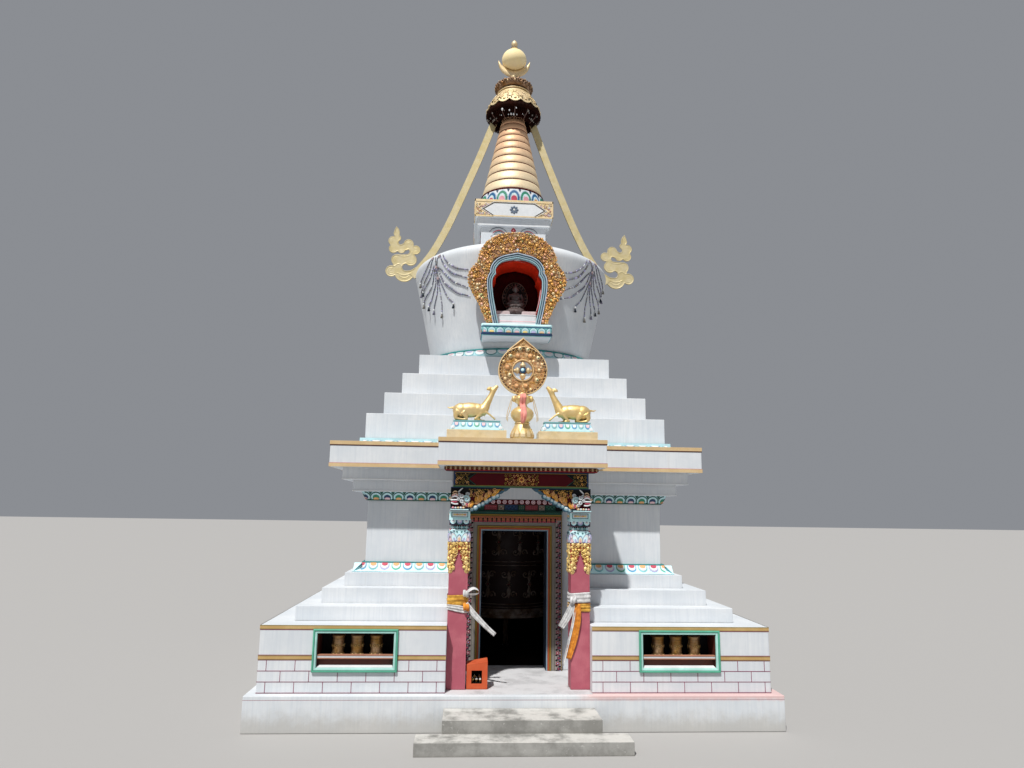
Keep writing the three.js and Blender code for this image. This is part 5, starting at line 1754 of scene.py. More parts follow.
def niche_arch(grow=0.0, foot=OPENING_FOOT, foot_half=OPENING_FOOT_HALF):
    """The trefoil opening, from its right foot over the rounded head to its left foot."""
    half, springing, shoulder = 0.40, 6.27, (0.342, 6.410)
    right = [(foot_half, foot)]
    right += bezier(6, right[0], (half + 0.005, springing - 0.18), (half, springing))
    right += bezier(4, (half, springing), (half, springing + 0.09), shoulder)
    head = [shoulder, (0.352, 6.465), (0.335, 6.522), (0.282, 6.588),
            (0.195, 6.636), (0.085, 6.662), (0.0, 6.682)]
    right += spline(head, 2)[1:]
    right = [(u + grow * min(u / 0.25, 1), v + grow * max(min((v - springing) / 0.35, 1), 0))
             for u, v in right]
    return right + [(-u, v) for u, v in reversed(right[:-1])]


def surround_edge():
    """The carved surround's outer edge, from its right foot over the rounded top to its left foot."""
    bends = [(0.455, 5.58), (0.590, 5.90), (0.755, 6.20), (0.780, 6.34), (0.752, 6.46), (0.635, 6.600),
             (0.612, 6.73), (0.525, 6.910), (0.320, 7.060), (0.12, 7.105), (0.0, 7.115)]
    right = spline(bends, 3)
    return right + [(-u, v) for u, v in reversed(right[:-1])]


def dome_shell():
    """The dome with its niche cut out."""
    shape = Shape()
    shape.turned([(0.0, 5.120), *spline(DOME_BENDS, 3), (0.0, 7.280)], LIMEWASH, segments=128)
    dome = shape.build("dome_shell", slot="limewash", stands_for=["dome"])
    cutter = Shape()
    cutter.prism(niche_arch(0.0, NICHE_FLOOR, 0.335), 1.195, 1.90, LIMEWASH, wall(0, 0.0))
    tool = cutter.build("niche_cutter")
    opening = dome.modifiers.new("niche", "BOOLEAN")
    opening.object = tool
    opening.solver = "EXACT"
    keep_modified(dome)
    bpy.data.objects.remove(tool)


def niche_lining():
    """Red lining of the niche, with its near-black back, painted shade, and pale jambs."""
    shape = Shape()
    deep = wall(0, 0.0)
    skin = 0.006
    room = niche_arch(-0.001, NICHE_FLOOR + 0.001, 0.334)
    shape.moulding(room, [(0.0, 1.20), (0.0, 1.705), (-skin, 1.705), (-skin, 1.20)], NICHE_RED, deep)
    # Painted shade: the near-black back and the strip of floor before it.
    shape.prism(inset(room, 0.001), 1.197, 1.206, NICHE_BACK_SHADE, deep)
    shape.slab(-0.328, 0.328, NICHE_FLOOR + 0.001, NICHE_FLOOR + 0.005, 1.20, 1.36, NICHE_BACK_SHADE, deep)
    jamb = [p for p in niche_arch(-0.007, NICHE_FLOOR + 0.03, 0.337) if p[1] < 6.25]
    for side in (1, -1):
        line = [p for p in jamb if p[0] * side > 0]
        shape.moulding(line, [(0.0, 1.56), (0.0, 1.704), (-skin, 1.704), (-skin, 1.56)], SOFT_PINK, deep)
    shape.build("niche_lining", slot="crimson_paint")


def niche_bench():
    """The pale bench in the niche, stepped out towards its top."""
    bench = Shape()
    deep = wall(0, 0.0)
    bench.slab(-0.335, 0.335, OPENING_FOOT + 0.001, 5.815, 1.36, 1.560, WHITE, deep, edge=0.006)
    bench.slab(-0.348, 0.348, 5.815, NICHE_FLOOR + 0.056, 1.22, 1.545, MAUVE, deep, edge=0.012)
    bench.slab(-0.335, 0.335, 5.806, 5.824, 1.40, 1.568, WHITE, deep, edge=0.006)
    bench.slab(-0.330, 0.330, 5.700, 5.716, 1.40, 1.563, SOFT_PINK, deep, edge=0.003)
    bench.build("niche_bench", slot="limewash")


def niche_trim():
    """The painted bands round the niche's mouth."""
    trim = Shape()
    deep = wall(0, 0.0)
    bands = ((0.068, 0.084, 0.030, LAVENDER), (0.052, 0.068, 0.013, SLATE_BLUE),
             (0.030, 0.052, 0.019, PALE_GREY_BLUE), (0.018, 0.030, 0.011, SLATE_BLUE),
             (0.000, 0.018, 0.022, GREY_AQUA))
    for near, far, lift, mark in bands:
        edge = 0.005
        profile = [(far, -0.10), (far, lift - edge), (far - edge, lift), (near + edge, lift),
                   (near, lift - edge), (near, -0.02 if near == 0 else -0.10)]
        trim.moulding(niche_arch(), profile, mark, moved(deep, dw=NICHE_FRONT))
    leaf(trim, moved(deep, 0, 6.775, dw=1.835), 0.075, 0.050, LAVENDER, 0.4)
    neck = niche_arch(0.0, NICHE_FLOOR - 0.002, 0.345)
    trim.moulding(neck, [(0.085, 1.36), (0.085, 1.72), (0.0, 1.72), (0.0, 1.36)], NICHE_RED, deep)
    trim.build("niche_trim", slot="lotus_paint")


def niche_surround():
    """Dense gilded carving in knobs, curls and rosettes, a few of them tinted and some pale gold as painted
    highlights, on a brown ground.
    """
    dice = random.Random(21)
    shape = Shape()
    count = 96
    inner, outer = evenly(niche_arch(0.084), count), evenly(surround_edge(), count)
    front = moved(wall(0, 0.0), dw=NICHE_FRONT)

    def across(i, s):
        """A spot between the two edges, at step i along them."""
        p = inner[i].lerp(outer[i], s)
        return p[0], p[1]
    for k in range(count):
        quad = [across(k, 0), across(k, 1), across(k + 1, 1), across(k + 1, 0)]
        ring = [(u, v, w) for w in (-0.148, 0.004) for u, v in quad]
        faces = [[4, 5, 6, 7], [3, 2, 1, 0], [1, 2, 6, 5], [3, 0, 4, 7]]
        if k == 0:
            faces.append([0, 1, 5, 4])
        if k == count - 1:
            faces.append([2, 3, 7, 6])
        shape.add(ring, faces, CARVED_GROUND, False, front)

    def metal():
        """A metal for a curl or rosette."""
        return dice.choices((CARVED_GOLD, PALE_GOLD, COPPER, OLIVE_GOLD), (12, 2, 3, 1))[0]

    def bright():
        """A metal for a knob or bead: pale gold as painted highlights; pink, green and copper as tints."""
        return dice.choices((CARVED_GOLD, PALE_GOLD, PINK_GOLD, GREEN_GOLD, COPPER), (8, 4, 3, 1.6, 2))[0]

    def knob(spot, size):
        """A big knob ringed with small beads, or a curl with a bead beside it."""
        kind = dice.random()
        if kind < 0.34:
            shape.ball((0, 0, size * 0.2), (size * 0.46, size * 0.44, size * 0.42), bright(), spot, 12, 7)
            ring = [*circle(size * 0.62, 9), (size * 0.62, 0)]
            bead_row(shape, spot, ring, size * 0.44, size * 0.16, (CARVED_GOLD,))
        elif kind < 0.62:
            rosette(shape, spot, size * 0.62, metal(), bright(), 5)
        else:
            scroll(shape, spot, size * 1.25, metal(), 1.2, dice.choice((-1, 1)))
            shape.ball((size * 0.5, size * 0.3, size * 0.2), size * 0.24, bright(), spot, 8, 5)
    rows = ((0.09, 0.046), (0.24, 0.058), (0.40, 0.062), (0.56, 0.062), (0.71, 0.058), (0.85, 0.052),
            (0.96, 0.042))
    for s, spacing in rows:
        line = [across(i, s) for i in range(count + 1)]
        for p in evenly(line, round(path_length(line) / spacing)):
            u, v = p[0] + dice.uniform(-0.011, 0.011), p[1] + dice.uniform(-0.011, 0.011)
            if v < OPENING_FOOT + 0.015:
                continue
            knob(moved(front, u, v, dice.uniform(0, math.tau), dw=0.006), spacing * dice.uniform(0.66, 1.0))
    edge_line = [across(i, 1.0) for i in range(count + 1)]
    for p in evenly(edge_line, round(path_length(edge_line) / 0.058)):
        size = 0.021 * dice.uniform(0.8, 1.2)
        spot = moved(front, p[0], p[1], dw=-0.025)
        shape.ball((0, 0, 0), (size, size, size * 1.4), metal(), spot, 10, 6)
        # A pale gold cap on each edge bead is a painted highlight.
        shape.ball((0, 0, size * 1.2), size * 0.45, PALE_GOLD, spot, 7, 4)
    shape.build("niche_surround_carving", slot="carved_gold", stands_for=["niche_frame"])


def niche_sill():
    """The lotus shelf under the niche: a pale ledge, upright petals and a thick dark blue foot."""
    shape = Shape()
    low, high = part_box("niche_sill")
    half, front, foot, top = high.x, -low.y, low.z, high.z
    sets = [((1.0, TEAL), (0.88, PALE_AQUA), ((0.66, 0.62), GREY_AQUA), ((0.58, 0.36), heart))
            for heart in (SOFT_PINK, YELLOW, LILAC, SOFT_PEACH)]
    depth = 0.42
    faces = [(wall(0, front), half), (wall(1, half, (0, depth / 2 - front)), depth / 2),
             (wall(3, half, (0, depth / 2 - front)), depth / 2)]
    for place, reach in faces:
        shape.slab(-reach, reach, top - 0.040, top + 0.002, SUNK, 0.016, CAPITAL_AQUA, place, edge=0.012)
        shape.slab(-reach, reach, top - 0.052, top - 0.040, SUNK, 0.010, BLUE, place, edge=0.004)
        shape.slab(-reach, reach, foot + 0.040, top - 0.044, SUNK, 0.003, AQUA, place)
        shape.slab(-reach, reach, foot + 0.008, foot + 0.060, SUNK, 0.018, DARK_BLUE, place, edge=0.016)
        shape.slab(-reach, reach, foot, foot + 0.016, SUNK, 0.006, AQUA, place, edge=0.004)
        lotus_row(shape, place, reach - 0.020, 0.125, foot + 0.054, 0.092, sets, lift=0.020)
    shape.build("niche_sill_petals", slot="lotus_paint")


def seated_figure():
    """A small bronze figure of no one in particular, cross-legged."""
    seat_top = NICHE_FLOOR + 0.100

    def at(u, v, w):
        return (u, FIGURE_Y - w, seat_top + v)
    shape = Shape()
    forms = [
        ((0, 0.115, 0.0), (0.145, 0.040, 0.095)), ((0.085, 0.105, 0.05), (0.075, 0.034, 0.050)),
        ((-0.085, 0.105, 0.05), (0.075, 0.034, 0.050)), ((0, 0.19, -0.005), (0.088, 0.085, 0.050)),
        ((0, 0.265, -0.008), (0.088, 0.050, 0.050)), ((0, 0.318, 0.0), (0.026, 0.030, 0.026)),
        ((0, 0.372, 0.002), (0.043, 0.052, 0.046)), ((0, 0.428, -0.006), (0.026, 0.024, 0.026)),
        ((0, 0.458, -0.006), (0.009, 0.020, 0.009)), ((0.046, 0.368, -0.004), (0.008, 0.026, 0.012)),
        ((-0.046, 0.368, -0.004), (0.008, 0.026, 0.012)), ((0, 0.140, 0.075), (0.045, 0.014, 0.030)),
    ]
    for centre, radii in forms:
        shape.ball(centre, radii, SHADED_FIGURE_BRONZE, at, 16, 10)
    for hand in (-1, 1):
        arm = [(hand * 0.085, 0.280, 0.0), (hand * 0.112, 0.215, 0.005), (hand * 0.095, 0.160, 0.035),
               (hand * 0.030, 0.148, 0.078)]
        shape.tube(spline(arm, 4), [0.026 - 0.0008 * i for i in range(13)], SHADED_FIGURE_BRONZE, at, 8)
        shape.ball((hand * 0.016, 0.382, 0.041), (0.010, 0.0045, 0.006), SHADED_FIGURE_BRONZE, at, 8, 5)
    shape.ball((0, 0.370, 0.046), (0.0065, 0.013, 0.009), SHADED_FIGURE_BRONZE, at, 8, 5)
    shape.ball((0, 0.350, 0.041), (0.012, 0.004, 0.006), SHADED_FIGURE_BRONZE, at, 8, 5)
    figure = shape.build("seated_figure", slot="figure_bronze", stands_for=["niche_figure"])
    blend_skin(figure, 0.005, 2)


def lotus_seat():
    """The figure's lotus seat, and the tall dark halo behind it."""
    seat = Shape()
    rises = ((0.0, 0.0), (0.190, 0.0), (0.196, 0.08), (0.160, 0.09), (0.150, 0.115), (0.120, 0.135),
             (0.150, 0.172), (0.140, 0.184), (0.0, 0.184))
    seat.turned([(r, NICHE_FLOOR + rise) for r, rise in rises], SHADED_FIGURE_BRONZE, (0, FIGURE_Y), 40)
    waist, leaves = 0.132, 18
    ring = round_wall(lambda z: waist, (0, FIGURE_Y))
    for i in range(leaves):
        upright = moved(ring, i * math.tau * waist / leaves, NICHE_FLOOR + 0.138)
        hanging = moved(ring, (i + 0.5) * math.tau * waist / leaves, NICHE_FLOOR + 0.136, math.pi)
        leaf(seat, upright, 0.040, 0.044, SHADED_FIGURE_BRONZE)
        leaf(seat, hanging, 0.036, 0.044, SHADED_FIGURE_BRONZE)
    halo = moved(wall(0, 1.245), 0, NICHE_FLOOR + 0.36)
    disc = [(u, v * (1.30 if v > 0 else 1.12)) for u, v in circle(0.215, 48)]
    seat.prism(disc, 0.0, 0.010, BLACK, halo, 0.004)
    # The halo's lines and leaves are gold darkened as painted shade.
    for share, half in ((0.96, 0.010), (0.72, 0.007)):
        line = [(half, 0.008), (0.0, 0.008 + half), (-half, 0.008)]
        seat.moulding([(u * share, v * share) for u, v in disc], line, SHADED_GOLD, halo, closed=True)
    for i in range(24):
        u, v = disc[2 * i]
        spot = moved(halo, u * 0.78, v * 0.78, math.atan2(v, u) - math.pi / 2, dw=0.006)
        leaf(seat, spot, 0.036, 0.026, SHADED_GOLD)
    seat.build("figure_lotus_seat", slot="figure_bronze")


dome_shell()
niche_lining()
niche_bench()
niche_trim()
niche_surround()
niche_sill()
seated_figure()
lotus_seat()


# Bead garlands on the dome, each a list of (degrees from its knot, height). The first eight strings hang
# free and end in a tassel; the swags run on to the side.
KNOT_ANGLE = 50
KNOTS = ((-3, 6.905), (3, 6.905), (0, 6.73), (0, 6.545))
TASSELLED = 8
SWAGS = [
    [(6, 6.90), (9, 6.76), (12, 6.69), (16, 6.62), (22, 6.58)],
    [(4, 6.90), (6, 6.76), (9, 6.64), (12, 6.56), (18, 6.49), (21, 6.45)],
    [(1, 6.73), (4, 6.66), (8, 6.53), (12, 6.42), (17, 6.35), (21, 6.29)],
    [(1, 6.72), (3, 6.54), (5, 6.44), (9, 6.34), (14, 6.23), (18, 6.19), (22, 6.15)],
]
STRINGS = [
    [(1, 6.54), (3, 6.38), (6, 6.20), (10, 6.09)], [(0, 6.55), (0, 6.37), (0, 6.23), (0, 6.10), (-1, 5.98)],
    [(-1, 6.54), (-2, 6.38), (-4, 6.27), (-7, 6.16), (-9, 6.08)],
    [(-1, 6.72), (-3, 6.48), (-6, 6.37), (-10, 6.25), (-15, 6.18)],
    [(-2, 6.72), (-6, 6.50), (-11, 6.40), (-17, 6.35), (-23, 6.28)],
    [(-2, 6.90), (-7, 6.73), (-13, 6.63), (-20, 6.54), (-24, 6.48)],
    [(-2, 6.77), (-8, 6.60), (-14, 6.52), (-20, 6.47)], [(-4, 6.90), (-10, 6.78), (-16, 6.70), (-22, 6.64)],
    [(2, 6.90), (1, 6.80), (0, 6.70), (0, 6.60), (0, 6.50)], [(0, 6.90), (0, 6.80), (-1, 6.70), (0, 6.56)],
]


def tassel(shape, end, mark):
    """A bead with six short strands under it."""
    shape.ball(tuple(end + Vector((0, 0, -0.020))), (0.020, 0.020, 0.018), WHITE, None, 8, 5)
    for strand in range(6):
        a = math.tau * strand / 6
        foot = end + Vector((0.016 * math.cos(a), 0.016 * math.sin(a), -0.100))
        shape.tube([tuple(end + Vector((0, 0, -0.03))), tuple(foot)], [0.006, 0.008], mark, None, 5)


def garlands():
    """Strings of dark beads gathered at four knots below the dome's shoulder."""
    shape = Shape()
    dice = random.Random(17)
    place = round_wall(dome_radius, u_radius=1.0)
    strings = SWAGS + STRINGS
    for facing in (1, -1):
        for hand in (1, -1):
            def on_dome(turn, z, w):
                """A spot on the dome, turned from the knot by degrees."""
                angle = hand * math.radians(KNOT_ANGLE - turn)
                return place(angle if facing > 0 else math.pi - angle, z, w)
            for k, bends in enumerate(strings):
                curve = [on_dome(turn, z, 0.006) for turn, z in spline(bends, 5)]
                count = round(path_length(curve) / 0.024)
                swag = k < len(SWAGS)
                for i, p in enumerate(evenly(curve, count)):
                    thick = 1 + 0.45 * math.sin(math.pi * i / count) ** 2 if swag else 1
                    radius = (0.0122 if i % 2 else 0.0096) * thick
                    mark = dice.choices((BEAD_DARK, GREY_BLUE, WHITE, LILAC, TAUPE), (10, 3, 2, 3, 2))[0]
                    shape.ball(tuple(p), (radius, radius, radius * 1.15), mark, None, 6, 4)
                if not swag and k < len(SWAGS) + TASSELLED:
                    end = Vector(on_dome(*bends[-1], 0.010))
                    tassel(shape, end, (BEAD_DARK, SLATE, TAUPE)[k % 3])
            for turn, z in KNOTS:
                def knot(u, v, w, t=turn, h=z):
                    return on_dome(t + math.degrees(u) / 1.7, h + v, w + 0.008)
                rosette(shape, knot, 0.034, MAUVE, SOFT_PINK, 6)
    shape.build("dome_garlands", slot="carved_gold")


garlands()


# Box above the dome.
def harmika_faces():
    """Gold-framed head with a white pointed panel, corner filigree and a flower, on all four sides."""
    dice = random.Random(31)
    shape = Shape()
    foot, top, middle = BOX_HEAD_FOOT, BOX_HEAD_TOP, 8.005
    for quarter in QUARTERS:
        place = wall(quarter, BOX_HEAD_HALF)
        shape.slab(-0.702, 0.702, foot + 0.001, top - 0.001, SET_IN, 0.002, PALE_GOLD, place)
        shape.slab(-0.704, 0.704, top - 0.046, top, SET_IN, 0.010, PALE_GOLD, place, edge=0.004)
        shape.slab(-0.704, 0.704, foot, foot + 0.030, SET_IN, 0.010, PALE_GOLD, place, edge=0.004)
        for side in (-1, 1):
            u0, u1 = sorted((side * 0.684, side * 0.704))
            shape.slab(u0, u1, foot, top, SET_IN, 0.010, PALE_GOLD, place, edge=0.004)
        panel = [(-0.36, 7.892), (0.36, 7.892), (0.535, middle), (0.36, 8.118), (-0.36, 8.118),
                 (-0.535, middle)]
        shape.prism(panel, SET_IN, 0.004, WHITE, place)
        for reach, lift, mark in ((0.034, 0.010, WHITE), (0.014, 0.006, SLATE)):
            line = [(reach, -0.003), (reach - 0.002, lift), (reach - 0.010, lift), (reach - 0.012, -0.003)]
            shape.moulding(panel, line, mark, place, closed=True)
        for side in (-1, 1):
            for up in (-1, 1):
                for k in range(18):
                    u = 0.45 + 0.225 * dice.random()
                    reach = 0.105 * min((u - 0.40) / 0.18, 1.0)
                    v = middle + up * (0.112 - reach * dice.random() * 0.85)
                    spot = moved(place, side * u, v, dice.uniform(0, math.tau), dw=0.003)
                    mark = (PALE_GOLD, WHITE, PALE_GOLD, SOFT_PINK)[k % 4]
                    scroll(shape, spot, dice.uniform(0.032, 0.046), mark, 1.1, dice.choice((-1, 1)))
            point = [(side * 0.60, 7.95), (side * 0.660, middle), (side * 0.60, 8.06)]
            bead_row(shape, moved(place, dw=0.002), point, 0.026, 0.011, (PALE_GOLD, PINK))
        flower = moved(place, 0, middle, dw=0.004)
        for i in range(8):
            a = i * math.pi / 4
            spot = moved(flower, 0.024 * math.cos(a), 0.024 * math.sin(a), a - math.pi / 2)
            leaf(shape, spot, 0.058, 0.044, GREY_BLUE)
            leaf(shape, moved(spot, dw=0.004), 0.034, 0.020, PALE_GREY_BLUE)
        shape.ball((0, 0, 0.006), (0.021, 0.021, 0.012), WHITE, flower, 12, 5)
    shape.build("harmika_head_panels", slot="gilt")


def harmika_eyes():
    """Painted brows, eyes, a red drop and a nose line on all four sides of the box; no face in particular."""
    shape = Shape()
    lift = 0.004
    for quarter in QUARTERS:
        place = wall(quarter, BOX_HALF)

        def stroke(points, thick, mark):
            """A brush stroke that thins towards both ends."""
            line = [(u, v, lift * 0.6) for u, v in spline(points, 5)]
            last = len(line) - 1
            radii = [thick * (0.35 + 0.65 * math.sin(math.pi * i / last)) for i in range(len(line))]
            shape.tube(line, radii, mark, place, 6)
        for side in (-1, 1):
            def mirrored(points):
                return [(side * u, v) for u, v in points]
            brow = [(0.435, 7.612), (0.385, 7.672), (0.29, 7.704), (0.185, 7.684), (0.120, 7.622)]
            stroke(mirrored(brow), 0.0075, BROW_GREY)
            stroke(mirrored([(0.375, 7.592), (0.32, 7.637), (0.24, 7.652), (0.16, 7.602)]), 0.008, ROSE)
            stroke(mirrored([(0.350, 7.586), (0.30, 7.618), (0.24, 7.628), (0.18, 7.596)]), 0.006, TEAL)
            eye = [(0.41, 7.535), (0.35, 7.570), (0.27, 7.586), (0.19, 7.572), (0.125, 7.530)]
            lower = [(0.125, 7.530), (0.19, 7.520), (0.27, 7.515), (0.35, 7.520), (0.41, 7.535)]
            outline = mirrored(spline(lower, 3)[:-1] + spline(eye, 3)[:-1])
            shape.prism(outline if side > 0 else outline[::-1], -0.002, 0.003, WHITE, place)
            stroke(mirrored(eye), 0.007, BROW_GREY)
            stroke(mirrored(lower), 0.004, RED)
            shape.prism(circle(0.026, 16, (side * 0.265, 7.548)), 0, 0.0045, TEAL, place)
            shape.prism(circle(0.013, 12, (side * 0.265, 7.548)), 0, 0.006, BROW_GREY, place)
        drop = [(0.0, 7.630), (0.038, 7.640), (0.045, 7.660), (0.026, 7.690), (0.0, 7.714), (-0.026, 7.690),
                (-0.045, 7.660), (-0.038, 7.640)]
        shape.prism(drop, -0.002, 0.006, RED, place, 0.003)
        shape.ball((0, 7.662, 0.004), (0.016, 0.015, 0.006), PINK, place, 10, 5)
        nose = [(0.0, 7.50, 0.003), (0.045, 7.47, 0.003), (0.040, 7.425, 0.003), (0.0, 7.405, 0.003),
                (-0.028, 7.425, 0.003), (-0.018, 7.448, 0.003), (0.002, 7.440, 0.003)]
        shape.tube(spline(nose, 4), 0.006, RED, place, 6)
    shape.build("harmika_eyes")


harmika_faces()
harmika_eyes()


# Spire, parasol, crown and finial.
def spire_rings():
    """Thirteen rolled rings that shrink upwards, with a thin dark red joint between each two."""
    rings, foot_r, top_r, foot, top = 13, 0.572, 0.150, RINGS_FOOT, 10.43
    first, shrink = 0.203, 0.948
    total = first * (1 - shrink ** rings) / (1 - shrink)
    scale = (top - foot) / total
    swell = ((0.0, -0.016), (0.05, -0.016), (0.085, -0.002), (0.16, 0.006),
             (0.45, 0.009), (0.75, 0.006), (0.97, 0.0))

    def taper(z):
        """The spire's radius at a height, without its rings."""
        return foot_r + (top_r - foot_r) * (z - foot) / (top - foot)
    profile, marks = [(0.0, foot)], [SPIRE_GROOVE]
    z = foot
    for i in range(rings):
        rise = first * scale * shrink ** i
        for share, out in swell:
            profile.append((taper(z + rise * share) + out, z + rise * share))
            marks.append(SPIRE_GROOVE if share < 0.08 or share > 0.9 else SPIRE_GOLD)
        z += rise
    profile += [(top_r, top), (0.0, top)]
    marks += [SPIRE_GOLD]
    shape = Shape()
    shape.turned(profile, segments=96, marks=marks)
    shape.build("spire_rings", slot="gilt", stands_for=["spire"])


def parasol_valance():
    """A pleated near-black valance in painted shade, with a fringe that closes on the spire and a few bead
    drops, white in front as painted glints.
    """
    shape = Shape()
    pleats = 44

    def pleat(a, z):
        """How far a pleat swells or narrows the valance."""
        return 1 + 0.020 * math.sin(a * pleats) * min((10.40 - z) / 0.3, 1)
    outside = [(0.500, 10.170), (0.528, 10.200), (0.528, 10.235), (0.512, 10.285), (0.496, 10.330)]
    inside = [(0.270, 10.320), (0.465, 10.320), (0.490, 10.260), (0.480, 10.170)]
    shape.turned([*inside, *outside, (0.27, 10.350)], VALANCE, segments=264, ripple=pleat)
    fringe = [(0.27, 10.28), (0.330, 10.055), (0.345, 10.050), (0.400, 10.085), (0.455, 10.130),
              (0.492, 10.180), (0.490, 10.220)]
    shape.turned(fringe, VALANCE, segments=264, ripple=pleat)
    strands = 72
    for i in range(strands):
        a = math.tau * i / strands
        fall = ((0.500, 10.21), (0.470, 10.12), (0.400, 10.06), (0.345, 10.02 - 0.012 * (i % 3)))
        path = [(r * math.sin(a), -r * math.cos(a), z) for r, z in fall]
        shape.tube(spline(path, 3), 0.009, BRONZE if i % 6 == 0 else VALANCE, None, 5)
    drops = ((-0.50, 10.130, 0.034), (0.05, 10.135, 0.020), (-0.22, 10.105, 0.024), (-0.16, 10.055, 0.030),
             (-0.05, 10.052, 0.030), (0.10, 10.050, 0.020), (-0.28, 10.052, 0.018), (0.36, 10.070, 0.014),
             (-0.62, 10.060, 0.016), (0.62, 10.110, 0.012))
    for k in range(6):
        for angle, z, size in drops:
            a = angle + k * math.tau / 6
            r = 0.500 - 0.95 * (10.14 - z)
            spot = (r * math.sin(a), -r * math.cos(a), z)
            # Painted glints: the drops of the front sixth are white, the rest taupe.
            shape.ball(spot, (size * 0.6, size * 0.6, size * 0.8), WHITE if k == 0 else TAUPE, None, 8, 5)
    shape.build("parasol_valance", slot="maroon_paint")


def parasol_skirt():
    """The gilded skirt over the valance: scalloped along its hem, with black discs as painted shade for its
    piercings, and covered with vines.
    """
    skirt = Shape()
    bends = [(0.512, 10.315), (0.490, 10.372), (0.450, 10.450), (0.400, 10.535), (0.345, 10.610),
             (0.300, 10.675)]
    curve = spline(bends, 3)
    lining = [(r - 0.02, z) for r, z in reversed(curve)]
    skirt.turned([*lining, *curve, (0.24, 10.680)], PALE_GOLD, segments=96)

    def skirt_radius(z):
        """The skirt's radius at a height."""
        for (r0, z0), (r1, z1) in zip(curve, curve[1:]):
            if z <= z1:
                return r0 + (r1 - r0) * (z - z0) / (z1 - z0)
        return curve[-1][0]
    lobes = 15
    step = math.tau / lobes
    hem = 10.315
    sheet = round_wall(lambda z: skirt_radius(max(z, hem)), u_radius=1.0)
    bends = ((0.42, 0.05), (0.18, 0.22), (0.34, 0.42), (0.10, 0.60), (0.22, 0.82))
    for i in range(lobes):
        centre = i * step
        lobe = [(centre + step * t, hem + 0.012 - 0.056 * (1 - (2 * t) ** 2))
                for t in [k / 10 - 0.5 for k in range(11)]]
        ends = [(centre + step * 0.5, hem + 0.06), (centre - step * 0.5, hem + 0.06)]
        skirt.prism([*lobe, *ends], SUNK, 0.012, PALE_GOLD, sheet)
        skirt.tube([(u, v, 0.013) for u, v in lobe], 0.009, PALE_GOLD, sheet, 6)
        edge = centre + step * 0.5
        holes = ((edge - 0.075, hem + 0.038, 0.013), (edge + 0.075, hem + 0.038, 0.013),
                 (edge, hem + 0.08, 0.014))
        # Painted shade: the piercings are black discs, not holes.
        for u, v, r in holes:
            hole = [(u + (a - u) * 1.9, b) for a, b in circle(r, 10, (u, v))]
            skirt.prism(hole, 0.0, 0.0145, BLACK, sheet)
        for hand in (-1, 1):
            vine = [(centre + hand * step * s, hem + 0.06 + 0.27 * t, 0.006) for s, t in bends]
            skirt.tube(spline(vine, 3), 0.0065, PALE_GOLD, sheet, 5)
            bud = (centre + hand * step * 0.30, hem + 0.125, 0.004)
            skirt.ball(bud, (0.034, 0.016, 0.010), PALE_GOLD, sheet, 8, 5)
        skirt.ball((centre, hem + 0.035, 0.010), (0.055, 0.022, 0.012), PALE_GOLD, sheet, 8, 5)
        skirt.ball((centre, hem + 0.22, 0.004), (0.040, 0.022, 0.010), PALE_GOLD, sheet, 8, 5)
    skirt.turned([(0.0, 10.675), (0.275, 10.675), (0.262, 10.76), (0.0, 10.76)], BRONZE, segments=64)
    angles = [math.pi * (k / 10 - 0.5) for k in range(11)]
    ring = [(0.295 + 0.026 * math.cos(a), 10.695 + 0.016 * math.sin(a)) for a in angles]
    skirt.turned([(0.25, 10.679), *ring, (0.25, 10.711)], PALE_GOLD, segments=80)
    skirt.build("parasol_skirt", slot="gilt", stands_for=["parasol"])


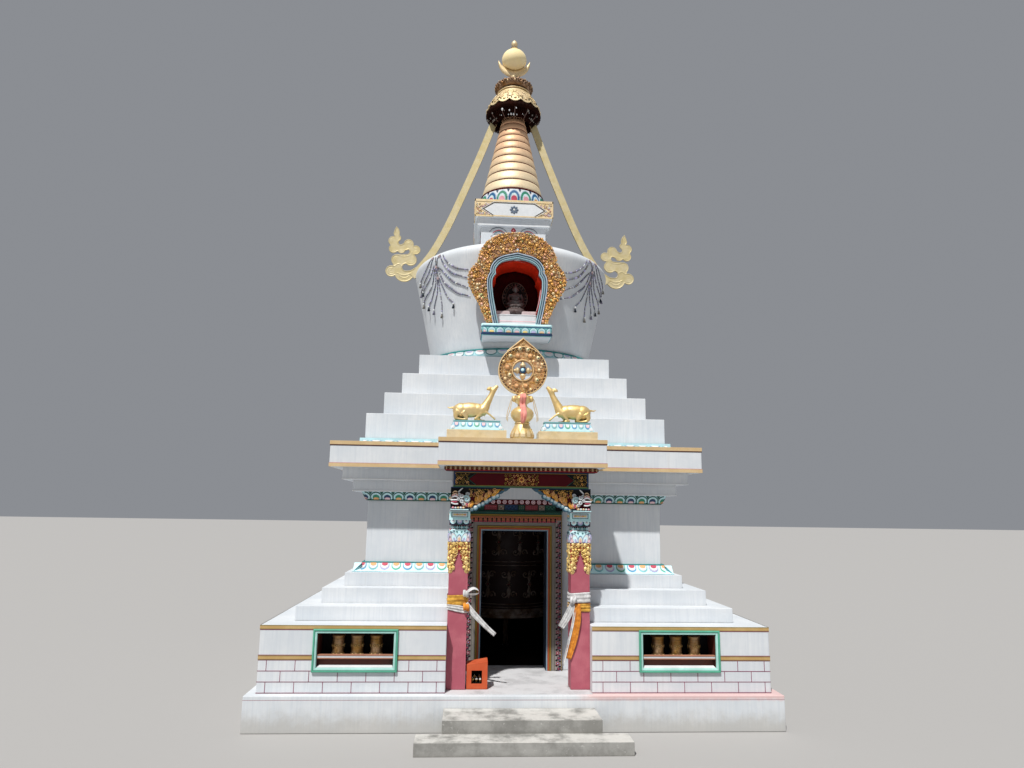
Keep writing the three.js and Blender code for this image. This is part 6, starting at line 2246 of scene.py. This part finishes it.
def crown():
    """A dark bronze bowl ringed with curled petals, and the narrow neck that carries the moon."""
    shape = Shape()
    foot, waist, rim = 10.735, 10.795, 10.865
    bowl = [(0.0, foot), (0.272, foot), (0.306, foot + 0.012), (0.342, foot + 0.034), (0.354, waist),
            (0.350, rim - 0.02), (0.334, rim), (0.230, rim + 0.010), (0.130, rim + 0.030),
            (0.060, rim + 0.040), (0.0, rim + 0.042)]
    neck = [(0.0, rim + 0.030), (0.052, rim + 0.040), (0.040, 11.000), (0.042, 11.060), (0.075, 11.090),
            (0.0, 11.092)]
    shape.turned(bowl, CROWN_BRONZE, segments=80)
    shape.turned(neck, PALE_GOLD, segments=40)
    outer = round_wall(lambda z: 0.306 + min(max((z - foot) / 0.05, 0), 1) * 0.048, u_radius=0.35)
    count = 16
    step = math.tau * 0.35 / count
    for i in range(count):
        u = i * step
        for hand in (-1, 1):
            curl = [(u + hand * 0.010, foot + 0.022, 0.006), (u + hand * 0.048, foot + 0.052, 0.010),
                    (u + hand * 0.052, foot + 0.090, 0.012), (u + hand * 0.026, foot + 0.108, 0.014),
                    (u + hand * 0.018, foot + 0.088, 0.014)]
            shape.tube(spline(curl, 3), 0.0085, CROWN_BRONZE, outer, 6)
        leaf(shape, moved(outer, u, foot + 0.025), 0.100, 0.070, CROWN_BRONZE, 0.25)
        # Painted highlights: every third knob is pale gold.
        paint = PALE_GOLD if i % 3 == 0 else CROWN_BRONZE
        shape.ball((u, foot + 0.072, 0.018), (0.014, 0.018, 0.009), paint, outer, 7, 4)
        tip = moved(outer, u + step / 2, foot + 0.086)
        leaf(shape, tip, 0.056, 0.052, CROWN_BRONZE, 0.3)
        # Painted highlights: pale gold on every other tip bead.
        shape.ball((0, 0.038, 0.010), 0.010, PALE_GOLD if i % 2 else CROWN_BRONZE, tip, 7, 5)
    upper_r, petals = 0.22, 12
    upper = round_wall(lambda z: 0.250 - 1.2 * (z - rim), u_radius=upper_r)
    for i in range(petals):
        spot = moved(upper, i * math.tau * upper_r / petals, rim - 0.005)
        petal(shape, spot, 0.105, 0.070, ((1.0, CROWN_BRONZE),), 0.014)
    shape.build("crown_petals", slot="gilt", stands_for=["crown"])


def crescent(shape, place, mark):
    """A moon lying on its back, round in section and drawn out to two fine tips."""
    outer_z, outer_r, inner_z, inner_r, half_thick = 11.395, 0.315, 11.577, 0.337, 0.031
    tip_z = (outer_r ** 2 - inner_r ** 2 + inner_z ** 2 - outer_z ** 2) / (2 * (inner_z - outer_z))
    tip = math.asin((tip_z - outer_z) / outer_r)
    inner_tip = math.asin((inner_z - tip_z) / inner_r)
    steps, sides = 48, 12
    points, faces = [], []
    for k in range(steps + 1):
        t = k / steps
        a = math.pi - tip + (math.pi + 2 * tip) * t
        b = math.pi + inner_tip + (math.pi - 2 * inner_tip) * t
        out = Vector((outer_r * math.cos(a), outer_z + outer_r * math.sin(a)))
        near = Vector((inner_r * math.cos(b), inner_z + inner_r * math.sin(b)))
        middle, half = (out + near) / 2, (out - near) / 2
        if half.length < 0.002:
            half = Vector((0.0, -0.002))
        thick = half_thick * min(half.length / 0.03, 1) ** 0.7
        for j in range(sides):
            turn = math.tau * j / sides
            spot = middle + half * math.cos(turn)
            points.append((spot.x, spot.y, thick * math.sin(turn)))
    for start in range(0, steps * sides, sides):
        for j in range(sides):
            m = (j + 1) % sides
            faces.append([start + j, start + m, start + sides + m, start + sides + j])
    last = steps * sides
    faces += [[j for j in reversed(range(sides))], [last + j for j in range(sides)]]
    shape.add(points, faces, mark, True, place)


def finial():
    """Crescent, sun and jewel."""
    shape = Shape()
    crescent(shape, wall(0, 0.0), PALE_GOLD)
    shape.ball((0, 0, 11.452), (0.243, 0.243, 0.214), SUN_GOLD, None, 64, 36)
    jewel = [(0.0, 11.650), (0.026, 11.662), (0.040, 11.686), (0.064, 11.704), (0.068, 11.716),
             (0.040, 11.728), (0.026, 11.744), (0.056, 11.768), (0.064, 11.800), (0.058, 11.836),
             (0.036, 11.868), (0.010, 11.894), (0.0, 11.898)]
    collar = [(0.02, 11.704), (0.060, 11.708), (0.070, 11.716), (0.060, 11.724), (0.02, 11.726)]
    shape.turned(jewel, PALE_GOLD, segments=40)
    shape.turned(collar, DARK_GOLD, segments=40)
    shape.build("finial", slot="gilt", stands_for=["moon_and_sun"])


spire_rings()
parasol_valance()
parasol_skirt()
crown()
finial()


# Straps from the parasol to the dome, and the cloud curls at their feet, in the plane y = 0.
STRAP_LINE = [(0.378, 10.086), (0.648, 9.330), (0.950, 8.555), (1.215, 7.908), (1.465, 7.410), (1.692, 7.088),
              (1.830, 6.925)]
CURL_ARCS = (
    (1.980, 7.000, 0.178, 216, 328), (2.220, 7.017, 0.101, 224, 470), (2.127, 7.238, 0.098, -46, 100),
    (1.948, 7.402, 0.058, 270, 120), (2.053, 7.448, 0.071, 195, 330), (2.198, 7.455, 0.079, 220, 405),
    (2.208, 7.606, 0.084, -50, 105), (2.144, 7.750, 0.058, -47, 30), (2.115, 7.665, 0.046, 105, 240),
    (2.068, 7.580, 0.050, 30, -150), (1.921, 7.551, 0.087, 0, 190), (1.784, 7.442, 0.079, 50, 300),
    (1.872, 7.244, 0.106, 130, 320), (1.955, 7.098, 0.075, 80, -90),
)
CURL_TIP = [(2.184, 7.820), (2.158, 7.884), (2.118, 7.838), (2.100, 7.775)]
CURL_ROOT = [(1.864, 7.032), (1.800, 7.076), (1.735, 7.130), (1.765, 6.955)]
CURL_TIP_AFTER = 7
CURL_LINES = (
    ((2.125, 7.336), (2.016, 7.306), (1.900, 7.330), (1.850, 7.400)),
    ((1.780, 7.060), (1.880, 6.975), (2.000, 6.940), (2.110, 6.985)),
    ((2.200, 7.100), (2.150, 7.125), (2.090, 7.160), (2.040, 7.120), (2.020, 7.060)),
)


def curl_outline():
    """The right cloud curl's outline: lobes and hollows as arcs, with a flame tip and a root on the strap."""
    outline = []
    for k, (u, v, r, start, end) in enumerate(CURL_ARCS):
        count = max(round(abs(end - start) / 15), 3)
        for i in range(count + 1):
            a = math.radians(start + (end - start) * i / count)
            outline.append((u + r * math.cos(a), v + r * math.sin(a)))
        if k == CURL_TIP_AFTER:
            outline += CURL_TIP
    return outline + CURL_ROOT


def cloud_curl():
    """A winding cloud of lobes with a raised rim and a second line inside each, in the plane of the strap."""
    shape = Shape()
    thick, rim = 0.010, 0.0085
    for face, hand in ((wall(0, 0.0), 1), (wall(2, 0.0), -1)):
        outline = [(hand * u, v) for u, v in curl_outline()]
        shape.prism(outline if hand > 0 else outline[::-1], -0.001, thick, STRAP_GOLD, face)
        edge = [(u, v, thick) for u, v in outline]
        shape.tube(edge + edge[:1], rim, STRAP_GOLD, face, 6)
        for u, v, r, start, end in CURL_ARCS:
            if end > start and r > 0.07:
                angles = [math.radians(start + (end - start) * i / 16) for i in range(17)]
                for share, size in ((0.62, 0.006), (0.30, 0.005)):
                    reach = r * share
                    arc = [(hand * (u + reach * math.cos(a)), v + reach * math.sin(a), thick) for a in angles]
                    shape.tube(arc, size, STRAP_GOLD, face, 5)
        for bends in CURL_LINES:
            line = [(hand * u, v, thick) for u, v in spline(bends, 5)]
            shape.tube(line, 0.007, STRAP_GOLD, face, 5)
    return shape


def straps():
    """Flat gilded straps with rolled edges, and the cast cloud curls at their feet."""
    shape = Shape()
    line = spline(STRAP_LINE, 5)
    front, back = wall(0, 0.0), wall(2, 0.0)
    half, thick = 0.066, 0.017
    band = [(half, -thick), (half, thick - 0.003), (half - 0.003, thick), (half - 0.008, thick),
            (half - 0.011, thick - 0.002), (0.011 - half, thick - 0.002), (0.008 - half, thick),
            (0.003 - half, thick), (-half, thick - 0.003), (-half, -thick)]
    shape.moulding(line, band, STRAP_GOLD, front)
    shape.moulding([(-u, v) for u, v in line], [(o, w * 0.98) for o, w in band], STRAP_GOLD, back)
    build_pair(shape, "{side}_strap_band", slot="pale_gilt", stands_for=["{side}_strap"])
    for side, mirror in (("right", False), ("left", True)):
        curl = cloud_curl()
        piece = (curl.twin() if mirror else curl).build(f"{side}_cloud_curl", slot="pale_gilt")
        blend_skin(piece, 0.0055, 1)


straps()


# Wheel, vase and deer on the porch roof.
WHEEL_PLANE, HUB_Z = 3.20, 4.572
WHEEL_RADIUS, WHEEL_EYE, WHEEL_THICK = 0.335, 0.133, 0.045
WHEEL_LIFT = WHEEL_THICK - 0.020

# Bosses of the wheel as (u, v, kind): 0 a small gilt knob, 1 with a green stone, 2 a peach one.
ROOF_BOSSES = [
    (-0.045, 0.300, 1), (0.064, 0.290, 1), (-0.072, 0.203, 2), (0.097, 0.203, 2), (-0.173, 0.196, 1),
    (0.206, 0.176, 1), (-0.211, 0.041, 2), (-0.180, -0.068, 1), (0.222, 0.010, 0), (0.192, -0.129, 1),
    (-0.085, -0.217, 2), (0.043, -0.212, 2), (-0.240, -0.120, 0), (0.110, -0.262, 0), (0.262, 0.090, 0),
    (-0.265, 0.120, 0),
]


def wheel_ground(shape, place):
    """One face of the roof wheel: a pierced disc and a flame over it, each within a raised edge."""
    ring, rim = circle(WHEEL_EYE, 48), circle(WHEEL_RADIUS, 48)
    for i in range(48):
        j = (i + 1) % 48
        quad = [ring[i], rim[i], rim[j], ring[j]]
        points = [(u * 0.985, v * 0.985, w) for w in (-0.002, WHEEL_LIFT) for u, v in quad]
        shape.add(points, [[4, 5, 6, 7], [1, 2, 6, 5], [3, 0, 4, 7]], WHEEL_GROUND, False, place)
    flame = [(0.215, 0.262), *bezier(6, (0.215, 0.262), (0.13, 0.335), (0.070, 0.385)),
             *bezier(4, (0.070, 0.388), (0.025, 0.416), (0.0, 0.445))]
    flame += [(-u, v) for u, v in reversed(flame[:-1])]
    shape.prism(flame, -0.002, WHEEL_LIFT, WHEEL_GROUND, place, 0.002)
    edge = [(0.010, -0.002), (0.009, WHEEL_THICK - 0.004), (0.004, WHEEL_THICK), (-0.004, WHEEL_THICK),
            (-0.008, 0.0)]
    shape.moulding(flame, edge, WHEEL_GOLD, place)
    shape.moulding(circle(WHEEL_RADIUS - 0.008, 64), edge, WHEEL_GOLD, place, closed=True)
    shape.moulding(circle(WHEEL_EYE + 0.010, 48), edge, WHEEL_GOLD, place, closed=True)


def wheel_filigree(shape, place, dice):
    """Scrolls and leaves in four rings on the disc, and in a column up the flame."""
    spots = []
    for r, count in ((0.162, 20), (0.196, 25), (0.229, 29), (0.261, 33)):
        angles = [math.tau * (i + dice.uniform(-0.15, 0.15)) / count for i in range(count)]
        spots += [(r * math.cos(a), r * math.sin(a)) for a in angles]
    flame_rows = (0.30, 0.31, 0.325, 0.34, 0.35, 0.37, 0.385)
    spots += [(dice.uniform(-1, 1) * (0.40 - v) * 1.3, v) for v in flame_rows]
    for k, (u, v) in enumerate(spots):
        spot = moved(place, u, v, dice.uniform(0, math.tau), dw=WHEEL_LIFT)
        if k % 4 == 3:
            leaf(shape, moved(spot, 0, -0.02), 0.046, 0.030, WHEEL_GOLD)
        else:
            size = dice.uniform(0.034, 0.046)
            paint = dice.choice((WHEEL_GOLD, WHEEL_GOLD, CARVED_GOLD, PEACH))
            scroll(shape, spot, size, paint, 1.1, dice.choice((-1, 1)))


def wheel_bosses(shape, place):
    """Bosses within beads, some of them set with a stone, and three rings of beads along the rim."""
    for u, v, kind in ROOF_BOSSES:
        spot = moved(place, u, v, dw=WHEEL_LIFT + 0.006)
        size = 0.032 if kind else 0.022
        paint = (WHEEL_GOLD, PALE_GOLD, PEACH)[kind]
        shape.ball((0, 0, 0), (size, size, size * 0.75), paint, spot, 14, 8)
        bead_row(shape, spot, [*circle(size * 1.12, 12), (size * 1.12, 0)], 0.018, 0.006, (WHEEL_GOLD,))
        stone = GREEN if kind == 1 else WHEEL_GOLD
        shape.ball((0.006, -0.004, size * 0.62), size * 0.34, stone, spot, 8, 5)
    bead_rings = ((0.008, 0.009, (WHEEL_GOLD,)), (0.026, 0.0085, (BRONZE, WHEEL_GOLD)),
                  (0.043, 0.008, (WHEEL_GOLD, CARVED_GOLD)))
    for inward, size, marks in bead_rings:
        r = WHEEL_RADIUS - inward
        bead_row(shape, moved(place, dw=WHEEL_LIFT + 0.012), [*circle(r, 64), (r, 0)], 0.024, size, marks)


def wheel_spokes(shape, place):
    """Four lotus-bud spokes across the wheel's eye, and the blue hub that they meet at."""
    bulb_radii = [0.018, 0.018, 0.020, 0.026, 0.034, 0.041, 0.044, 0.041, 0.033, 0.025, 0.020, 0.017, 0.016]
    for i in range(4):
        spoke = moved(place, turn=i * math.pi / 2)
        bulb = [(0, 0.030, 0.010), (0, 0.052, 0.012), (0, 0.074, 0.016), (0, 0.096, 0.014),
                (0, WHEEL_EYE, 0.010)]
        shape.tube(spline(bulb, 3), bulb_radii, PALE_GOLD, spoke, 12)
        for hand in (-1, 1):
            leaf(shape, moved(spoke, 0, 0.060, hand * 0.55, dw=0.012), 0.058, 0.026, PALE_GOLD)
    hub = [(0.012, 0.0), (0.010, 0.030), (-0.006, 0.032), (-0.008, 0.0)]
    shape.moulding(circle(0.048, 28), hub, DARK_GOLD, place, closed=True)
    shape.ball((0, 0, 0.016), (0.044, 0.044, 0.038), BLUE, place, 20, 10)
    # A pale aqua spot up and to the left on the blue hub: a painted highlight.
    shape.ball((-0.004, 0.004, 0.040), (0.026, 0.026, 0.018), CAPITAL_AQUA, place, 12, 8)


def roof_wheel():
    """A pierced disc of gilded scrolls with a flame tip, carved on both faces."""
    dice = random.Random(44)
    shape = Shape()
    for place in (moved(wall(0, WHEEL_PLANE), 0.0, HUB_Z), moved(wall(2, -WHEEL_PLANE), 0.0, HUB_Z)):
        wheel_ground(shape, place)
        wheel_filigree(shape, place, dice)
        wheel_bosses(shape, place)
        wheel_spokes(shape, place)
    shape.build("roof_wheel_disc", slot="gilt", stands_for=["roof_wheel"])


def vase():
    """Gilded vase under the wheel: faceted foot, round bowl, lobed mouth and thin ribbons at its sides."""
    bends = [(0.150, 3.620), (0.156, 3.640), (0.152, 3.690), (0.132, 3.750), (0.106, 3.815), (0.094, 3.832),
             (0.102, 3.840), (0.104, 3.852), (0.092, 3.862), (0.112, 3.885), (0.142, 3.920), (0.156, 3.965),
             (0.148, 4.010), (0.116, 4.046), (0.080, 4.066), (0.064, 4.086), (0.066, 4.110), (0.094, 4.132),
             (0.120, 4.162), (0.122, 4.190), (0.100, 4.218), (0.070, 4.236), (0.058, 4.264)]
    shape = Shape()

    def lobes(a, z):
        """How far the mouth's six lobes swell it."""
        share = max(min((z - 4.11) / 0.04, (4.235 - z) / 0.03, 1), 0)
        return 1 + 0.07 * share * math.cos(6 * a)
    profile = [(0.0, 3.620), *spline(bends, 3), (0.0, 4.265)]
    shape.turned(profile, DEER_GOLD, (0, -WHEEL_PLANE), 72, ripple=lobes)
    foot_r, petals = 0.15, 12
    foot = round_wall(lambda z: 0.158 - 0.36 * max(z - 3.69, 0), (0, -WHEEL_PLANE), foot_r)
    for i in range(petals):
        layers = ((1.0, DEER_GOLD), (0.74, PALE_GOLD))
        petal(shape, moved(foot, i * math.tau * foot_r / petals, 3.655), 0.076, 0.125, layers, 0.006)
    ribbons = (
        ((0.085, 4.225), (0.128, 4.205), (0.150, 4.120), (0.166, 4.030), (0.194, 3.950), (0.198, 3.870)),
        ((0.110, 4.215), (0.154, 4.165), (0.178, 4.080), (0.206, 3.980), (0.214, 3.885)),
    )
    for hand in (-1, 1):
        for falls in ribbons:
            path = [(hand * x, -WHEEL_PLANE - 0.03, z) for x, z in falls]
            shape.tube(spline(path, 4), 0.0045, DEER_GOLD, None, 6)
        shape.ball((hand * 0.118, -WHEEL_PLANE - 0.02, 4.180), (0.030, 0.034, 0.044), DEER_GOLD, None, 12, 8)
    shape.build("wheel_vase_body", slot="gilt", stands_for=["wheel_vase"])


def ribbon(name, path, across, material, flat, rests_on, folds=0, depth=0.0):
    """A strip of cloth along 3-D points; across is half its width at each, and folds ripple it."""
    columns = 10
    line = [Vector(p) for p in spline(path, 6)]
    spread = [Vector(p) for p in spline(across, 6)]
    points, faces = [], []
    for i, (p, half) in enumerate(zip(line, spread)):
        ahead = (line[min(i + 1, len(line) - 1)] - line[max(i - 1, 0)]).normalized()
        out = half.cross(ahead).normalized()
        for k in range(columns + 1):
            s = 2 * k / columns - 1
            ripple = depth * math.sin(s * math.pi * folds + 0.10 * i)
            points.append(p + half * s + out * ripple)
    size = columns + 1
    for i in range(len(line) - 1):
        for k in range(columns):
            a = i * size + k
            faces.append([a, a + 1, a + 1 + size, a + size])
    shape = Shape().add([tuple(p) for p in points], faces, material, True)
    cloth_piece(shape, name, flat, rests_on)


def cloth_piece(shape, name, flat, rests_on, stands_for=()):
    """Gives a sheet of cloth its thickness; its flat size is not used."""
    piece = shape.build(name, slot="scarf_cloth", stands_for=stands_for)
    thick = piece.modifiers.new("cloth", "SOLIDIFY")
    thick.thickness = 0.0016
    thick.offset = 0
    keep_modified(piece)
    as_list(rests_on)


def vase_scarf():
    """A coral scarf that hangs down the front of the vase and widens at its foot."""
    front = -WHEEL_PLANE
    path = [(0.0, front - 0.070, 4.250), (0.002, front - 0.135, 4.190), (-0.004, front - 0.100, 4.100),
            (0.004, front - 0.160, 4.030), (0.006, front - 0.186, 3.950), (0.0, front - 0.176, 3.880),
            (-0.006, front - 0.150, 3.835)]
    across = [(0.036, 0, 0), (0.043, 0, 0), (0.040, 0, 0.002), (0.041, 0, -0.002), (0.042, 0, 0.002),
              (0.034, 0, 0), (0.018, 0, 0.004)]
    ribbon("vase_coral_scarf", path, across, SCARF_CORAL, (0.085, 0.48), ["wheel_vase_body"],
           folds=2, depth=0.006)


def wound_scarf(name, side, material, low, high, slant, seed, flat, stands_for=()):
    """A scarf wound once round a pillar, gathered into ridges that run round it."""
    dice = random.Random(seed)
    centre_x = side * PILLAR_X
    columns, rows = 64, 14
    phases = [dice.uniform(0, math.tau) for _ in range(3)]
    points, faces = [], []
    for i in range(columns):
        a = math.tau * i / columns
        c, s = math.cos(a), math.sin(a)
        reach = 0.1345 * (abs(c) ** 10 + abs(s) ** 10) ** -0.1
        sag = 0.006 * math.sin(2 * a + phases[0])
        for k in range(rows + 1):
            t = k / rows
            sway = 0.9 * math.sin(a + phases[1])
            ridge = math.sin(t * math.pi * 5 + sway + 0.5 * math.sin(3 * a + phases[2]))
            out = reach + 0.0055 * (1 + ridge) * math.sin(math.pi * (0.12 + 0.76 * t))
            z = low + (high - low) * t + slant * c + sag * (1 - t)
            points.append((centre_x + out * c, PILLAR_Y + out * s, z))
    size = rows + 1
    for i in range(columns):
        j = (i + 1) % columns
        for k in range(rows):
            faces.append([i * size + k, j * size + k, j * size + k + 1, i * size + k + 1])
    shape = Shape().add(points, faces, material, True)
    cloth_piece(shape, name, flat, ["right_pillar" if side > 0 else "left_pillar"], stands_for)


def pillar_scarves():
    """Scarves tied round both pillars, with their knots, loops and loose ends."""
    y = PILLAR_Y - PILLAR_HALF
    wound_scarf("right_white_scarf", 1, SCARF_WHITE, 1.515, 1.640, 0.012, 1, (0.17, 1.14),
                ["right_pillar_scarf"])
    wound_scarf("right_yellow_scarf", 1, SCARF_YELLOW, 1.400, 1.500, 0.004, 2, (0.14, 1.14))
    wound_scarf("left_white_scarf", -1, SCARF_WHITE, 1.395, 1.475, -0.030, 3, (0.12, 1.14))
    wound_scarf("left_yellow_scarf", -1, SCARF_YELLOW, 1.470, 1.600, 0.006, 4, (0.17, 1.14),
                ["left_pillar_scarf"])

    def strip(name, material, ends, widths, out, flat, rests_on, folds=2):
        """A loose end in front of the pillar, through (x, z) points with half widths and distances out."""
        path = [(x, y - gap, z) for (x, z), gap in zip(ends, out)]
        across = []
        for k, half in enumerate(widths):
            a, b = ends[max(k - 1, 0)], ends[min(k + 1, len(ends) - 1)]
            ahead = Vector((b[0] - a[0], b[1] - a[1])).normalized()
            across.append((-ahead.y * half, 0, ahead.x * half))
        ribbon(name, path, across, material, flat, rests_on, folds, 0.005)
    strip("right_white_tail", SCARF_WHITE, [(0.700, 1.520), (0.665, 1.420), (0.610, 1.310), (0.545, 1.205)],
          [0.024, 0.044, 0.048, 0.040], [0.024, 0.036, 0.030, 0.020], (0.110, 0.36), ["right_white_scarf"], 3)
    strip("right_orange_tail", SCARF_ORANGE, [(0.765, 1.500), (0.750, 1.320), (0.705, 1.060), (0.640, 0.815)],
          [0.036, 0.058, 0.056, 0.038], [0.024, 0.034, 0.026, 0.020], (0.130, 0.72),
          ["right_yellow_scarf"], 3)
    strip("right_pale_tail", SCARF_WHITE, [(0.735, 1.480), (0.700, 1.260), (0.640, 1.000), (0.575, 0.735)],
          [0.018, 0.016, 0.015, 0.013], [0.026, 0.038, 0.032, 0.026], (0.045, 0.78), ["right_white_scarf"], 1)
    strip("left_white_tail", SCARF_WHITE,
          [(-0.690, 1.500), (-0.600, 1.380), (-0.440, 1.220), (-0.310, 1.108)], [0.024, 0.036, 0.030, 0.026],
          [0.024, 0.038, 0.034, 0.030], (0.085, 0.56), ["left_yellow_scarf"])

    def knot(name, side, material, centre, size, flat, rests_on):
        """The end of a scarf rolled over itself into a bulge."""
        x, z = centre
        path, across = [], []
        for k in range(7):
            a = math.pi * (k / 6 * 1.6 - 0.3)
            path.append((x, y - 0.026 - size * 0.55 * math.sin(a), z + size * 0.55 * math.cos(a)))
            across.append((size * (0.35 + 0.15 * math.sin(math.pi * k / 6)), 0, side * size * 0.12))
        ribbon(name, path, across, material, flat, rests_on, 2, size * 0.07)
    knot("left_orange_knot", -1, SCARF_ORANGE, (-0.690, 1.450), 0.085, (0.09, 0.16), ["left_yellow_scarf"])
    knot("left_white_bow", -1, SCARF_WHITE, (-0.700, 1.620), 0.075, (0.08, 0.14), ["left_yellow_scarf"])
    knot("right_white_knot", 1, SCARF_WHITE, (0.705, 1.550), 0.085, (0.09, 0.16), ["right_white_scarf"])
    bow_path = [(-0.700, y - 0.030, 1.620), (-0.655, y - 0.045, 1.665), (-0.600, y - 0.040, 1.690),
                (-0.545, y - 0.036, 1.670), (-0.530, y - 0.034, 1.630), (-0.580, y - 0.036, 1.612),
                (-0.650, y - 0.034, 1.612), (-0.690, y - 0.034, 1.610)]
    bow_across = [(0, 0.006, 0.014), (0, 0.012, 0.020), (0, 0.018, 0.014), (0, 0.020, 0.006),
                  (0, 0.020, -0.006), (0, 0.016, -0.012), (0, 0.010, -0.012), (0, 0.006, -0.010)]
    ribbon("left_bow_loop", bow_path, bow_across, SCARF_WHITE, (0.045, 0.42),
           ["left_yellow_scarf"])


def deer():
    """Kneeling deer that look up at the wheel, on painted lotus stands."""
    figure = deer_figure()
    for side, form in (("right", figure), ("left", figure.twin())):
        blend_skin(form.build(f"{side}_deer_figure", slot="gilt"), 0.0065, 4)
    build_pair(deer_stand(), "{side}_deer_stand", slot="lotus_paint", stands_for=["{side}_deer"])


def deer_figure():
    """The right deer, facing -X with its muzzle raised, as forms that are blended under one skin later."""
    y, ground = -3.165, 3.872

    def at(x, z, side=0.0):
        return (x, y + side, ground + z)
    shape = Shape()

    def form(x, z, rx, ry, rz, tilt=0.0):
        """A round mass of the body, tilted in the plane of the deer."""
        def place(u, v, w):
            c, s = math.cos(tilt), math.sin(tilt)
            return (x + u * c - v * s, y - w, ground + z + u * s + v * c)
        shape.ball((0, 0, 0), (rx, rz, ry), DEER_GOLD, place, 24, 16)

    def limb(points, radii, sides=12):
        """A tapering bar through a few points."""
        path = spline(points, 4)
        sizes = [r[0] for r in spline([(r,) for r in radii], 4)]
        shape.tube(path, sizes, DEER_GOLD, None, sides)
    form(0.715, 0.148, 0.215, 0.088, 0.104, tilt=-0.03)
    form(0.820, 0.138, 0.118, 0.090, 0.106)
    form(0.600, 0.146, 0.110, 0.082, 0.096, tilt=0.20)
    limb([at(0.560, 0.130), at(0.522, 0.165), at(0.490, 0.225), at(0.450, 0.300), at(0.418, 0.365),
          at(0.404, 0.400)],
         [0.084, 0.074, 0.058, 0.045, 0.038, 0.037], 16)
    limb([at(0.414, 0.385), at(0.394, 0.425), at(0.364, 0.462), at(0.336, 0.490)],
         [0.037, 0.040, 0.031, 0.021], 14)
    limb([at(0.400, 0.400), at(0.372, 0.428), at(0.346, 0.452)], [0.022, 0.017, 0.010])
    for hand in (-1, 1):
        limb([at(0.420, 0.425, hand * 0.018), at(0.448, 0.440, hand * 0.034), at(0.482, 0.436, hand * 0.042)],
             [0.012, 0.016, 0.006], 10)
        limb([at(0.405, 0.448, hand * 0.012), at(0.438, 0.466, hand * 0.016), at(0.474, 0.452, hand * 0.018),
              at(0.484, 0.424, hand * 0.018)], [0.009, 0.009, 0.008, 0.006], 8)
        haunch = hand * 0.062
        limb([at(0.865, 0.120, haunch), at(0.896, 0.070, haunch), at(0.885, 0.022, haunch)],
             [0.050, 0.034, 0.022])
        limb([at(0.885, 0.022, haunch), at(0.810, 0.014, haunch), at(0.735, 0.014, haunch)],
             [0.020, 0.014, 0.013])
        limb([at(0.800, 0.110, haunch), at(0.760, 0.060, haunch), at(0.742, 0.020, haunch)],
             [0.044, 0.030, 0.015])
    limb([at(0.560, 0.100, 0.045), at(0.585, 0.050, 0.045), at(0.560, 0.018, 0.045), at(0.500, 0.014, 0.045)],
         [0.034, 0.020, 0.014, 0.012])
    limb([at(0.560, 0.110, -0.045), at(0.600, 0.052, -0.045), at(0.640, 0.016, -0.045),
          at(0.570, 0.014, -0.045)],
         [0.034, 0.020, 0.015, 0.012])
    limb([at(0.530, 0.120, -0.045), at(0.480, 0.112, -0.050), at(0.420, 0.070, -0.050),
          at(0.365, 0.020, -0.050)],
         [0.028, 0.018, 0.013, 0.013])
    limb([at(0.905, 0.170), at(0.940, 0.176), at(0.980, 0.172), at(1.015, 0.186)],
         [0.026, 0.016, 0.011, 0.006], 10)
    return shape


def deer_stand():
    """The right deer's gold plinth and sloped lotus, whose top is set well in."""
    stand = Shape()
    front, back = -3.330, -3.000
    low_x, high_x, foot, knee, head = 0.215, 1.005, CORNICE_TOP, 3.738, 3.872
    middle = ((low_x + high_x) / 2, (front + back) / 2)
    half = ((high_x - low_x) / 2, (back - front) / 2)
    rim = 0.016

    def ring(inward, z):
        """The stand's outline at a height, drawn in by a distance."""
        return square((half[0] - inward, half[1] - inward), middle), z
    stand.stack([ring(0.0, foot), ring(0.0, knee - 0.004), ring(0.004, knee)], PALE_GOLD)
    foot_in, head_in = 0.035, 0.090
    stand.stack([ring(foot_in, knee), ring(head_in, head - rim)], PALE_AQUA)
    stand.stack([ring(head_in - 0.008, head - rim), ring(head_in - 0.012, head)], AQUA)
    sets = [(((0.80, 1.0), rim_paint), ((0.54, 0.74), heart))
            for rim_paint, heart in ((SKY_BLUE, WHITE), (AQUA, WHITE), (SKY_BLUE, SOFT_PINK),
                                     (LEAF_GREEN, WHITE))]
    for quarter in QUARTERS:
        reach, out = (half[0], half[1]) if quarter % 2 == 0 else (half[1], half[0])
        place = slope(quarter, out - foot_in, out - head_in, knee, head - rim, middle)
        length = slope_length(foot_in, head_in, knee, head - rim)
        lotus_row(stand, place, reach - head_in + 0.012, 0.086, length * 0.86, length * 0.52, sets,
                  hanging=True, lift=0.010, whole=True)
        stand.slab(-(reach - foot_in), reach - foot_in, 0.0, 0.007, -0.002, 0.004, AQUA, place)
        for side in (-1, 1):
            corner = moved(place, side * (reach - foot_in - 0.030), 0.012, side * 0.5)
            leaf(stand, corner, 0.070, 0.050, WHITE, 0.2)
    return stand


roof_wheel()
vase()
vase_scarf()
pillar_scarves()
deer()
